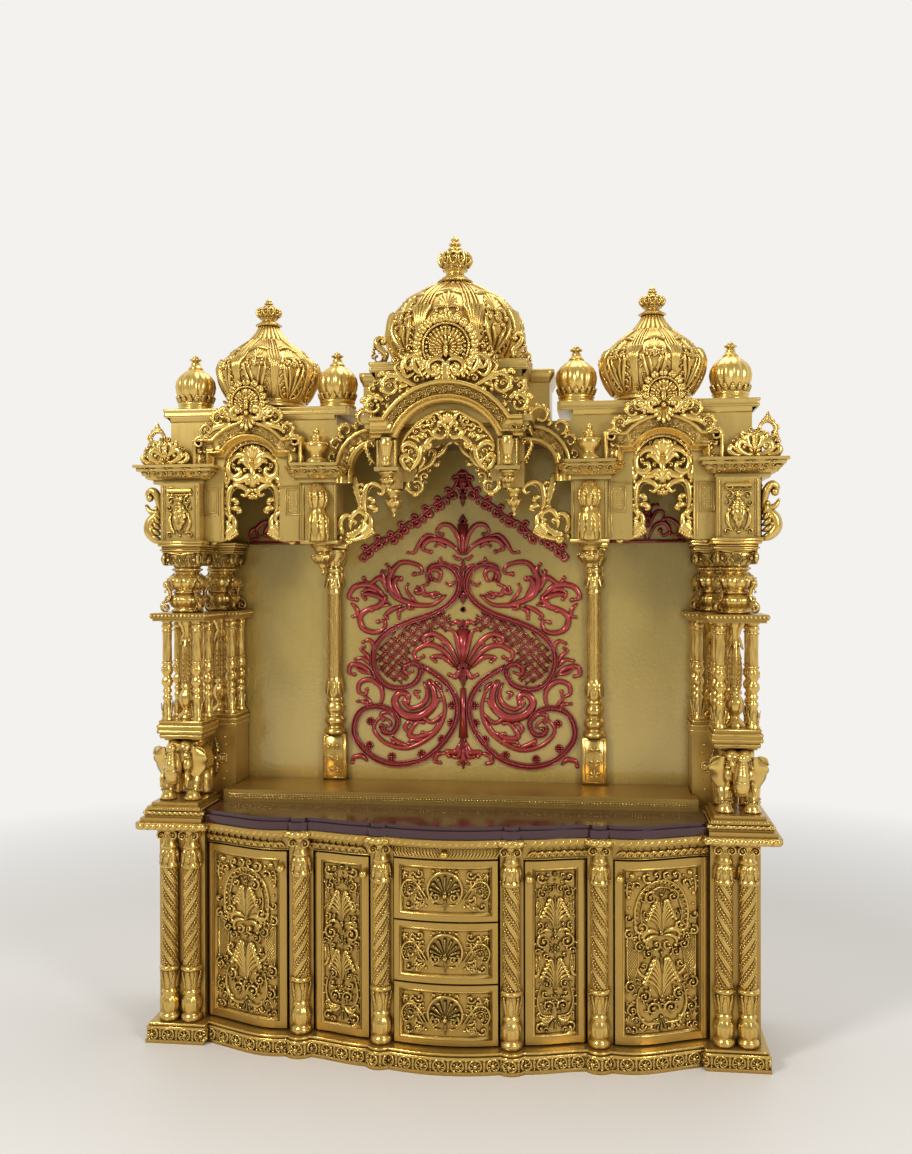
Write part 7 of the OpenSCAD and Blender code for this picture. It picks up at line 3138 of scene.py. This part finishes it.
@dataclass
class Crests:
    """The carved crests over the arches and the leaf clusters at the corners of the cornice."""

    corner_x: float = 815.0
    front_y: float = -58.0

    def cluster(self) -> Carving:
        """Returns the leaf cluster that stands on a corner of the cornice.

        Returns:
            The carving.
        """
        c = Carving(7.0, 1.3)
        half = Carving(7.0, 1.8)
        limbs(half, (
            (12, 2, 4, 26, 8, 44, 24, 38, 42, 22, 36, 28, 26), (10, 2, 20, 16, 34, 20, 54, 8, 60, 4, 50),
            (10, 30, 6, 52, 6, 66, 18, 60, 30, 50, 22), (8, 14, 44, 30, 52, 32, 64, 24, 62),
        ), 9)
        half.fill([(2, 84), (26, 72), (46, 58), (68, 36), (70, 3), (2, 2)], 5.0, 12, 10)
        c.take(half.mirror())
        c.leaf([(0, 20), (0, 72)], 20, 10, 5)
        c.fan((0, 4), 26, 5, 140, 9, 10, inner=0.1)
        return c

    def half_crest(self) -> Carving:
        """Returns the scrolls on the back of a half arch, drawn about the arch's centre.

        Returns:
            The carving.
        """
        c = Carving(9.0, 1.6)
        back_scrolls(c, ((11, 29, 1), (38, 21, -1), (59, 17, 1), (76, 12, -1)), 113, 0.8, 116, 0.2)
        return c

    def corner(self) -> Carving:
        """Returns the bead-lined scroll that stands at the outer corner of the cornice.

        Returns:
            The carving.
        """
        c = Carving(8.0, 1.5)
        c_scroll(c, (0, 80), 28, -80, 0.95, 10, 4)
        limb(c, [(-18, 2), (0, 12), (14, 32), (10, 52)], 14, 9)
        limb(c, [(6, 2), (22, 14), (24, 34), (12, 30)], 9, 9)
        c.leaf([(4, 100), (6, 128)], 20, 9, 3)
        return c

    def build(self) -> None:
        """Builds the crests."""
        s, pair = Sheets(), Sheets()
        Porch().crest().lay(s, Plane((0, -150, 0)))
        arch = SideArches()
        arch.crest().copy((arch.x, arch.z + arch.radius)).lay(pair, Plane((0, self.front_y, 0)))
        self.cluster().copy((self.corner_x, 1611)).lay(pair, Plane((0, self.front_y, 0)))
        self.cluster().copy((20, 1611)).lay(pair, Plane((878, 0, 0), (0, 1, 0)))
        self.corner().copy((851, 1611)).lay(pair, Plane((0, -12, 0)))
        self.half_crest().copy((218, 1600)).lay(pair, Plane((0, -32, 0)))
        s.join(pair.mirrored())
        place("crests_carved", s, CARVED, "crests")


# ---------------------------------------------------------------- domes


@dataclass
class Dome:
    """A carved onion dome with beaded ribs, arched panels, acanthus clumps and a melon finial.

    The shape above the widest level is given by pairs of (share of the way up to the neck, share of the radius).
    """

    x: float
    y: float
    foot: float
    radius: float
    widest: float
    neck: float
    tip: float
    shape: tuple[tuple[float, float], ...]
    base: float = 0.74
    lip: float = 0.27
    brow: float = 0.66
    hem: float = 0.94
    panels: int = 8
    PLEATS: ClassVar[int] = 24
    MELON_RIBS: ClassVar[int] = 12
    RELIEF: ClassVar[float] = 1.15
    FINIAL_SHARE: ClassVar[float] = 0.26

    def up(self, share: float) -> float:
        """Returns the height at a share of the way from the widest level to the neck."""
        return self.widest + share * (self.neck - self.widest)

    def low(self, share: float) -> float:
        """Returns the height at a share of the way from the foot to the widest level."""
        return self.foot + share * (self.widest - self.foot)

    def outline(self) -> Array:
        """Returns (radius, height) pairs of the dome's body.

        Returns:
            The pairs.
        """
        r, b = self.radius, self.base
        lower = [(r * (b + (1 - b) * math.sin(t * math.pi / 2) ** 0.9), self.low(t)) for t in np.linspace(0, 1, 10)]
        u, q = zip(*self.shape)
        share = np.linspace(0, 1, 22)[1:]
        return np.array(lower + [(r * float(np.interp(t, u, q)), self.up(t)) for t in share])

    def radius_at(self, z: Array) -> Array:
        """Returns the body's radius at a height."""
        o = self.outline()
        return np.interp(z, o[:, 1], o[:, 0])

    def around(self, turn: float) -> Round:
        """Returns the surface that faces the given direction."""
        return Round(self.x, self.y, self.radius_at, turn=turn)

    def finial(self, s: Sheets) -> None:
        """Adds the neck, the melon with its loops, and the spire.

        Args:
            s: The sheets that it joins.
        """
        tall, neck, b = self.tip - self.neck, self.neck, self.FINIAL_SHARE * self.radius
        melon_line = [(0.31, 0.58), (0.36, 0.80), (0.43, 0.92), (0.50, 0.92), (0.57, 0.80), (0.625, 0.56)]
        low = [(-0.03, 0.86), (0.0, 0.98), (0.04, 0.98), (0.07, 0.74), (0.10, 0.76), (0.13, 0.60), (0.18, 0.52),
            (0.22, 0.52), (0.24, 0.66), (0.28, 0.66)]
        high = [(0.64, 0.34), (0.66, 0.42), (0.69, 0.44), (0.71, 0.40), (0.735, 0.22), (0.76, 0.22), (0.775, 0.34),
            (0.80, 0.36), (0.82, 0.30), (0.845, 0.18), (0.865, 0.18), (0.88, 0.25), (0.90, 0.24), (0.93, 0.12),
            (0.96, 0.09), (1.0, 0.02)]
        line = [(q * b, neck + h * tall) for h, q in low + melon_line + high]
        lathe(s, line, self.x, self.y, 0, 48, melon(self.MELON_RIBS, 0.14, neck + 0.29 * tall, neck + 0.63 * tall),
            caps="b")
        h, q = np.array(melon_line).T
        z0, z1 = neck + 0.36 * tall, neck + 0.58 * tall
        t = np.linspace(-math.pi / 2, math.pi * 1.5, 20)
        loop = np.stack([0.19 * b * np.cos(t), 0.5 * (z0 + z1) + 0.5 * (z1 - z0) * np.sin(t)], axis=-1)
        for i in range(self.MELON_RIBS):
            c = Carving()
            c.stroke(loop, 0.12 * b, 0.11 * b, around=5)
            c.dots([loop.mean(0)], 0.08 * b, 1.2)
            c.lay(s, Round(self.x, self.y, lambda z: np.interp((z - neck) / tall, h, q * b),
                turn=360 / self.MELON_RIBS * i))
        bead_ring(s, self.x, self.y, neck + 0.02 * tall, 0.98 * b, 0.055 * b)
        bead_ring(s, self.x, self.y, neck + 0.26 * tall, 0.68 * b, 0.05 * b)

    def body(self, s: Sheets) -> None:
        """Adds the body, its base rings and the pleated skirt under the neck.

        Args:
            s: The sheets that it joins.
        """
        r, f = self.radius, self.foot
        lathe(s, self.outline(), self.x, self.y, 0, 96, fine=12)
        k = r / 150
        rings = [(0.02, -14), (0.06, -11), (0.06, -4), (0.03, -1), (0.0, 2), (0.05, 6), (0.05, 11), (0.0, 15)]
        lathe(s, [(r * (self.base + a), f + h * k) for a, h in rings], self.x, self.y, 0, 72)
        for i in range(self.PLEATS):
            c = Carving()
            foot, top = self.up(self.hem), self.neck + 0.01 * (self.tip - self.neck)
            wide = TAU * float(self.radius_at(np.array(foot))) / self.PLEATS
            slim = TAU * float(self.radius_at(np.array(top))) / self.PLEATS
            c.stroke([(0, top), (0, 0.5 * (foot + top)), (0, foot)], [slim, 0.5 * (slim + wide), wide * 1.02],
                np.array([0.012, 0.024, 0.034]) * r, around=5)
            c.dots([(0, foot)], wide * 0.5, 0.55)
            c.lay(s, self.around(360 * i / self.PLEATS))

    def rib(self) -> Carving:
        """Returns one beaded rib that opens into a fluted trumpet leaf.

        Returns:
            The carving.
        """
        c = Carving(bold=self.RELIEF)
        r, top, lip = self.radius, self.up(self.hem - 0.03), self.up(self.lip)
        z = np.linspace(lip + 0.03 * r, top, 17)
        share = self.radius_at(z) / r
        size = 0.036 * r * (0.5 + 0.5 * share)
        gaps = size * 2.15
        places = z[0] + (np.cumsum(gaps) - gaps[0]) * (top - z[0]) / gaps.sum()
        c.dots(np.stack([0 * places, places], -1), size, 0.95)
        for side in (-1, 1):
            for off, w in ((0.066, 0.030), (0.125, 0.036)):
                c.stroke(np.stack([side * off * r * (0.25 + 0.75 * share), z], -1), w * r * (0.45 + 0.55 * share),
                    0.034 * r, around=5)
        for k in range(-2, 3):
            path = smooth_path([(k * 0.014 * r, self.low(0.10)), (k * 0.022 * r, self.low(0.62)),
                (k * 0.034 * r, lip - 0.12 * r), (k * 0.060 * r, lip + 0.02 * r)], 12)
            c.stroke(path, np.linspace(0.5, 1.25, 12) * 0.055 * r,
                (0.5 + 0.9 * np.linspace(0, 1, 12) ** 2) * 0.062 * r)
        c.dots([(k * 0.060 * r, lip + 0.02 * r - abs(k) * 0.012 * r) for k in range(-2, 3)], 0.034 * r, 1.7)
        return c

    def panel(self) -> Carving:
        """Returns one panel: a brow over a shell, a ball with side scrolls and an acanthus clump.

        Returns:
            The carving.
        """
        c = Carving(bold=self.RELIEF)
        r, lip, brow = self.radius, self.up(self.lip), self.up(self.brow)
        t = np.linspace(-1, 1, 15)
        for k, w, h in ((1.0, 0.045, 0.050), (1.32, 0.020, 0.022)):
            line = np.stack([0.20 * r * k * t, brow - 0.075 * r * t**2 + (k - 1) * 0.14 * r], -1)
            c.stroke(line, (0.45 + 0.55 * np.sqrt(np.clip(1 - t**2, 0, 1))) * w * r, h * r, around=6)
        seat = lip + 0.02 * r
        c.fan((0, seat), max(brow - seat - 0.05 * r, 0.1 * r), 7, 116, 0.062 * r, 0.042 * r, inner=0.12)
        c.dots([(0, seat - 0.01 * r)], 0.040 * r, 1.4)
        c.leaf([(0, seat - 0.18 * r), (0, seat)], 0.13 * r, 0.06 * r, 3, lift=0.02 * r)
        half = Carving(bold=self.RELIEF)
        half.curl((0.03 * r, seat - 0.02 * r), 30, 0.20 * r, -170, 0.055 * r, 0.05 * r)
        limb(half, [(0.02 * r, self.low(0.12)), (0.10 * r, self.low(0.42)), (0.20 * r, self.low(0.82)),
            (0.20 * r, seat - 0.12 * r), (0.14 * r, seat - 0.14 * r)], 0.075 * r, 0.060 * r)
        limb(half, [(0.03 * r, self.low(0.30)), (0.06 * r, self.low(0.66)), (0.11 * r, self.low(0.92)),
            (0.07 * r, self.low(1.0))], 0.060 * r, 0.055 * r)
        for k in range(5):
            half.curl((0.05 * r + 0.036 * r * k, self.low(0.22 + 0.15 * k)), 20 + 10 * k, 0.13 * r, -140, 0.045 * r,
                0.045 * r, n=8)
        limb(half, [(0.02 * r, self.low(0.10)), (0.16 * r, self.low(0.16)), (0.24 * r, self.low(0.42)),
            (0.18 * r, self.low(0.50))], 0.045 * r, 0.045 * r)
        half.dots([(0.045 * r, self.low(0.52)), (0.07 * r, self.low(0.62)), (0.035 * r, self.low(0.64))], 0.026 * r,
            1.4)
        c.take(half.mirror())
        return c

    def build(self) -> Sheets:
        """Returns the whole dome.

        Returns:
            The sheets.
        """
        s = Sheets()
        self.body(s)
        self.finial(s)
        rib, panel = self.rib(), self.panel()
        for i in range(self.panels):
            turn = 360 * i / self.panels
            panel.lay(s, self.around(turn))
            rib.lay(s, self.around(turn + 180 / self.panels))
        return s


def great_dome() -> Dome:
    """Returns the middle dome.

    Returns:
        The dome, about its own axis.
    """
    shape = ((0.0, 1.0), (0.12, 0.985), (0.27, 0.94), (0.42, 0.86), (0.577, 0.745), (0.73, 0.58), (0.86, 0.40),
        (0.94, 0.26), (1.0, 0.19))
    return Dome(0.0, 54.0, 1893.0, 190.0, 1976.0, 2126.0, 2264.0, shape, 0.80)


def side_dome() -> Dome:
    """Returns the side dome on the right.

    Returns:
        The dome, about its own axis.
    """
    shape = ((0.0, 1.0), (0.06, 0.985), (0.13, 0.935), (0.26, 0.82), (0.36, 0.73), (0.45, 0.64), (0.52, 0.55),
        (0.58, 0.466), (0.66, 0.375), (0.75, 0.305), (0.84, 0.25), (0.92, 0.205), (1.0, 0.18))
    return Dome(553.5, 84.0, 1792.0, 144.0, 1892.0, 2026.0, 2108.0, shape, 0.70, 0.13, 0.40, 0.66)


@dataclass
class Domes:
    """The great dome, two side domes and four small ribbed domes."""

    middle: Dome = field(default_factory=great_dome)
    side: Dome = field(default_factory=side_dome)

    def small(self, x: float) -> Sheets:
        """Returns a small dome of smooth ribs with leaf bumps round its base.

        Args:
            x: X of its axis.

        Returns:
            The sheets.
        """
        s = Sheets()
        y, z = 54.0, PLAN.roof_z
        p = [(51, 0), (54, 3), (54, 8), (50, 11), (48, 15), (51, 18), (51, 23), (47, 27), (45, 33), (51, 42),
            (57, 58), (59, 74), (56, 90), (47, 104), (34, 115), (23, 122), (17, 128)]
        lathe(s, p, x, y, z, 96, melon(12, 0.10, 33, 124), fine=6)
        q = [(19, 121), (22, 124), (21, 129), (16, 133), (13, 139), (14, 142), (12, 144), (8, 146), (11, 148),
            (17, 151), (18, 154), (13, 157), (7, 159), (9, 161), (5, 163), (1, 167)]
        lathe(s, q, x, y, z, 28, caps="b")
        for i in range(16):
            c = Carving()
            c.leaf([(0, z + 26), (0, z + 46)], 18, 5, 3, lift=3, across=5)
            c.dots([(0, z + 42)], 4.5, 1.1)
            c.lay(s, Round(x, y, lambda h: np.interp(h - z, [26, 46], [47, 53]), turn=22.5 * i))
        return s

    def build(self) -> None:
        """Builds the domes."""
        place("centre_dome_carved", self.middle.build(), DOME_GOLD, "centre_dome")
        place("side_domes_carved", self.side.build().mirrored(), DOME_GOLD, "side_domes")
        small = Sheets()
        for x in (342.0, 765.0):
            small.join(self.small(x))
        place("small_domes_ribbed", small.mirrored(), DOME_GOLD, "small_domes")


# ---------------------------------------------------------------- room, light and camera


@dataclass
class Studio:
    """A plain pale room, soft lamps and the camera."""

    eye: tuple[float, float, float] = (401.8, -3167.0, 1311.5)
    yaw: float = -7.10
    pitch: float = -0.34
    roll: float = 0.12
    lens: float = 35.59
    floor_half: float = 9.0
    fill: float = 0.42

    def camera(self) -> None:
        """Makes the camera."""
        data = bpy.data.cameras.new("camera")
        data.lens, data.sensor_width, data.sensor_fit = self.lens, 36.0, "AUTO"
        data.clip_start, data.clip_end = 0.05, 60.0
        thing = bpy.data.objects.new("camera", data)
        turn = Euler((0, 0, math.radians(-self.yaw))).to_matrix()
        tilt = Euler((math.radians(90 + self.pitch), 0, 0)).to_matrix()
        spin = Euler((0, 0, math.radians(-self.roll))).to_matrix()
        thing.matrix_world = (turn @ tilt @ spin).to_4x4()
        thing.location = Vector(self.eye) * MM
        bpy.context.collection.objects.link(thing)
        bpy.context.scene.camera = thing

    def lamp(self, name: str, place_m: Colour, target: Colour, size: float, power: float, colour: Colour) -> None:
        """Makes one soft square lamp that faces a target.

        Args:
            name: Its name.
            place_m: Where it hangs, in metres.
            target: What it faces, in metres.
            size: Length of its side, in metres.
            power: Its power in watts.
            colour: Its colour.
        """
        data = bpy.data.lights.new(name, "AREA")
        data.shape, data.size, data.energy, data.color = "SQUARE", size, power, colour
        thing = bpy.data.objects.new(name, data)
        thing.location = place_m
        thing.rotation_mode = "QUATERNION"
        thing.rotation_quaternion = (Vector(target) - Vector(place_m)).to_track_quat("-Z", "Y")
        bpy.context.collection.objects.link(thing)

    def floor(self) -> None:
        """Makes the pale floor, which keeps the mandir's shadow."""
        half = self.floor_half
        mesh = bpy.data.meshes.new("floor")
        mesh.from_pydata([(-half, -half, 0), (half, -half, 0), (half, half, 0), (-half, half, 0)], [], [(0, 1, 2, 3)])
        thing = bpy.data.objects.new("floor", mesh)
        bpy.context.collection.objects.link(thing)
        s = Shader("floor")
        tone = s.noise(0.6, 2.0)
        colour = s.blend(tone, (0.84, 0.82, 0.79), (0.88, 0.86, 0.83))
        surface = s.node("ShaderNodeBsdfPrincipled", {}, {"Base Color": colour, "Roughness": 0.5})
        glow = s.node("ShaderNodeEmission", {}, {"Color": (0.90, 0.885, 0.86), "Strength": 1.0})
        spot = s.node("ShaderNodeTexCoord").outputs["Object"]
        away = Value(s, s.node("ShaderNodeVectorMath", {"operation": "LENGTH"}, {0: spot}).outputs["Value"])
        far = s.ramp(away * (1 / half), [(0.20, 0.0), (0.42, 1.0)])
        mixed = s.node("ShaderNodeMixShader", {}, {0: far, 1: surface.outputs[0], 2: glow.outputs[0]})
        s.tree.links.new(mixed.outputs[0], s.output.inputs["Surface"])
        mesh.materials.append(s.material)

    def world(self) -> None:
        """Makes the surroundings: pale for the camera, and a dimmer room in front for what shines."""
        world = bpy.data.worlds.new("room")
        bpy.context.scene.world = world
        world.use_nodes = True
        tree = world.node_tree
        tree.nodes.clear()
        s = Shader.__new__(Shader)
        s.material, s.tree = None, tree
        path = s.node("ShaderNodeLightPath")
        camera = Value(s, path.outputs["Is Camera Ray"])
        mirror = (Value(s, path.outputs["Is Glossy Ray"]) + Value(s, path.outputs["Is Transmission Ray"])).clipped()
        way = s.node("ShaderNodeTexCoord").outputs["Generated"]
        behind = Value(s, s.node("ShaderNodeSeparateXYZ", {}, {0: way}).outputs[1])
        behind = s.ramp(behind * 0.5 + 0.5, [(0.30, 0.40), (0.62, 1.0)])
        colour = s.blend(camera, (0.93, 0.93, 0.92), (0.90, 0.885, 0.86))
        shine = mirror * (behind - self.fill) + self.fill
        light = s.node("ShaderNodeBackground", {}, {"Color": colour, "Strength": camera * (1 - shine) + shine})
        out = s.node("ShaderNodeOutputWorld")
        tree.links.new(light.outputs[0], out.inputs["Surface"])

    def build(self) -> None:
        """Builds the room."""
        scene = bpy.context.scene
        scene.view_settings.view_transform = "Standard"
        self.camera()
        self.floor()
        self.world()
        self.lamp("key_lamp", (-2.6, -3.4, 3.6), (0, 0, 1.1), 0.9, 110, (1.0, 0.97, 0.92))
        self.lamp("fill_lamp", (2.8, -3.2, 2.4), (0, 0, 1.0), 0.9, 62, (1.0, 0.98, 0.96))
        self.lamp("top_lamp", (0.4, 0.6, 4.6), (0, 0, 1.8), 2.0, 50, (1.0, 0.98, 0.95))


def main() -> None:
    """Builds every part of the mandir in order, then the room."""
    logging.basicConfig(level=logging.INFO, format="%(name)s: %(message)s")
    for part in PARTS:
        part.build()
    Studio().build()


PARTS = (
    Plinth(),
    BaseColumns(),
    Doors(),
    Drawers(),
    Frieze(),
    Countertop(),
    UpperPiers(),
    BackPanel(),
    SideArches(),
    Canopy(),
    Porch(),
    Crests(),
    Domes(),
)

if __name__ == "__main__":
    main()
